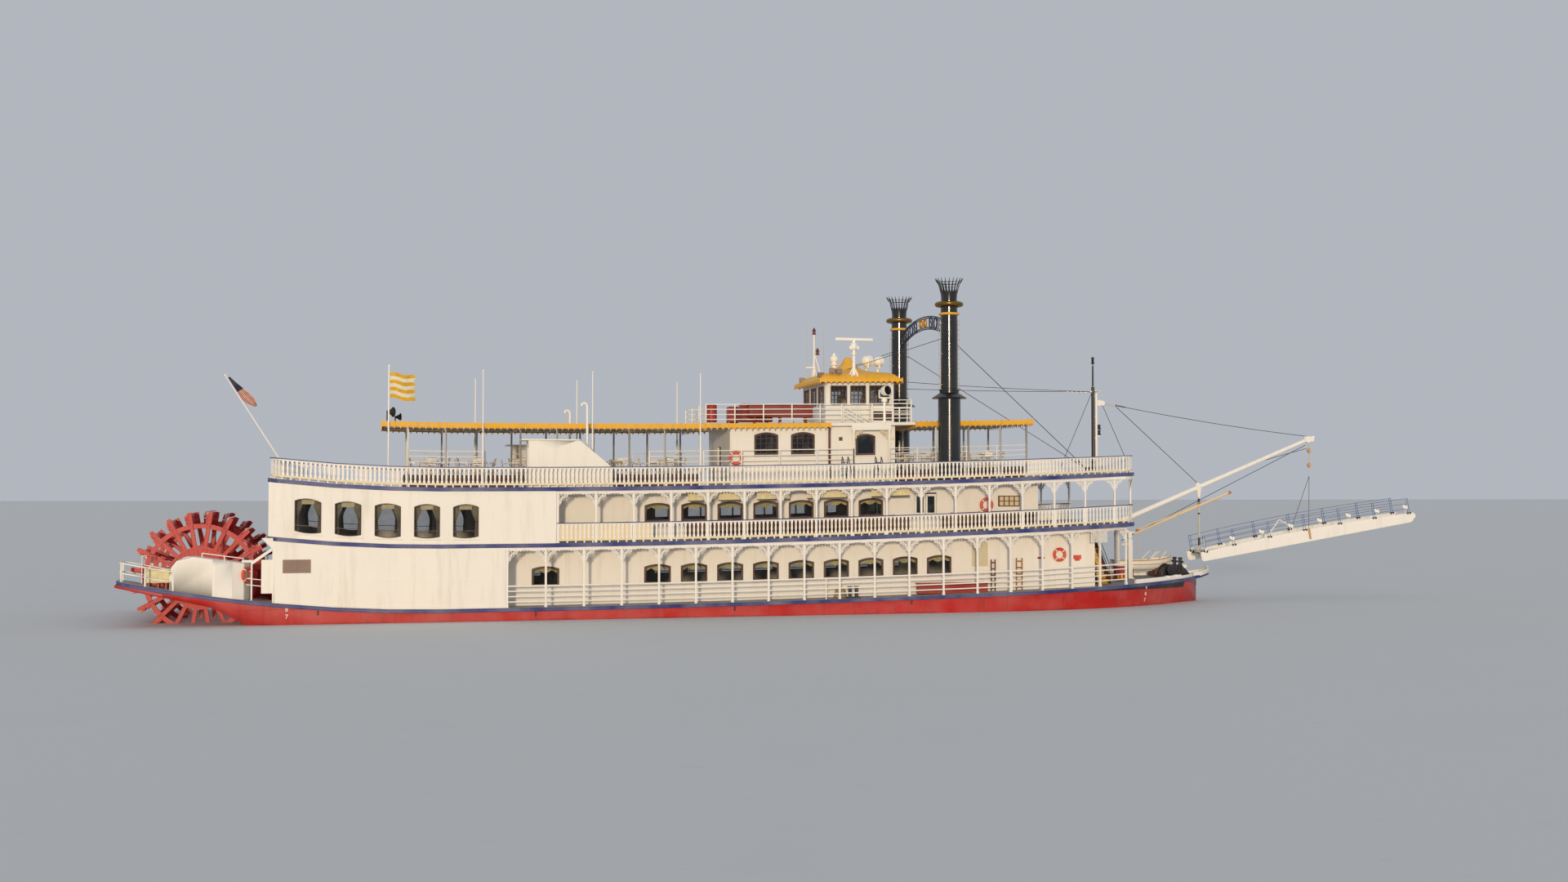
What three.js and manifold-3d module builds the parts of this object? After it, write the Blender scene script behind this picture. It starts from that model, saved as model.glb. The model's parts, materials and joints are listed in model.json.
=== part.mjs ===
import * as THREE from 'three';
import { mergeVertices } from 'three/addons/utils/BufferGeometryUtils.js';
import Module from 'manifold-3d';

const wasm = await Module();
wasm.setup();

// A sternwheel paddle boat as a half-size model.
// Lengths here are full-size metres: X forward from mid-hull, Y to port, Z up from the waterline.
// The boat group at the end turns them into millimetres of the model and lifts the keel to Z = 0.
const modelScale = 1 / 2;
const draft = 1.86;
const gap = 0.0006;

// Hull and decks
const sternX = -29;
const stemX = 29.1;
const mainHalf = 6.1;
const upperHalf = 6.0;
const upperAftX = -22.3;
const upperFrontX = 23.2;
const guardInset = 0.15;
const bowCurveStartX = 14;
const deckSheet = 0.18;
const mainDeckZ = 0.63;
const secondDeckZ = 3.76;
const topDeckZ = 6.53;
const upperSheet = 0.2;
const roofZ = 9.62;
const roofSheet = 0.16;

// Stern wheel
const wheelX = -25.47;
const wheelZ = 2.15;
const wheelRadius = 3.2;
const wheelHalf = 3.5;
const wellHalf = 4.1;
const wellFrontX = -21.9;
const spokeCount = 20;
const shaftRadius = 0.16;

// Houses
const wallSheet = 0.12;
const cabinHalf = 4.4;
const closedHalf = 5.95;
const mainHouseAftX = -22.0;
const mainStepX = -11.05;
const mainFrontX = 20.8;
const saloonAftX = -22.2;
const saloonStepX = -8.6;
const saloonFrontX = 17.5;
const bay = 1.866;
const firstPostX = -9.88;

// Texas and pilothouse
const texas = { aft: 0.8, front: 9.9, half: 2.85 };
const pilot = { aft: 6.13, front: 9.97, half: 2.4, top: 12.05, overhang: 0.36, rise: 1.35 };
const canopyHalf = 3.3;
const canopyPostY = 2.91;

// Stacks
const stack = { x: 12.47, y: 4.34, lower: 0.6, upper: 0.45, flangeZ: 11.4, ringZ: 15.83, torusZ: 16.35, tipZ: 17.75 };

// Boom and landing stage
const boomHeel = { x: 24.2, z: 4.54 };
const boomTip = { x: 36.65, z: 9.48 };
const boomRadius = 0.13;
const stage = { x: 29.11, z: 2.27, slope: 0.1602, length: 14.22, half: 0.9, endDepth: 0.5, midDepth: 0.68 };
const stagePin = { along: 0.39, up: 0.62, radius: 0.06 };

// Sheer: each deck lifts with the square of the distance from its lowest point.
const stations = [
  -29, -26.9, -24.7, -23.2, -21.9, -19.2, -16.6, -14.2, -9, -4, 1, 6, 11, 15, 18, 20.5, 23, 25.5, 27.5, 29.1,
];
const lowestX = -14.2;
const aftLift = 0.007;
// columns: height, lift forward of the lowest point
const forwardLift = [[0.63, 0.00045], [3.7, 0.00065], [6.5, 0.00062], [9.9, 0.00047]];

// Hull below the deck edge. columns: x, bottom height
const keelLine = [[-29, 1.85], [-24.7, 0.85], [-23.2, 0], [-21.9, -0.35], [-16.6, -1.86], [25.5, -1.86],
  [27.5, -1.5], [29.1, -0.7]];

const paint = {
  white: new THREE.MeshStandardMaterial({ color: 0xe9e2d0, roughness: 0.5, metalness: 0 }),
  red: new THREE.MeshStandardMaterial({ color: 0xb31510, roughness: 0.5, metalness: 0 }),
  navy: new THREE.MeshStandardMaterial({ color: 0x1f2b66, roughness: 0.5, metalness: 0 }),
  yellow: new THREE.MeshStandardMaterial({ color: 0xe8ab12, roughness: 0.5, metalness: 0 }),
  black: new THREE.MeshStandardMaterial({ color: 0x111111, roughness: 0.3, metalness: 0.3 }),
  brown: new THREE.MeshStandardMaterial({ color: 0x5b2c1c, roughness: 0.6, metalness: 0 }),
  steel: new THREE.MeshStandardMaterial({ color: 0x777777, roughness: 0.5, metalness: 0.8 }),
  cloth: new THREE.MeshStandardMaterial({ color: 0xe6d9a0, roughness: 0.9, metalness: 0 }),
};

// Tables, shapes and solids
function fromTable(table, value) {
  if (value <= table[0][0]) return table[0][1];
  for (let i = 1; i < table.length; i += 1) {
    const [lowKey, low] = table[i - 1];
    const [highKey, high] = table[i];
    if (value <= highKey) return low + ((high - low) * (value - lowKey)) / (highKey - lowKey);
  }
  return table[table.length - 1][1];
}

function sheerAt(x, z) {
  const lift = (at) => (at - lowestX) ** 2 * (at < lowestX ? aftLift : fromTable(forwardLift, z));
  return fromTable(stations.map((at) => [at, lift(at)]), x);
}

// the height at which a foot of the given reach stands clear on a deck
function standingOn(deckZ, x, reach) {
  return deckZ + Math.max(sheerAt(x - reach, deckZ), sheerAt(x + reach, deckZ)) + gap;
}

function welded(geometry) {
  const bare = geometry.clone();
  bare.deleteAttribute('normal');
  bare.deleteAttribute('uv');
  return mergeVertices(bare, 1e-6);
}

function solid(geometry) {
  const { attributes, index } = welded(geometry);
  return new wasm.Manifold(new wasm.Mesh({
    numProp: 3,
    vertProperties: new Float32Array(attributes.position.array),
    triVerts: new Uint32Array(index.array),
  }));
}

function surface(manifold) {
  const mesh = manifold.getMesh();
  const geometry = new THREE.BufferGeometry();
  geometry.setAttribute('position', new THREE.BufferAttribute(new Float32Array(mesh.vertProperties), 3));
  geometry.setIndex(new THREE.BufferAttribute(new Uint32Array(mesh.triVerts), 1));
  return geometry;
}

function joined(...pieces) {
  return surface(pieces.map(solid).reduce((whole, piece) => whole.add(piece)));
}

function cut(geometry, ...tools) {
  return surface(tools.map(solid).reduce((whole, tool) => whole.subtract(tool), solid(geometry)));
}

function block(x0, x1, y0, y1, z0, z1) {
  const geometry = new THREE.BoxGeometry(x1 - x0, y1 - y0, z1 - z0);
  return geometry.translate((x0 + x1) / 2, (y0 + y1) / 2, (z0 + z1) / 2);
}

function rod(from, to, radius, sides = 8, endRadius = radius) {
  const start = new THREE.Vector3(...from);
  const end = new THREE.Vector3(...to);
  const geometry = new THREE.CylinderGeometry(endRadius, radius, start.distanceTo(end), sides);
  const turn = new THREE.Quaternion().setFromUnitVectors(
    new THREE.Vector3(0, 1, 0),
    end.clone().sub(start).normalize(),
  );
  geometry.applyQuaternion(turn);
  const middle = start.add(end).multiplyScalar(0.5);
  return geometry.translate(middle.x, middle.y, middle.z);
}

function outline(points, holes = []) {
  return { points, holes };
}

function prism(points, from, to) {
  const shape = new THREE.Shape(points.map(([a, b]) => new THREE.Vector2(a, b)));
  return new THREE.ExtrudeGeometry(shape, { depth: to - from, bevelEnabled: false }).translate(0, 0, from);
}

const asDrawn = (geometry) => geometry;

// a plate and its holes, each stood up and bent as a solid before the holes are cut
function standing({ points, holes }, depth, stand, bend) {
  const margin = 0.05;
  const plate = bend(stand(prism(points, 0, depth)));
  return holes.length > 0
    ? cut(plate, ...holes.map((hole) => bend(stand(prism(hole, -margin, depth + margin)))))
    : plate;
}

// a plate drawn in X and Z, from y0 to y1
function sidePlate(shape, y0, y1, bend = asDrawn) {
  const toSide = new THREE.Matrix4().makeBasis(
    new THREE.Vector3(1, 0, 0),
    new THREE.Vector3(0, 0, 1),
    new THREE.Vector3(0, -1, 0),
  );
  return standing(shape, y1 - y0, (plate) => plate.applyMatrix4(toSide).translate(0, y1, 0), bend);
}

// a plate drawn in Y and Z, from x0 to x1
function crossPlate(shape, x0, x1, bend = asDrawn) {
  const toCross = new THREE.Matrix4().makeBasis(
    new THREE.Vector3(0, 1, 0),
    new THREE.Vector3(0, 0, 1),
    new THREE.Vector3(1, 0, 0),
  );
  return standing(shape, x1 - x0, (plate) => plate.applyMatrix4(toCross).translate(x0, 0, 0), bend);
}

function rectangle(a0, a1, b0, b1) {
  return [[a0, b0], [a1, b0], [a1, b1], [a0, b1]];
}

// a window's outline, with an arched head and, where dip is given, a curved sill
function windowOutline(centre, sill, width, height, rise, dip = 0) {
  const half = width / 2;
  const steps = 2;
  const curve = (base, swing, from) => Array.from({ length: steps + 1 }, (unused, i) => {
    const t = from * (1 - (2 * i) / steps);
    return [centre + half * t, base + swing * (1 - t * t)];
  });
  const head = curve(sill + height - rise, rise, 1);
  const foot = dip > 0 ? curve(sill + dip, -dip, -1) : [[centre - half, sill], [centre + half, sill]];
  return [...foot, ...head];
}

function ringLoft(rings) {
  const count = rings[0].length;
  const faces = [];
  for (let r = 0; r < rings.length - 1; r += 1) {
    for (let k = 0; k < count; k += 1) {
      const a = r * count + k;
      const b = r * count + ((k + 1) % count);
      faces.push([a, b, b + count], [a, b + count, a + count]);
    }
  }
  const last = (rings.length - 1) * count;
  for (let k = 1; k < count - 1; k += 1) {
    faces.push([0, k + 1, k], [last, last + k, last + k + 1]);
  }
  const geometry = new THREE.BufferGeometry();
  geometry.setAttribute('position', new THREE.Float32BufferAttribute(rings.flat().flat(), 3));
  geometry.setIndex(faces.flat());
  return geometry;
}

function toPort(geometry) {
  const flipped = welded(geometry).scale(1, -1, 1);
  const index = flipped.index.array;
  for (let i = 0; i < index.length; i += 3) [index[i], index[i + 1]] = [index[i + 1], index[i]];
  return flipped;
}

// splits the triangles that cross a plane, so that a bend there keeps the solid closed
function sliced(geometry, axis, cuts) {
  const { attributes, index } = welded(geometry);
  const points = Array.from({ length: attributes.position.count }, (unused, i) => (
    [0, 1, 2].map((k) => attributes.position.getComponent(i, k))
  ));
  let faces = Array.from({ length: index.count / 3 }, (unused, i) => (
    [0, 1, 2].map((k) => index.array[3 * i + k])
  ));
  for (const plane of cuts) {
    const made = new Map();
    const crossing = (a, b) => {
      const [low, high] = a < b ? [a, b] : [b, a];
      const key = `${low} ${high}`;
      if (!made.has(key)) {
        const t = (plane - points[low][axis]) / (points[high][axis] - points[low][axis]);
        made.set(key, points.push(points[low].map((value, k) => value + t * (points[high][k] - value))) - 1);
      }
      return made.get(key);
    };
    const sideOf = (i) => (Math.abs(points[i][axis] - plane) < 1e-5 ? 0 : Math.sign(points[i][axis] - plane));
    const next = [];
    for (const face of faces) {
      const sides = face.map(sideOf);
      if (!(sides.includes(1) && sides.includes(-1))) {
        next.push(face);
        continue;
      }
      const touching = sides.indexOf(0);
      const alone = sides.findIndex((side) => sides.filter((other) => other === side).length === 1);
      const turn = touching >= 0 ? touching : alone;
      const [a, b, c] = [face[turn], face[(turn + 1) % 3], face[(turn + 2) % 3]];
      if (touching >= 0) {
        const middle = crossing(b, c);
        next.push([a, b, middle], [a, middle, c]);
      } else {
        const ab = crossing(a, b);
        const ac = crossing(a, c);
        next.push([a, ab, ac], [ab, b, c], [ab, c, ac]);
      }
    }
    faces = next;
  }
  const result = new THREE.BufferGeometry();
  result.setAttribute('position', new THREE.Float32BufferAttribute(points.flat(), 3));
  result.setIndex(faces.flat());
  return result;
}

// lifts a piece that is drawn on level decks to the sheer of the real ones
function sheered(geometry) {
  const lifted = sliced(geometry, 0, stations.slice(1, -1));
  const place = lifted.attributes.position;
  for (let i = 0; i < place.count; i += 1) {
    place.setZ(i, place.getZ(i) + sheerAt(place.getX(i), place.getZ(i)));
  }
  return lifted;
}

function stationsBetween(x0, x1, more = []) {
  const inside = [...stations, ...more].filter((x) => x > x0 + 1e-4 && x < x1 - 1e-4);
  return [x0, ...new Set(inside.sort((a, b) => a - b)), x1];
}

// a long block with a ring at each station, already lifted to the sheer
function longBlock(x0, x1, y0, y1, z0, z1) {
  return ringLoft(stationsBetween(x0, x1).map((x) => (
    [[y0, z0], [y1, z0], [y1, z1], [y0, z1]].map(([y, z]) => [x, y, z + sheerAt(x, z)])
  )));
}

// a deck, as wide at each station as its edge
function deckSheetOf(edge, z0, z1) {
  const [x0, x1] = [edge[0][0], edge[edge.length - 1][0]];
  return ringLoft(stationsBetween(x0, x1, edge.map(([x]) => x)).map((x) => {
    const y = fromTable(edge, x);
    return [[y, z0], [-y, z0], [-y, z1], [y, z1]].map(([across, z]) => [x, across, z + sheerAt(x, z)]);
  }));
}

// a wall along the boat, with its windows and doorways cut
function sideWall(x0, x1, y0, y1, z0, z1, holes) {
  const tools = holes.map((hole) => sheered(sidePlate(outline(hole), y0 - 0.05, y1 + 0.05)));
  return cut(longBlock(x0, x1, y0, y1, z0, z1), ...tools);
}

// bends a straight strip, drawn with X along it and Y across, to follow a path in plan
function wrapped(geometry, path) {
  const marks = [0];
  for (let i = 1; i < path.length; i += 1) {
    marks.push(marks[i - 1] + Math.hypot(path[i][0] - path[i - 1][0], path[i][1] - path[i - 1][1]));
  }
  const ways = path.slice(1).map(([x, y], i) => {
    const length = marks[i + 1] - marks[i];
    return [(x - path[i][0]) / length, (y - path[i][1]) / length];
  });
  const sideways = path.map((unused, i) => {
    const before = ways[Math.max(i - 1, 0)];
    const after = ways[Math.min(i, ways.length - 1)];
    const spread = 1 + before[0] * after[0] + before[1] * after[1];
    return [-(before[1] + after[1]) / spread, (before[0] + after[0]) / spread];
  });
  const bent = sliced(geometry, 0, marks.slice(1, -1));
  const place = bent.attributes.position;
  for (let i = 0; i < place.count; i += 1) {
    const along = place.getX(i);
    const across = place.getY(i);
    let k = marks.findIndex((mark) => mark >= along - 1e-6);
    k = Math.min(Math.max(k, 1), path.length - 1);
    const t = (along - marks[k - 1]) / (marks[k] - marks[k - 1]);
    const mix = (a, b) => a + t * (b - a);
    place.setX(i, mix(path[k - 1][0], path[k][0]) + across * mix(sideways[k - 1][0], sideways[k][0]));
    place.setY(i, mix(path[k - 1][1], path[k][1]) + across * mix(sideways[k - 1][1], sideways[k][1]));
  }
  return bent;
}

function pathLength(path) {
  return path.slice(1).reduce((sum, [x, y], i) => sum + Math.hypot(x - path[i][0], y - path[i][1]), 0);
}

// a bar along a path, with a ring at each of its corners and at each station
function barAlong(path, across0, across1, z0, z1) {
  const length = pathLength(path);
  const marks = new Set([0, length]);
  let passed = 0;
  path.slice(1).forEach(([x, y], i) => {
    const [fromX, fromY] = path[i];
    const step = Math.hypot(x - fromX, y - fromY);
    stations.filter((at) => (at - fromX) * (at - x) < -1e-4).forEach((at) => {
      marks.add(passed + (step * (at - fromX)) / (x - fromX));
    });
    passed += step;
    marks.add(Math.min(passed, length));
  });
  const sorted = [...marks].sort((m, n) => m - n).filter((mark, i, all) => i === 0 || mark - all[i - 1] > 1e-4);
  const rings = sorted.map((along) => (
    [[across0, z0], [across1, z0], [across1, z1], [across0, z1]].map(([across, z]) => [along, across, z])
  ));
  const bent = wrapped(ringLoft(rings), path);
  const place = bent.attributes.position;
  for (let i = 0; i < place.count; i += 1) {
    place.setZ(i, place.getZ(i) + sheerAt(place.getX(i), place.getZ(i)));
  }
  return bent;
}

// posts and level bars along a path. bars are rows of lower and upper height above the foot.
function railing(path, foot, bars, postPitch, sheet = 0.07, post = 0.1) {
  const length = pathLength(path);
  const bays = Math.max(1, Math.round((length - post) / postPitch));
  const pitch = (length - post) / bays;
  const margin = (post - sheet) / 2;
  const [lastLow, lastHigh] = bars[bars.length - 1];
  const top = foot + (lastLow + lastHigh) / 2;
  const posts = Array.from({ length: bays + 1 }, (unused, i) => sheered(wrapped(
    block(i * pitch, i * pitch + post, -margin, sheet + margin, foot, top),
    path,
  )));
  const rails = bars.map(([low, high]) => barAlong(path, 0, sheet, foot + low, foot + high));
  return joined(...posts, ...rails);
}

// Deck outlines, starboard side from aft to bow
function bowHalf(x, half, tip) {
  const t = Math.max(0, (x - bowCurveStartX) / (tip - bowCurveStartX));
  return half * (1 - Math.min(t, 1) ** 2) ** 0.75;
}

function cornerArc(cx, cy, radius, from, to, steps = 3) {
  return Array.from({ length: steps + 1 }, (unused, i) => {
    const angle = from + ((to - from) * i) / steps;
    return [cx + radius * Math.cos(angle), cy + radius * Math.sin(angle)];
  });
}

function mainEdge(inset = 0) {
  const corner = 0.7;
  const half = mainHalf - inset;
  const tip = stemX + 0.15 - inset;
  const curve = [bowCurveStartX, 17, 20, 22.6, 25, 27, 28.3].map((x) => [x, -bowHalf(x, half, tip)]);
  const aft = cornerArc(sternX + inset + corner, -half + corner, corner, Math.PI, 1.5 * Math.PI);
  return [...aft, ...curve, [stemX - inset, -Math.max(0.12, 0.3 - inset)]];
}

function upperEdge(inset = 0) {
  const corner = 1.0 - inset / 2;
  const half = upperHalf - inset;
  const tip = 32;
  const aftX = upperAftX + inset;
  const frontX = upperFrontX - inset;
  const curve = [bowCurveStartX, 17, 20, 22.2 - inset].map((x) => [x, -bowHalf(x, half, tip)]);
  const last = -curve[curve.length - 1][1];
  const front = cornerArc(frontX - corner, -last + corner - 0.05, corner, -Math.PI / 2.4, 0);
  return [
    ...cornerArc(aftX + corner, -half + corner, corner, Math.PI, 1.5 * Math.PI),
    ...curve,
    ...front,
  ];
}

// Hull: a flat-bottomed river hull with a raked stern, open at the stern for the wheel
function hullShape() {
  const bilge = 0.5;
  const rings = stations.map((x) => {
    const tip = stemX - 0.02;
    const deckHalf = Math.max(bowHalf(x, mainHalf - guardInset, tip), 0.14);
    const waterHalf = Math.max(bowHalf(x + 0.7, mainHalf - guardInset, tip), 0.1);
    const lowHalf = Math.max(bowHalf(x + 1.6, mainHalf - guardInset - 0.1, tip), 0.06);
    const top = mainDeckZ - deckSheet - gap + sheerAt(x, mainDeckZ);
    const bottom = fromTable(keelLine, x);
    const side = Math.max(bottom + (top - bottom) * 0.3, Math.min(0, top - 0.05));
    const turn = Math.min(bilge, (side - bottom) * 0.8, lowHalf * 0.6);
    const half = [
      [deckHalf, top],
      [waterHalf, side],
      [lowHalf, bottom + turn],
      [lowHalf - 0.3 * turn, bottom + 0.3 * turn],
      [lowHalf - turn, bottom],
    ];
    return [...half.map(([y, z]) => [x, -y, z]), ...half.reverse().map(([y, z]) => [x, y, z])];
  });
  return ringLoft(rings);
}

const boat = new THREE.Group();

function place(name, geometry, material, parent = boat) {
  geometry.computeVertexNormals();
  const mesh = new THREE.Mesh(geometry, material);
  mesh.name = name;
  parent.add(mesh);
  return mesh;
}

function placeBothSides(name, geometry, material) {
  place(`${name}_starboard`, geometry, material);
  place(`${name}_port`, toPort(geometry), material);
}

// Rudders hang under the raked stern, each below a boss on the hull
const rudder = { x: -20.9, y: 2.4, bossZ: -0.72, stock: 0.09, half: 0.06 };
const rudderBosses = [-1, 1].map((side) => (
  rod([rudder.x, side * rudder.y, rudder.bossZ], [rudder.x, side * rudder.y, 0], 0.2, 16)
));
const wheelWell = block(sternX - 1, wellFrontX, -wellHalf, wellHalf, -3, 4);
place('hull', joined(cut(hullShape(), wheelWell), ...rudderBosses), paint.red);

const rudderBlade = [
  [-20.2, -1.75], [-22.75, -1.75], [-22.85, -0.52], [-21.9, -0.52], [-21.5, -0.9], [-20.2, -0.9],
];
for (const [name, side] of [['rudder_starboard', -1], ['rudder_port', 1]]) {
  const blade = sidePlate(outline(rudderBlade), side * rudder.y - rudder.half, side * rudder.y + rudder.half);
  const stock = rod(
    [rudder.x, side * rudder.y, -1.7],
    [rudder.x, side * rudder.y, rudder.bossZ - gap],
    rudder.stock,
    12,
  );
  place(name, joined(blade, stock), paint.red);
}

// Main deck with its guard, the low boards round the nose, and the plated nose that reaches out over the stem
const nose = mainEdge(0.12).slice(-3);
const coaming = barAlong(nose, 0, 0.12, mainDeckZ - 0.05, mainDeckZ + 0.13);
const mainDeckSheet = deckSheetOf(mainEdge(), mainDeckZ - deckSheet, mainDeckZ);
// columns: x, half width, height of the top
const noseRows = [[28.6, 0.8, 1.475], [29.1, 0.6, 1.5], [29.85, 0.26, 1.66]];
const noseSheet = 0.16;
const nosePlate = { thick: 0.08, sunk: 0.05, height: 0.2, endX: 29.76, endHalf: 0.25, endFoot: 1.58, endTop: 2.0 };
const noseBoard = ringLoft(noseRows.map(([x, half, top]) => (
  [[-half, top - noseSheet], [half, top - noseSheet], [half, top], [-half, top]].map(([y, z]) => [x, y, z])
)));
const noseSide = ringLoft(noseRows.map(([x, half, top]) => {
  const [foot, head] = [top - nosePlate.sunk, top + nosePlate.height];
  const inner = -half + nosePlate.thick;
  return [[-half, foot], [inner, foot], [inner, head], [-half, head]].map(([y, z]) => [x, y, z]);
}));
const noseEnd = block(
  nosePlate.endX,
  nosePlate.endX + nosePlate.thick,
  -nosePlate.endHalf,
  nosePlate.endHalf,
  nosePlate.endFoot,
  nosePlate.endTop,
);
place(
  'main_deck',
  joined(cut(mainDeckSheet, wheelWell), coaming, toPort(coaming), noseBoard, noseSide, toPort(noseSide), noseEnd),
  paint.navy,
);

// Casings of the wheel bearings on the two stern beams, with the fantail rails
function sternCasing() {
  const aft = -26.6;
  const front = -23.1;
  const height = 1.72;
  const round = 1.05;
  const inner = -4.25;
  const outer = -5.9;
  const floor = mainDeckZ + gap;
  const top = mainDeckZ + height;
  const crown = cornerArc(aft + round, top - round, round, Math.PI / 2, Math.PI, 4);
  const side = outline([[front, floor], [front, top], ...crown, [aft, floor]]);
  const plan = [
    [aft - 0.1, outer], [front - 0.7, outer], [front - 0.2, outer + 0.2], [front, outer + 0.7],
    [front, inner], [aft - 0.1, inner],
  ];
  const body = surface(solid(sidePlate(side, outer, inner)).intersect(solid(prism(plan, 0, 5))));
  const rail = [[aft + 0.2, outer + 0.02], [-28.5, outer + 0.02], [-28.8, -5.5], [-28.8, -4.35], [aft + 0.2, -4.35]];
  return joined(sheered(body), railing(rail, floor, [[0.4, 0.45], [0.86, 0.91]], 1.2, 0.05, 0.07));
}
const shaftSides = 24;
const boreRadius = (shaftRadius + gap) / Math.cos(Math.PI / shaftSides);
const shaftBore = rod([0, -4.8, 0], [0, 4.8, 0], boreRadius, shaftSides)
  .rotateY(Math.PI / shaftSides)
  .translate(wheelX, 0, wheelZ);
const casing = cut(sternCasing(), shaftBore);
placeBothSides('stern_casing', casing, paint.white);

// Stern wheel: three flanges of twenty spokes, two bays of paddles half a pitch apart.
// The starboard bay carries the middle flange.
function flange(y0, y1, turn) {
  const spokeHalf = 0.1;
  const disc = 1.5;
  const ring = { inner: 2.42, outer: 2.6 };
  const pitch = (2 * Math.PI) / spokeCount;
  const polar = (radius, angle) => [radius * Math.cos(angle), radius * Math.sin(angle)];
  const edge = [];
  const holes = [];
  for (let i = 0; i < spokeCount; i += 1) {
    const angle = turn + i * pitch;
    const at = (radius, side) => polar(radius, angle + side * Math.asin(spokeHalf / radius));
    edge.push(at(ring.outer, -1), at(wheelRadius, -1), at(wheelRadius, 1), at(ring.outer, 1));
    edge.push(polar(ring.outer, angle + pitch / 2));
    const next = angle + pitch;
    const nextAt = (radius) => polar(radius, next - Math.asin(spokeHalf / radius));
    holes.push([
      at(disc, 1), polar(disc - 0.12, angle + pitch / 2), nextAt(disc), nextAt(ring.inner),
      polar(ring.inner, angle + pitch / 2), at(ring.inner, 1),
    ]);
  }
  const hub = Array.from({ length: shaftSides }, (unused, i) => (
    polar(boreRadius, (2 * Math.PI * i) / shaftSides)
  ));
  return sidePlate(outline(edge, [...holes, hub]), y0, y1).translate(wheelX, 0, wheelZ);
}

function paddles(y0, y1, turn) {
  const board = { inner: 2.5, outer: wheelRadius, sheet: 0.07 };
  return Array.from({ length: spokeCount }, (unused, i) => {
    const angle = turn + (2 * Math.PI * i) / spokeCount;
    const plank = block(board.inner, board.outer, y0, y1, 0.09, 0.09 + board.sheet);
    return plank.rotateY(-angle).translate(wheelX, 0, wheelZ);
  });
}
const flangeSheet = 0.09;
const starboardTurn = THREE.MathUtils.degToRad(9.9);
const portTurn = starboardTurn - Math.PI / spokeCount;
place(
  'paddle_bay_starboard',
  joined(
    flange(-wheelHalf, -wheelHalf + flangeSheet, starboardTurn),
    flange(-flangeSheet / 2, flangeSheet / 2, starboardTurn),
    ...paddles(-wheelHalf, 0, starboardTurn),
  ),
  paint.red,
);
place(
  'paddle_bay_port',
  joined(
    flange(wheelHalf - flangeSheet, wheelHalf, portTurn),
    ...paddles(flangeSheet / 2 + gap, wheelHalf, portTurn),
  ),
  paint.red,
);
place(
  'wheel_shaft',
  rod([wheelX, -4.75, wheelZ], [wheelX, 4.75, wheelZ], shaftRadius, shaftSides),
  paint.red,
);

// Main deck houses. The closed stern house steps in to the passenger cabin.
const mainFloor = mainDeckZ + gap;
const mainCeiling = secondDeckZ - upperSheet - gap;
const mainWindows = { first: -3.3, pitch: 1.893, count: 9, sill: 1.62, width: 1.28, height: 0.9, rise: 0.12 };
const closedWall = [-closedHalf, -closedHalf + wallSheet];
const cabinWall = [-cabinHalf, -cabinHalf + wallSheet];
const aftSide = longBlock(mainHouseAftX + wallSheet + gap, mainStepX, ...closedWall, mainFloor, mainCeiling);
const stepSpan = rectangle(-closedHalf, -cabinHalf + wallSheet, mainFloor, mainCeiling);
const aftReturn = crossPlate(outline(stepSpan), mainStepX - wallSheet, mainStepX, sheered);
const houseSide = joined(aftSide, aftReturn);
place('stern_house_port', toPort(houseSide), paint.white);

const sternDoor = { y: 3.2, width: 0.9, height: 2.0 };
const sternDoors = [-1, 1].map((side) => {
  const middle = side * sternDoor.y;
  const half = sternDoor.width / 2;
  return rectangle(middle - half, middle + half, mainFloor + 0.12, mainFloor + sternDoor.height);
});
const bulkhead = crossPlate(
  outline(rectangle(-closedHalf, closedHalf, mainFloor, mainCeiling), sternDoors),
  mainHouseAftX,
  mainHouseAftX + wallSheet,
  sheered,
);
const bulkheadCorner = longBlock(mainHouseAftX, mainHouseAftX + 2 * wallSheet, ...closedWall, mainFloor, mainCeiling);
place('stern_house_starboard', joined(houseSide, bulkheadCorner, bulkhead), paint.white);

function windowRow(row) {
  return Array.from({ length: row.count }, (unused, i) => (
    windowOutline(row.first + i * row.pitch, row.sill, row.width, row.height, row.rise, row.dip ?? 0)
  ));
}
const cornerWindow = windowOutline(-8.98, mainWindows.sill, mainWindows.width, mainWindows.height, 0.12);
const mainSide = sideWall(
  mainStepX + gap,
  mainFrontX - wallSheet - gap,
  ...cabinWall,
  mainFloor,
  mainCeiling,
  [cornerWindow, ...windowRow(mainWindows)],
);
placeBothSides('main_cabin', mainSide, paint.white);
const frontDoor = rectangle(-0.8, 0.8, mainFloor + 0.12, mainFloor + 2.1);
place(
  'main_cabin_front',
  crossPlate(
    outline(rectangle(-cabinHalf, cabinHalf, mainFloor, mainCeiling), [frontDoor]),
    mainFrontX - wallSheet,
    mainFrontX,
    sheered,
  ),
  paint.white,
);

const engine = { aft: -19.5, front: -15.3, half: 1.1, height: 1.7 };
place(
  'engine',
  sheered(block(engine.aft, engine.front, -engine.half, engine.half, mainFloor, mainFloor + engine.height)),
  paint.steel,
);

// Railings. Posts run up to the deck above on the main and second decks.
function alongEdge(edge, fromX, toX) {
  const inside = edge.filter(([x]) => x > fromX + 0.05 && x < toX - 0.05);
  const side = edge.slice(3);
  const at = (x) => [x, fromTable(side, x)];
  return [at(fromX), ...inside, at(toX)];
}
const mainRailPath = alongEdge(mainEdge(guardInset), mainStepX + gap, 22.7);
const header = 0.14;
const mainHeader = [mainCeiling - mainFloor - header, mainCeiling - mainFloor];
placeBothSides('main_railing', railing(mainRailPath, mainFloor, [[1.0, 1.07], mainHeader], bay), paint.white);

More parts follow.
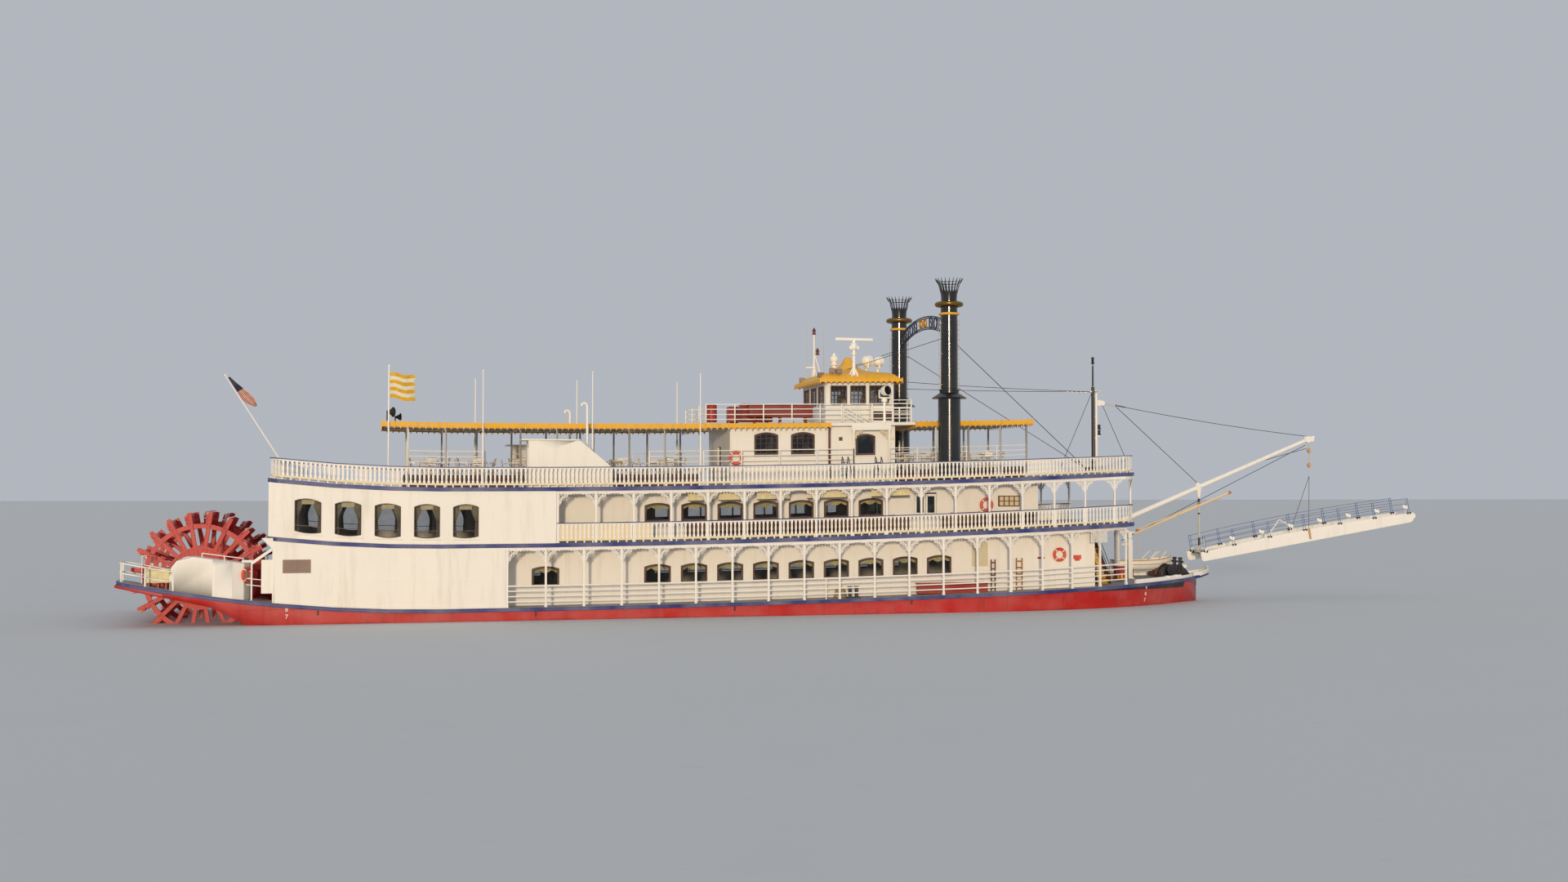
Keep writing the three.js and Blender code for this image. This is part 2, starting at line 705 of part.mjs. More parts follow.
const secondFloor = secondDeckZ + gap;
const secondCeiling = topDeckZ - upperSheet - gap;
const secondEnds = upperEdge(0.1);
const secondRailPath = [...alongEdge(secondEnds.slice(0, -4), saloonStepX + gap, 22.0), ...secondEnds.slice(-4)];
const secondHeader = [secondCeiling - secondFloor - header, secondCeiling - secondFloor];
placeBothSides('second_railing', railing(secondRailPath, secondFloor, [[0, 1.0], secondHeader], bay), paint.white);

// Upper decks
place('second_deck', deckSheetOf(upperEdge(), secondDeckZ - upperSheet, secondDeckZ), paint.navy);
place('top_deck', deckSheetOf(upperEdge(), topDeckZ - upperSheet, topDeckZ), paint.navy);

// Saloon on the second deck, with a tall-windowed stern cabin
const tallWindows = { first: -20.4, pitch: 1.85, count: 5, sill: 4.06, width: 1.2, height: 1.64, rise: 0.14, dip: 0.08 };
const saloonWindows = { first: -3.3, pitch: 1.893, count: 7, sill: 4.75, width: 1.25, height: 0.88, rise: 0.12 };
const saloonDoor = { centre: 11.1, leaf: 0.62, height: 2.0, sheet: 0.07, clear: 0.014 };
const sternSide = sideWall(
  saloonAftX + wallSheet + gap,
  saloonStepX,
  ...closedWall,
  secondFloor,
  secondCeiling,
  windowRow(tallWindows),
);
const sternReturn = crossPlate(
  outline(rectangle(-closedHalf, -cabinHalf + wallSheet, secondFloor, secondCeiling)),
  saloonStepX - wallSheet,
  saloonStepX,
  sheered,
);
placeBothSides('stern_cabin', joined(sternSide, sternReturn), paint.white);
const sternWindows = { first: -3.3, pitch: 3.3, count: 3, sill: 4.06, width: 1.2, height: 1.64, rise: 0.14, dip: 0.08 };
place(
  'stern_cabin_wall',
  crossPlate(
    outline(rectangle(-closedHalf, closedHalf, secondFloor, secondCeiling), windowRow(sternWindows)),
    saloonAftX,
    saloonAftX + wallSheet,
    sheered,
  ),
  paint.white,
);
const doorWay = rectangle(
  saloonDoor.centre - saloonDoor.leaf,
  saloonDoor.centre + saloonDoor.leaf,
  secondFloor + 0.1,
  secondFloor + 0.1 + saloonDoor.height,
);
const saloonSide = sideWall(
  saloonStepX + gap,
  saloonFrontX - wallSheet - gap,
  ...cabinWall,
  secondFloor,
  secondCeiling,
  [...windowRow(saloonWindows), doorWay],
);
placeBothSides('saloon', saloonSide, paint.white);
place(
  'saloon_front',
  crossPlate(
    outline(rectangle(-cabinHalf, cabinHalf, secondFloor, secondCeiling), [
      rectangle(-0.8, 0.8, secondFloor + 0.12, secondFloor + 2.1),
      ...[-2.6, 2.6].map((y) => windowOutline(y, saloonWindows.sill, saloonWindows.width, 0.88, 0.12)),
    ]),
    saloonFrontX - wallSheet,
    saloonFrontX,
    sheered,
  ),
  paint.white,
);

// Saloon doors: two leaves a side, hinged at the outer edges of the doorway and opening outwards.
// The knuckles of the hinges reach the door posts.
const knuckle = { radius: saloonDoor.clear - gap, height: 0.12, heights: [0.25, 1.55] };
for (const [end, way] of [['aft', -1], ['forward', 1]]) {
  const hingeX = saloonDoor.centre + way * (saloonDoor.leaf - saloonDoor.clear);
  const meetX = saloonDoor.centre + way * (saloonDoor.clear / 2);
  const lift = sheerAt(saloonDoor.centre, secondDeckZ);
  const low = secondFloor + 0.1 + lift + 0.03;
  const panel = block(
    Math.min(hingeX, meetX),
    Math.max(hingeX, meetX),
    -cabinHalf,
    -cabinHalf + saloonDoor.sheet,
    low,
    low + saloonDoor.height - 0.1,
  );
  const knuckles = knuckle.heights.map((up) => rod(
    [hingeX, -cabinHalf, low + up],
    [hingeX, -cabinHalf, low + up + knuckle.height],
    knuckle.radius,
    12,
  ));
  placeBothSides(`saloon_door_${end}`, joined(panel, ...knuckles), paint.white);
}

// Top deck: a raised floor under each canopy, balustrade, stair casings, canopy, texas
const topFloor = topDeckZ + gap;
const raisedFloor = { half: 2.8, top: 7.15 };
// columns: name, aft end, forward end
for (const [name, aft, front] of [['aft', -15.9, -0.7], ['forward', 10.1, 17.3]]) {
  const block = longBlock(aft, front, -raisedFloor.half, raisedFloor.half, topFloor, raisedFloor.top);
  place(`raised_floor_${name}`, block, paint.brown);
}
const topEdge = upperEdge(0.1);
const topRailPath = [
  [topEdge[0][0], -gap],
  ...topEdge,
  [topEdge[topEdge.length - 1][0], -gap],
];
placeBothSides('top_balustrade', barAlong(topRailPath, 0, 0.07, topFloor, topFloor + 1.0), paint.white);

const stairHood = outline([[-9.95, topFloor], [-9.95, 8.88], [-7.45, 8.88], [-5.75, 7.45], [-5.75, topFloor]]);
const stairWell = outline([
  [-9.83, topFloor - 1], [-9.83, 8.76], [-7.5, 8.76], [-5.87, 7.38], [-5.87, topFloor - 1],
]);
const stairDoor = sheered(block(-10.1, -9.7, -5.3, -4.5, topFloor + 0.06, topFloor + 1.95));
const hood = cut(
  sidePlate(stairHood, -5.6, -4.2, sheered),
  sidePlate(stairWell, -5.48, -4.32, sheered),
  stairDoor,
);
placeBothSides('stair_casing', hood, paint.white);

function canopyRoof(x0, x1, posts) {
  const fringe = 0.26;
  const board = 0.05;
  const roof = cut(
    longBlock(x0, x1, -canopyHalf, canopyHalf, roofZ - fringe + roofSheet, roofZ + roofSheet),
    longBlock(x0 + board, x1 - board, -canopyHalf + board, canopyHalf - board, roofZ - 1, roofZ),
  );
  const postHalf = 0.045;
  const legs = posts.flatMap((x) => [-1, 1].map((side) => block(
    x - postHalf,
    x + postHalf,
    side * canopyPostY - postHalf,
    side * canopyPostY + postHalf,
    topFloor,
    roofZ + 0.02,
  )));
  return joined(roof, ...legs.map(sheered));
}
const canopyPosts = Array.from({ length: 9 }, (unused, i) => -15.72 + 1.863 * i);
place('canopy_aft', canopyRoof(-17, -0.65, canopyPosts), paint.yellow);
place('canopy_forward', canopyRoof(10.95, 17.7, [12.2, 14.07, 15.93, 17.45]), paint.yellow);

const texasWindows = { first: 2.76, pitch: 2.0, count: 2, sill: 8.15, width: 1.2, height: 1.12, rise: 0.14 };
const texasTop = roofZ - gap;
const texasHoles = [...windowRow(texasWindows), windowOutline(8.23, 8.05, 1.0, 1.08, 0.14)];
const texasSide = sideWall(
  texas.aft,
  texas.front - wallSheet - gap,
  -texas.half,
  -texas.half + wallSheet,
  topFloor,
  texasTop,
  texasHoles,
);
const texasEnd = (x) => crossPlate(
  outline(
    rectangle(-texas.half, texas.half - wallSheet - gap, topFloor, texasTop),
    [rectangle(-0.45, 0.45, topFloor + 0.1, topFloor + 2.1)],
  ),
  x,
  x + wallSheet,
  sheered,
);
place('texas_starboard', joined(texasSide, texasEnd(texas.aft)), paint.white);
const texasPortSide = sideWall(
  texas.aft,
  texas.front,
  texas.half - wallSheet,
  texas.half,
  topFloor,
  texasTop,
  texasHoles,
);
const texasFront = crossPlate(
  outline(rectangle(-texas.half, texas.half, topFloor, texasTop), [
    windowOutline(-1.3, 8.15, 1.2, 1.12, 0.14), windowOutline(1.3, 8.15, 1.2, 1.12, 0.14),
  ]),
  texas.front - wallSheet,
  texas.front,
  sheered,
);
place('texas_port', joined(texasPortSide, texasFront), paint.white);
place('texas_roof', longBlock(-0.6, 10.9, -canopyHalf, canopyHalf, roofZ, roofZ + roofSheet), paint.white);

// Railing round the texas roof, and the pilothouse on it
const roofFloor = roofZ + roofSheet + gap;
const roofRailPath = [[10.8, 2.9], [-0.5, 2.9], [-0.5, -2.9], [10.8, -2.9]];
place('roof_railing', railing(roofRailPath, roofFloor, [[0.5, 0.55], [1.0, 1.05]], 2.4, 0.05, 0.07), paint.white);

const pilotTop = pilot.top - gap;
// columns: window's aft edge, forward edge
const pilotPanes = [[6.44, 7.31], [7.54, 8.37], [8.61, 9.67]];
const pilotHoles = pilotPanes.map(([aft, front]) => rectangle(aft, front, 10.82, 11.8));
const pilotAcross = [-1.55, 0, 1.55].map((y) => rectangle(y - 0.55, y + 0.55, 10.82, 11.8));
const pilotStarboard = sideWall(
  pilot.aft,
  pilot.front - wallSheet - gap,
  -pilot.half,
  -pilot.half + wallSheet,
  roofFloor,
  pilotTop,
  pilotHoles,
);
const pilotAft = crossPlate(
  outline(rectangle(-pilot.half, pilot.half - wallSheet - gap, roofFloor, pilotTop), pilotAcross),
  pilot.aft,
  pilot.aft + wallSheet,
  sheered,
);
place('pilothouse_starboard', joined(pilotStarboard, pilotAft), paint.white);
const pilotPort = sideWall(
  pilot.aft,
  pilot.front,
  pilot.half - wallSheet,
  pilot.half,
  roofFloor,
  pilotTop,
  pilotHoles,
);
const pilotFront = crossPlate(
  outline(rectangle(-pilot.half, pilot.half, roofFloor, pilotTop), pilotAcross),
  pilot.front - wallSheet,
  pilot.front,
  sheered,
);
place('pilothouse_port', joined(pilotPort, pilotFront), paint.white);

// the bell roof. columns: share of the eave's width, share of the rise
const bell = [[1, 0], [1, 0.07], [0.93, 0.2], [0.8, 0.33], [0.6, 0.42], [0.38, 0.5], [0.2, 0.66], [0.08, 1]];
const roofCentre = (pilot.aft + pilot.front) / 2;
const radarMast = { x: 7.72, y: -2.42, foot: 12.38, top: 14.36, radius: 0.1 };
const bellRoof = ringLoft(bell.map(([share, up]) => {
  const length = (pilot.front - pilot.aft) / 2 + pilot.overhang;
  const width = pilot.half + pilot.overhang;
  const corner = 0.25 * share;
  const ring = [[1, 1, 0], [-1, 1, 1], [-1, -1, 2], [1, -1, 3]].flatMap(([sx, sy, quarter]) => (
    cornerArc(
      sx * (length * share - corner),
      sy * (width * share - corner),
      corner,
      (quarter * Math.PI) / 2,
      ((quarter + 1) * Math.PI) / 2,
      2,
    )
  ));
  return ring.map(([x, y]) => [roofCentre + x, y, pilot.top + up * pilot.rise]);
}));
const radarRod = (low, high, radius) => (
  rod([radarMast.x, radarMast.y, low], [radarMast.x, radarMast.y, high], radius, 12)
);
place(
  'pilothouse_roof',
  joined(
    sheered(bellRoof),
    radarRod(radarMast.foot, radarMast.top, radarMast.radius),
    radarRod(radarMast.top - 0.35, radarMast.top, 0.22),
  ),
  paint.yellow,
);

// Radar scanner on its pedestal
const radarBar = { length: 2.1, width: 0.16, height: 0.1 };
const radarLow = radarMast.top + gap;
const scannerFoot = radarRod(radarLow, radarLow + 0.15, 0.1);
const scannerBar = block(
  radarMast.x - radarBar.length / 2,
  radarMast.x + radarBar.length / 2,
  radarMast.y - radarBar.width / 2,
  radarMast.y + radarBar.width / 2,
  radarLow + 0.12,
  radarLow + 0.12 + radarBar.height,
);
place('radar_scanner', joined(scannerFoot, scannerBar), paint.white);

// Stacks: a wide foot, a cone flange, the tall barrel, a ring, a torus and a flared crown
function stackProfile() {
  const foot = standingOn(topDeckZ, stack.x, stack.lower);
  const ringOut = stack.upper + 0.1;
  const torus = { radius: 0.66, tube: 0.13 };
  const torusArc = cornerArc(torus.radius, stack.torusZ, torus.tube, -Math.PI / 2, Math.PI / 2, 4);
  const crownFoot = stack.torusZ + 0.25;
  return [
    [0, foot], [stack.lower, foot], [stack.lower, stack.flangeZ - 0.1], [0.95, stack.flangeZ - 0.1],
    [0.5, stack.flangeZ + 0.15], [stack.upper, stack.flangeZ + 0.25], [stack.upper, stack.ringZ - 0.1],
    [ringOut, stack.ringZ - 0.07], [ringOut, stack.ringZ + 0.07], [stack.upper, stack.ringZ + 0.1],
    [stack.upper, stack.torusZ - torus.tube], ...torusArc, [stack.upper - 0.02, stack.torusZ + torus.tube],
    [stack.upper - 0.02, crownFoot], [0.5, crownFoot + 0.5], [0.62, stack.tipZ - 0.3], [0.79, stack.tipZ],
    [0.74, stack.tipZ], [0.55, stack.tipZ - 0.35], [0.4, crownFoot + 0.3], [0, crownFoot + 0.2],
  ];
}
function stackSolid(side) {
  const profile = stackProfile().map(([r, z]) => new THREE.Vector2(r, z));
  const turned = new THREE.LatheGeometry(profile, 16).rotateX(Math.PI / 2);
  return turned.translate(stack.x, side * stack.y, 0);
}
place('stack_starboard', stackSolid(-1), paint.black);
place('stack_port', stackSolid(1), paint.black);

// Iron arch between the stacks. columns: height at the stack, height at the crown
const archBands = { outer: [15.55, 16.15], inner: [14.7, 15.35] };
const archHalf = stack.y - stack.upper - gap;
const archSteps = 12;
const archBar = 0.09;
const archLine = ([springing, crown], drop, from, to, steps) => Array.from({ length: steps + 1 }, (unused, i) => {
  const y = from + ((to - from) * i) / steps;
  return [y, crown - (crown - springing) * (y / archHalf) ** 2 + drop];
});
const archOutline = [
  ...archLine(archBands.inner, 0, -archHalf, archHalf, archSteps),
  ...archLine(archBands.outer, 0, archHalf, -archHalf, archSteps),
];
const archPanels = 6;
const archHoles = Array.from({ length: archPanels }, (unused, i) => {
  const width = (2 * archHalf - archBar) / archPanels;
  const from = -archHalf + archBar + i * width;
  const to = -archHalf + (i + 1) * width;
  return [
    ...archLine(archBands.inner, archBar, from, to, 2),
    ...archLine(archBands.outer, -archBar, to, from, 2),
  ];
});
place('stack_arch', crossPlate(outline(archOutline, archHoles), stack.x - 0.04, stack.x + 0.04), paint.black);

// Foremast, and the stays from the stacks to its foot
const mast = { x: 22.84, radius: 0.11, foot: 0.17, armZ: 12.09, top: 14.11 };
const mastFootZ = standingOn(topDeckZ, mast.x, mast.foot);
place(
  'foremast',
  joined(
    rod([mast.x, 0, mastFootZ], [mast.x, 0, mast.top], mast.radius, 10, 0.05),
    rod([mast.x, 0, mastFootZ], [mast.x, 0, mastFootZ + 0.12], mast.foot, 10),
    rod([mast.x, -0.9, mast.armZ], [mast.x, 0.9, mast.armZ], 0.04, 6),
  ),
  paint.white,
);
const stay = { radius: 0.018, topZ: 14.3, footX: 22.3 };
const stayFootZ = standingOn(topDeckZ, stay.footX, 0.06);
const stays = [-1, 1].map((side) => {
  const top = new THREE.Vector3(stack.x, side * stack.y, stay.topZ);
  const foot = new THREE.Vector3(stay.footX, 0, stayFootZ + 0.25);
  const way = foot.clone().sub(top).normalize();
  top.addScaledVector(way, (stack.upper + gap + stay.radius * Math.abs(way.z)) / Math.hypot(way.x, way.y));
  return rod(top.toArray(), foot.toArray(), stay.radius, 6);
});
place(
  'stack_stays',
  joined(...stays, rod([stay.footX, 0, stayFootZ], [stay.footX, 0, stayFootZ + 0.35], 0.06, 8)),
  paint.steel,
);

// Kingpost ahead of the second deck, with the boom's heel on it and a lower post tied to it
const kingpost = { radius: 0.16 };
const jibPost = { x: 24.98, radius: 0.11, top: 3.6, tieZ: 3.3, tieHalf: 0.05 };
const jibPostFoot = standingOn(mainDeckZ, jibPost.x, jibPost.radius);
const kingpostFoot = standingOn(mainDeckZ, boomHeel.x, 0.35);
const heelLow = boomHeel.z - 0.2;
place(
  'kingpost',
  joined(
    rod([boomHeel.x, 0, kingpostFoot], [boomHeel.x, 0, heelLow - gap], kingpost.radius, 16),
    rod([boomHeel.x, 0, kingpostFoot], [boomHeel.x, 0, kingpostFoot + 0.1], 0.35, 16),
    rod([jibPost.x, 0, jibPostFoot], [jibPost.x, 0, jibPost.top], jibPost.radius, 12),
    block(
      boomHeel.x,
      jibPost.x,
      -jibPost.tieHalf,
      jibPost.tieHalf,
      jibPost.tieZ - jibPost.tieHalf,
      jibPost.tieZ + jibPost.tieHalf,
    ),
  ),
  paint.white,
);

// Boom and its pendant, which carries the landing stage's inner end
const boomAt = (x) => boomHeel.z + ((boomTip.z - boomHeel.z) * (x - boomHeel.x)) / (boomTip.x - boomHeel.x);
const stageAt = (along, up) => [
  stage.x + along * Math.cos(stage.slope) - up * Math.sin(stage.slope),
  stage.z + along * Math.sin(stage.slope) + up * Math.cos(stage.slope),
];
const [pinX, pinZ] = stageAt(stagePin.along, stagePin.up);
const pendant = { radius: 0.055, eye: 0.16, eyeHalf: 0.1 };
const collarZ = boomAt(pinX) - boomRadius - 0.25;
place(
  'boom',
  joined(
    rod([boomHeel.x, 0, boomHeel.z], [boomTip.x, 0, boomTip.z], boomRadius + 0.02, 12, boomRadius - 0.02),
    rod([boomHeel.x, 0, heelLow], [boomHeel.x, 0, boomHeel.z + 0.2], 0.22, 16),
    rod([pinX, 0, collarZ], [pinX, 0, boomAt(pinX)], 0.09, 10, 0.16),
    rod([boomTip.x - 0.15, -0.16, boomTip.z - 0.05], [boomTip.x - 0.15, 0.16, boomTip.z - 0.05], 0.2, 12),
  ),
  paint.white,
);
const eyeHole = rod([pinX, -0.3, pinZ], [pinX, 0.3, pinZ], (stagePin.radius + gap) / Math.cos(Math.PI / 16), 16);
place(
  'pendant',
  cut(
    joined(
      rod([pinX, 0, pinZ + 0.1], [pinX, 0, collarZ - gap], pendant.radius, 10),
      rod([pinX, -pendant.eyeHalf, pinZ], [pinX, pendant.eyeHalf, pinZ], pendant.eye, 16),
    ),
    eyeHole,
  ),
  paint.white,
);

// Landing stage: two girders with an arched top, a walkway between them and the hinge tube
const girderSteps = 8;
const girder = [
  [0, 0.12], [0.12, 0], [stage.length - 0.3, 0], [stage.length, 0.25],
  ...Array.from({ length: girderSteps + 1 }, (unused, i) => {
    const t = 1 - (2 * i) / girderSteps;
    return [(stage.length * (1 + t)) / 2, stage.endDepth + (stage.midDepth - stage.endDepth) * (1 - t * t)];
  }),
];
const girderSheet = 0.12;
const lug = { half: 0.1, top: stagePin.up + 0.1 };
const stageShape = joined(
  sidePlate(outline(girder), -stage.half, -stage.half + girderSheet),
  sidePlate(outline(girder), stage.half - girderSheet, stage.half),
  block(0.2, stage.length - 0.2, -stage.half + 0.05, stage.half - 0.05, 0.34, 0.42),
  block(stagePin.along - lug.half, stagePin.along + lug.half, -stage.half, -stage.half + girderSheet, 0.3, lug.top),
  block(stagePin.along - lug.half, stagePin.along + lug.half, stage.half - girderSheet, stage.half, 0.3, lug.top),
  rod(
    [stagePin.along, -stage.half + 0.05, stagePin.up],
    [stagePin.along, stage.half - 0.05, stagePin.up],
    stagePin.radius,
    16,
  ),
);
place('landing_stage', stageShape.rotateY(-stage.slope).translate(stage.x, 0, stage.z), paint.white);

// Bow: bitts on a plate with a windlass abaft them, and a skiff on the foredeck
const bitts = { x: 28.0, y: 0.35 };
const bittsZ = standingOn(mainDeckZ, bitts.x, 0.2);
const windlass = { x: 27.25, y: -0.42, half: 0.52, radius: 0.3, axleZ: 0.36 };
place(
  'bow_bitts',
  joined(
    block(bitts.x - 0.2, bitts.x + 0.2, -bitts.y - 0.25, bitts.y + 0.25, bittsZ, bittsZ + 0.08),
    block(
      windlass.x - windlass.radius,
      bitts.x,
      windlass.y - windlass.half,
      windlass.y + windlass.half,
      bittsZ,
      bittsZ + 0.08,
    ),
    block(
      windlass.x - 0.2,
      windlass.x + 0.2,
      windlass.y - windlass.half + 0.1,
      windlass.y + windlass.half - 0.1,
      bittsZ,
      bittsZ + windlass.axleZ,
    ),
    rod(
      [windlass.x, windlass.y - windlass.half, bittsZ + windlass.axleZ],
      [windlass.x, windlass.y + windlass.half, bittsZ + windlass.axleZ],
      windlass.radius,
      14,
    ),
    rod([bitts.x, -bitts.y, bittsZ], [bitts.x, -bitts.y, bittsZ + 0.62], 0.12, 12),
    rod([bitts.x, bitts.y, bittsZ], [bitts.x, bitts.y, bittsZ + 0.62], 0.12, 12),
  ),
  paint.black,
);
const skiff = { x: 26.2, y: 0.85, length: 3.6, half: 0.65, height: 0.6, lift: 0.3 };
const skiffZ = standingOn(mainDeckZ, skiff.x, skiff.length / 2) + skiff.lift;
const skiffWall = 0.06;
// columns: share of the length, share of the width, rise of the bottom
const skiffSections = [[-0.5, 0.75, 0.04], [-0.2, 1, 0], [0.2, 0.85, 0], [0.5, 0.12, 0.14]];
function skiffShell(inset, top) {
  return ringLoft(skiffSections.map(([at, share, rise]) => {
    const x = skiff.x + at * (skiff.length - 2 * inset);
    const half = Math.max(skiff.half * share - inset, 0.01);
    const low = skiffZ + rise + inset;
    return [[-half, top], [-half * 0.6, low], [half * 0.6, low], [half, top]].map(([y, z]) => [x, skiff.y + y, z]);
  }));
}
const skiffTop = skiffZ + skiff.height;
const skiffHollow = skiffShell(skiffWall, skiffTop + 0.01);
// the two chocks that the skiff stands in
const chock = { half: 0.2, width: 0.6, top: skiffZ + 0.05, places: [-1.0, 0.8] };
const chocks = chock.places.map((along) => block(
  skiff.x + along - chock.half,
  skiff.x + along + chock.half,
  skiff.y - chock.width / 2,
  skiff.y + chock.width / 2,
  standingOn(mainDeckZ, skiff.x + along, chock.half),
  chock.top,
));
place('skiff', joined(cut(skiffShell(0, skiffTop), skiffHollow), ...chocks), paint.white);

// Flagstaff leaning over the stern with its flag, and the flagpole beside the aft canopy with the other
const staff = { footX: -21.4, tipX: -24.72, tipZ: 12.21, radius: 0.045, lift: 0.05 };
const staffFootZ = standingOn(topDeckZ, staff.footX, 0.12);
const staffWay = new THREE.Vector2(staff.tipX - staff.footX, staff.tipZ - staffFootZ - staff.lift).normalize();
const staffSide = new THREE.Vector2(staffWay.y, -staffWay.x);
const onStaff = (down, out) => [
  staff.tipX - staffWay.x * down + staffSide.x * out,
  staff.tipZ - staffWay.y * down + staffSide.y * out,
];
const flagSheet = 0.03;
place(
  'stern_flag',
  joined(
    rod([staff.footX, 0, staffFootZ + staff.lift], [staff.tipX, 0, staff.tipZ], staff.radius),
    rod([staff.footX, 0, staffFootZ], [staff.footX, 0, staffFootZ + 0.12], 0.12, 8),
    sidePlate(
      outline([onStaff(1.5, 0), onStaff(2.1, 0.5), onStaff(1.3, 0.65), onStaff(0.15, 0)]),
      -flagSheet / 2,
      flagSheet / 2,
    ),
  ),
  paint.cloth,
);
const flagPole = { x: -16.68, y: -3.42, top: 12.57, radius: 0.045 };
const poleFootZ = standingOn(topDeckZ, flagPole.x, flagPole.radius);
const canopyFlag = { fly: 1.2, low: 11.0, high: 12.25 };
place(
  'canopy_flag',
  joined(
    rod([flagPole.x, flagPole.y, poleFootZ], [flagPole.x, flagPole.y, flagPole.top], flagPole.radius),
    block(
      flagPole.x,
      flagPole.x + flagPole.radius + canopyFlag.fly,
      flagPole.y - flagSheet / 2,
      flagPole.y + flagSheet / 2,
      canopyFlag.low,
      canopyFlag.high,
    ),
  ),
  paint.cloth,
);

// The model's own scale, with the flat of the bottom at Z = 0
const millimetres = 1000 * modelScale;
boat.scale.setScalar(millimetres);
boat.position.z = draft * millimetres;
boat.updateMatrixWorld(true);

export default boat;
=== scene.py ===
import bpy
import json
import random
from bisect import bisect_right
from math import atan2, cos, dist, pi, radians, sin, sqrt
from mathutils import Matrix, Vector

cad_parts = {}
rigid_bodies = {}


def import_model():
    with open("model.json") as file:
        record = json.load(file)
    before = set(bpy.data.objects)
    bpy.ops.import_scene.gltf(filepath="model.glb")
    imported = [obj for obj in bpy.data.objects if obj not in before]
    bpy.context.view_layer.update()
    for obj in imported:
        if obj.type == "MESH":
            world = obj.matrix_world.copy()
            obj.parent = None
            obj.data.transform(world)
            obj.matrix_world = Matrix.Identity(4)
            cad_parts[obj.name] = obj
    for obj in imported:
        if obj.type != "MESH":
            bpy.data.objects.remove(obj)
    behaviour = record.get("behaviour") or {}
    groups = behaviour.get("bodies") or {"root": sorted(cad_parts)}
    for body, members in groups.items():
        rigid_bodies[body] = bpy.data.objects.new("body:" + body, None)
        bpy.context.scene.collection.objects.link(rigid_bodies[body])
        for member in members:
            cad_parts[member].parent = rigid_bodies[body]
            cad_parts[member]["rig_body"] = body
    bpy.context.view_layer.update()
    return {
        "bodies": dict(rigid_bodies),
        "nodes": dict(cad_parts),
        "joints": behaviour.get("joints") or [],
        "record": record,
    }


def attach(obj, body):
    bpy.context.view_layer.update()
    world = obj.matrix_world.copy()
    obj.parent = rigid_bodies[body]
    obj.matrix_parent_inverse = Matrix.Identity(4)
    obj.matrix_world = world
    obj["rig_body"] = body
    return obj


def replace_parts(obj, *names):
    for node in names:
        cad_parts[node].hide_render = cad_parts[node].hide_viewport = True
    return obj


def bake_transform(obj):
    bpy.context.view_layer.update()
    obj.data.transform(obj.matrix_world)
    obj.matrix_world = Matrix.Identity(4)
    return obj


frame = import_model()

random.seed(7)

# Everything is modelled in the real boat's metres: x forward from mid-hull, y to port, z up from the
# waterline. launch() brings each finished piece into the half-size frame.
boat = {
    "scale": 0.5,
    "draft": 1.86,
    "lowestX": -14.2,
    "aftLift": 0.007,
    "forwardLift": [(0.63, 0.00045), (3.7, 0.00065), (6.5, 0.00062), (9.9, 0.00047)],  # height, lift
    "stations": [-29, -26.9, -24.7, -23.2, -21.9, -19.2, -16.6, -14.2, -9, -4, 1, 6, 11, 15, 18, 20.5,
                 23, 25.5, 27.5, 29.1],
    "bay": 1.866,
}
deck = {"main": 0.63, "second": 3.76, "top": 6.53, "roof": 9.62, "sheet": 0.2}
shipSides = ((-1, "starboard"), (1, "port"))
toFrame = Matrix.Diagonal((boat["scale"],) * 3 + (1,)) @ Matrix.Translation((0, 0, boat["draft"]))


# Small tools

def editAll():
    bpy.ops.object.mode_set(mode="EDIT")
    bpy.ops.mesh.select_all(action="SELECT")


def leaveEdit():
    bpy.ops.object.mode_set(mode="OBJECT")


def clearSelection():
    if bpy.context.object and bpy.context.object.mode != "OBJECT":
        leaveEdit()
    bpy.ops.object.select_all(action="DESELECT")


def pick(*objs):
    clearSelection()
    for obj in objs:
        obj.select_set(True)
    bpy.context.view_layer.objects.active = objs[0]


def fromTable(table, value):
    if value <= table[0][0]:
        return table[0][1]
    for (lowKey, low), (highKey, high) in zip(table, table[1:]):
        if value <= highKey:
            return low + (high - low) * (value - lowKey) / (highKey - lowKey)
    return table[-1][1]


def sheerAt(x, z):
    marks = boat["stations"]
    x = min(max(x, marks[0]), marks[-1])
    rate = fromTable(boat["forwardLift"], z)
    k = min(max(bisect_right(marks, x) - 1, 0), len(marks) - 2)
    ends = [(at - boat["lowestX"]) ** 2 * (boat["aftLift"] if at < boat["lowestX"] else rate)
            for at in marks[k:k + 2]]
    return ends[0] + (ends[1] - ends[0]) * (x - marks[k]) / (marks[k + 1] - marks[k])


def joined(objs):
    pick(*objs)
    if len(objs) > 1:
        bpy.ops.object.join()
    return bpy.context.object


def asOne(parts):  # a list of objects joined, or the one object as it is
    return joined(parts) if isinstance(parts, list) else parts


def lifted(parts):  # raises a piece drawn on level decks to the sheer
    obj = asOne(parts)
    for vertex in obj.data.vertices:
        vertex.co.z += sheerAt(vertex.co.x, vertex.co.z)
    return obj


def brick(low, high):
    clearSelection()
    bpy.ops.mesh.primitive_cube_add(size=1)
    obj = bpy.context.object
    size = [b - a for a, b in zip(low, high)]
    middle = [(a + b) / 2 for a, b in zip(low, high)]
    obj.data.transform(Matrix.Translation(middle) @ Matrix.Diagonal((*size, 1)))
    return obj


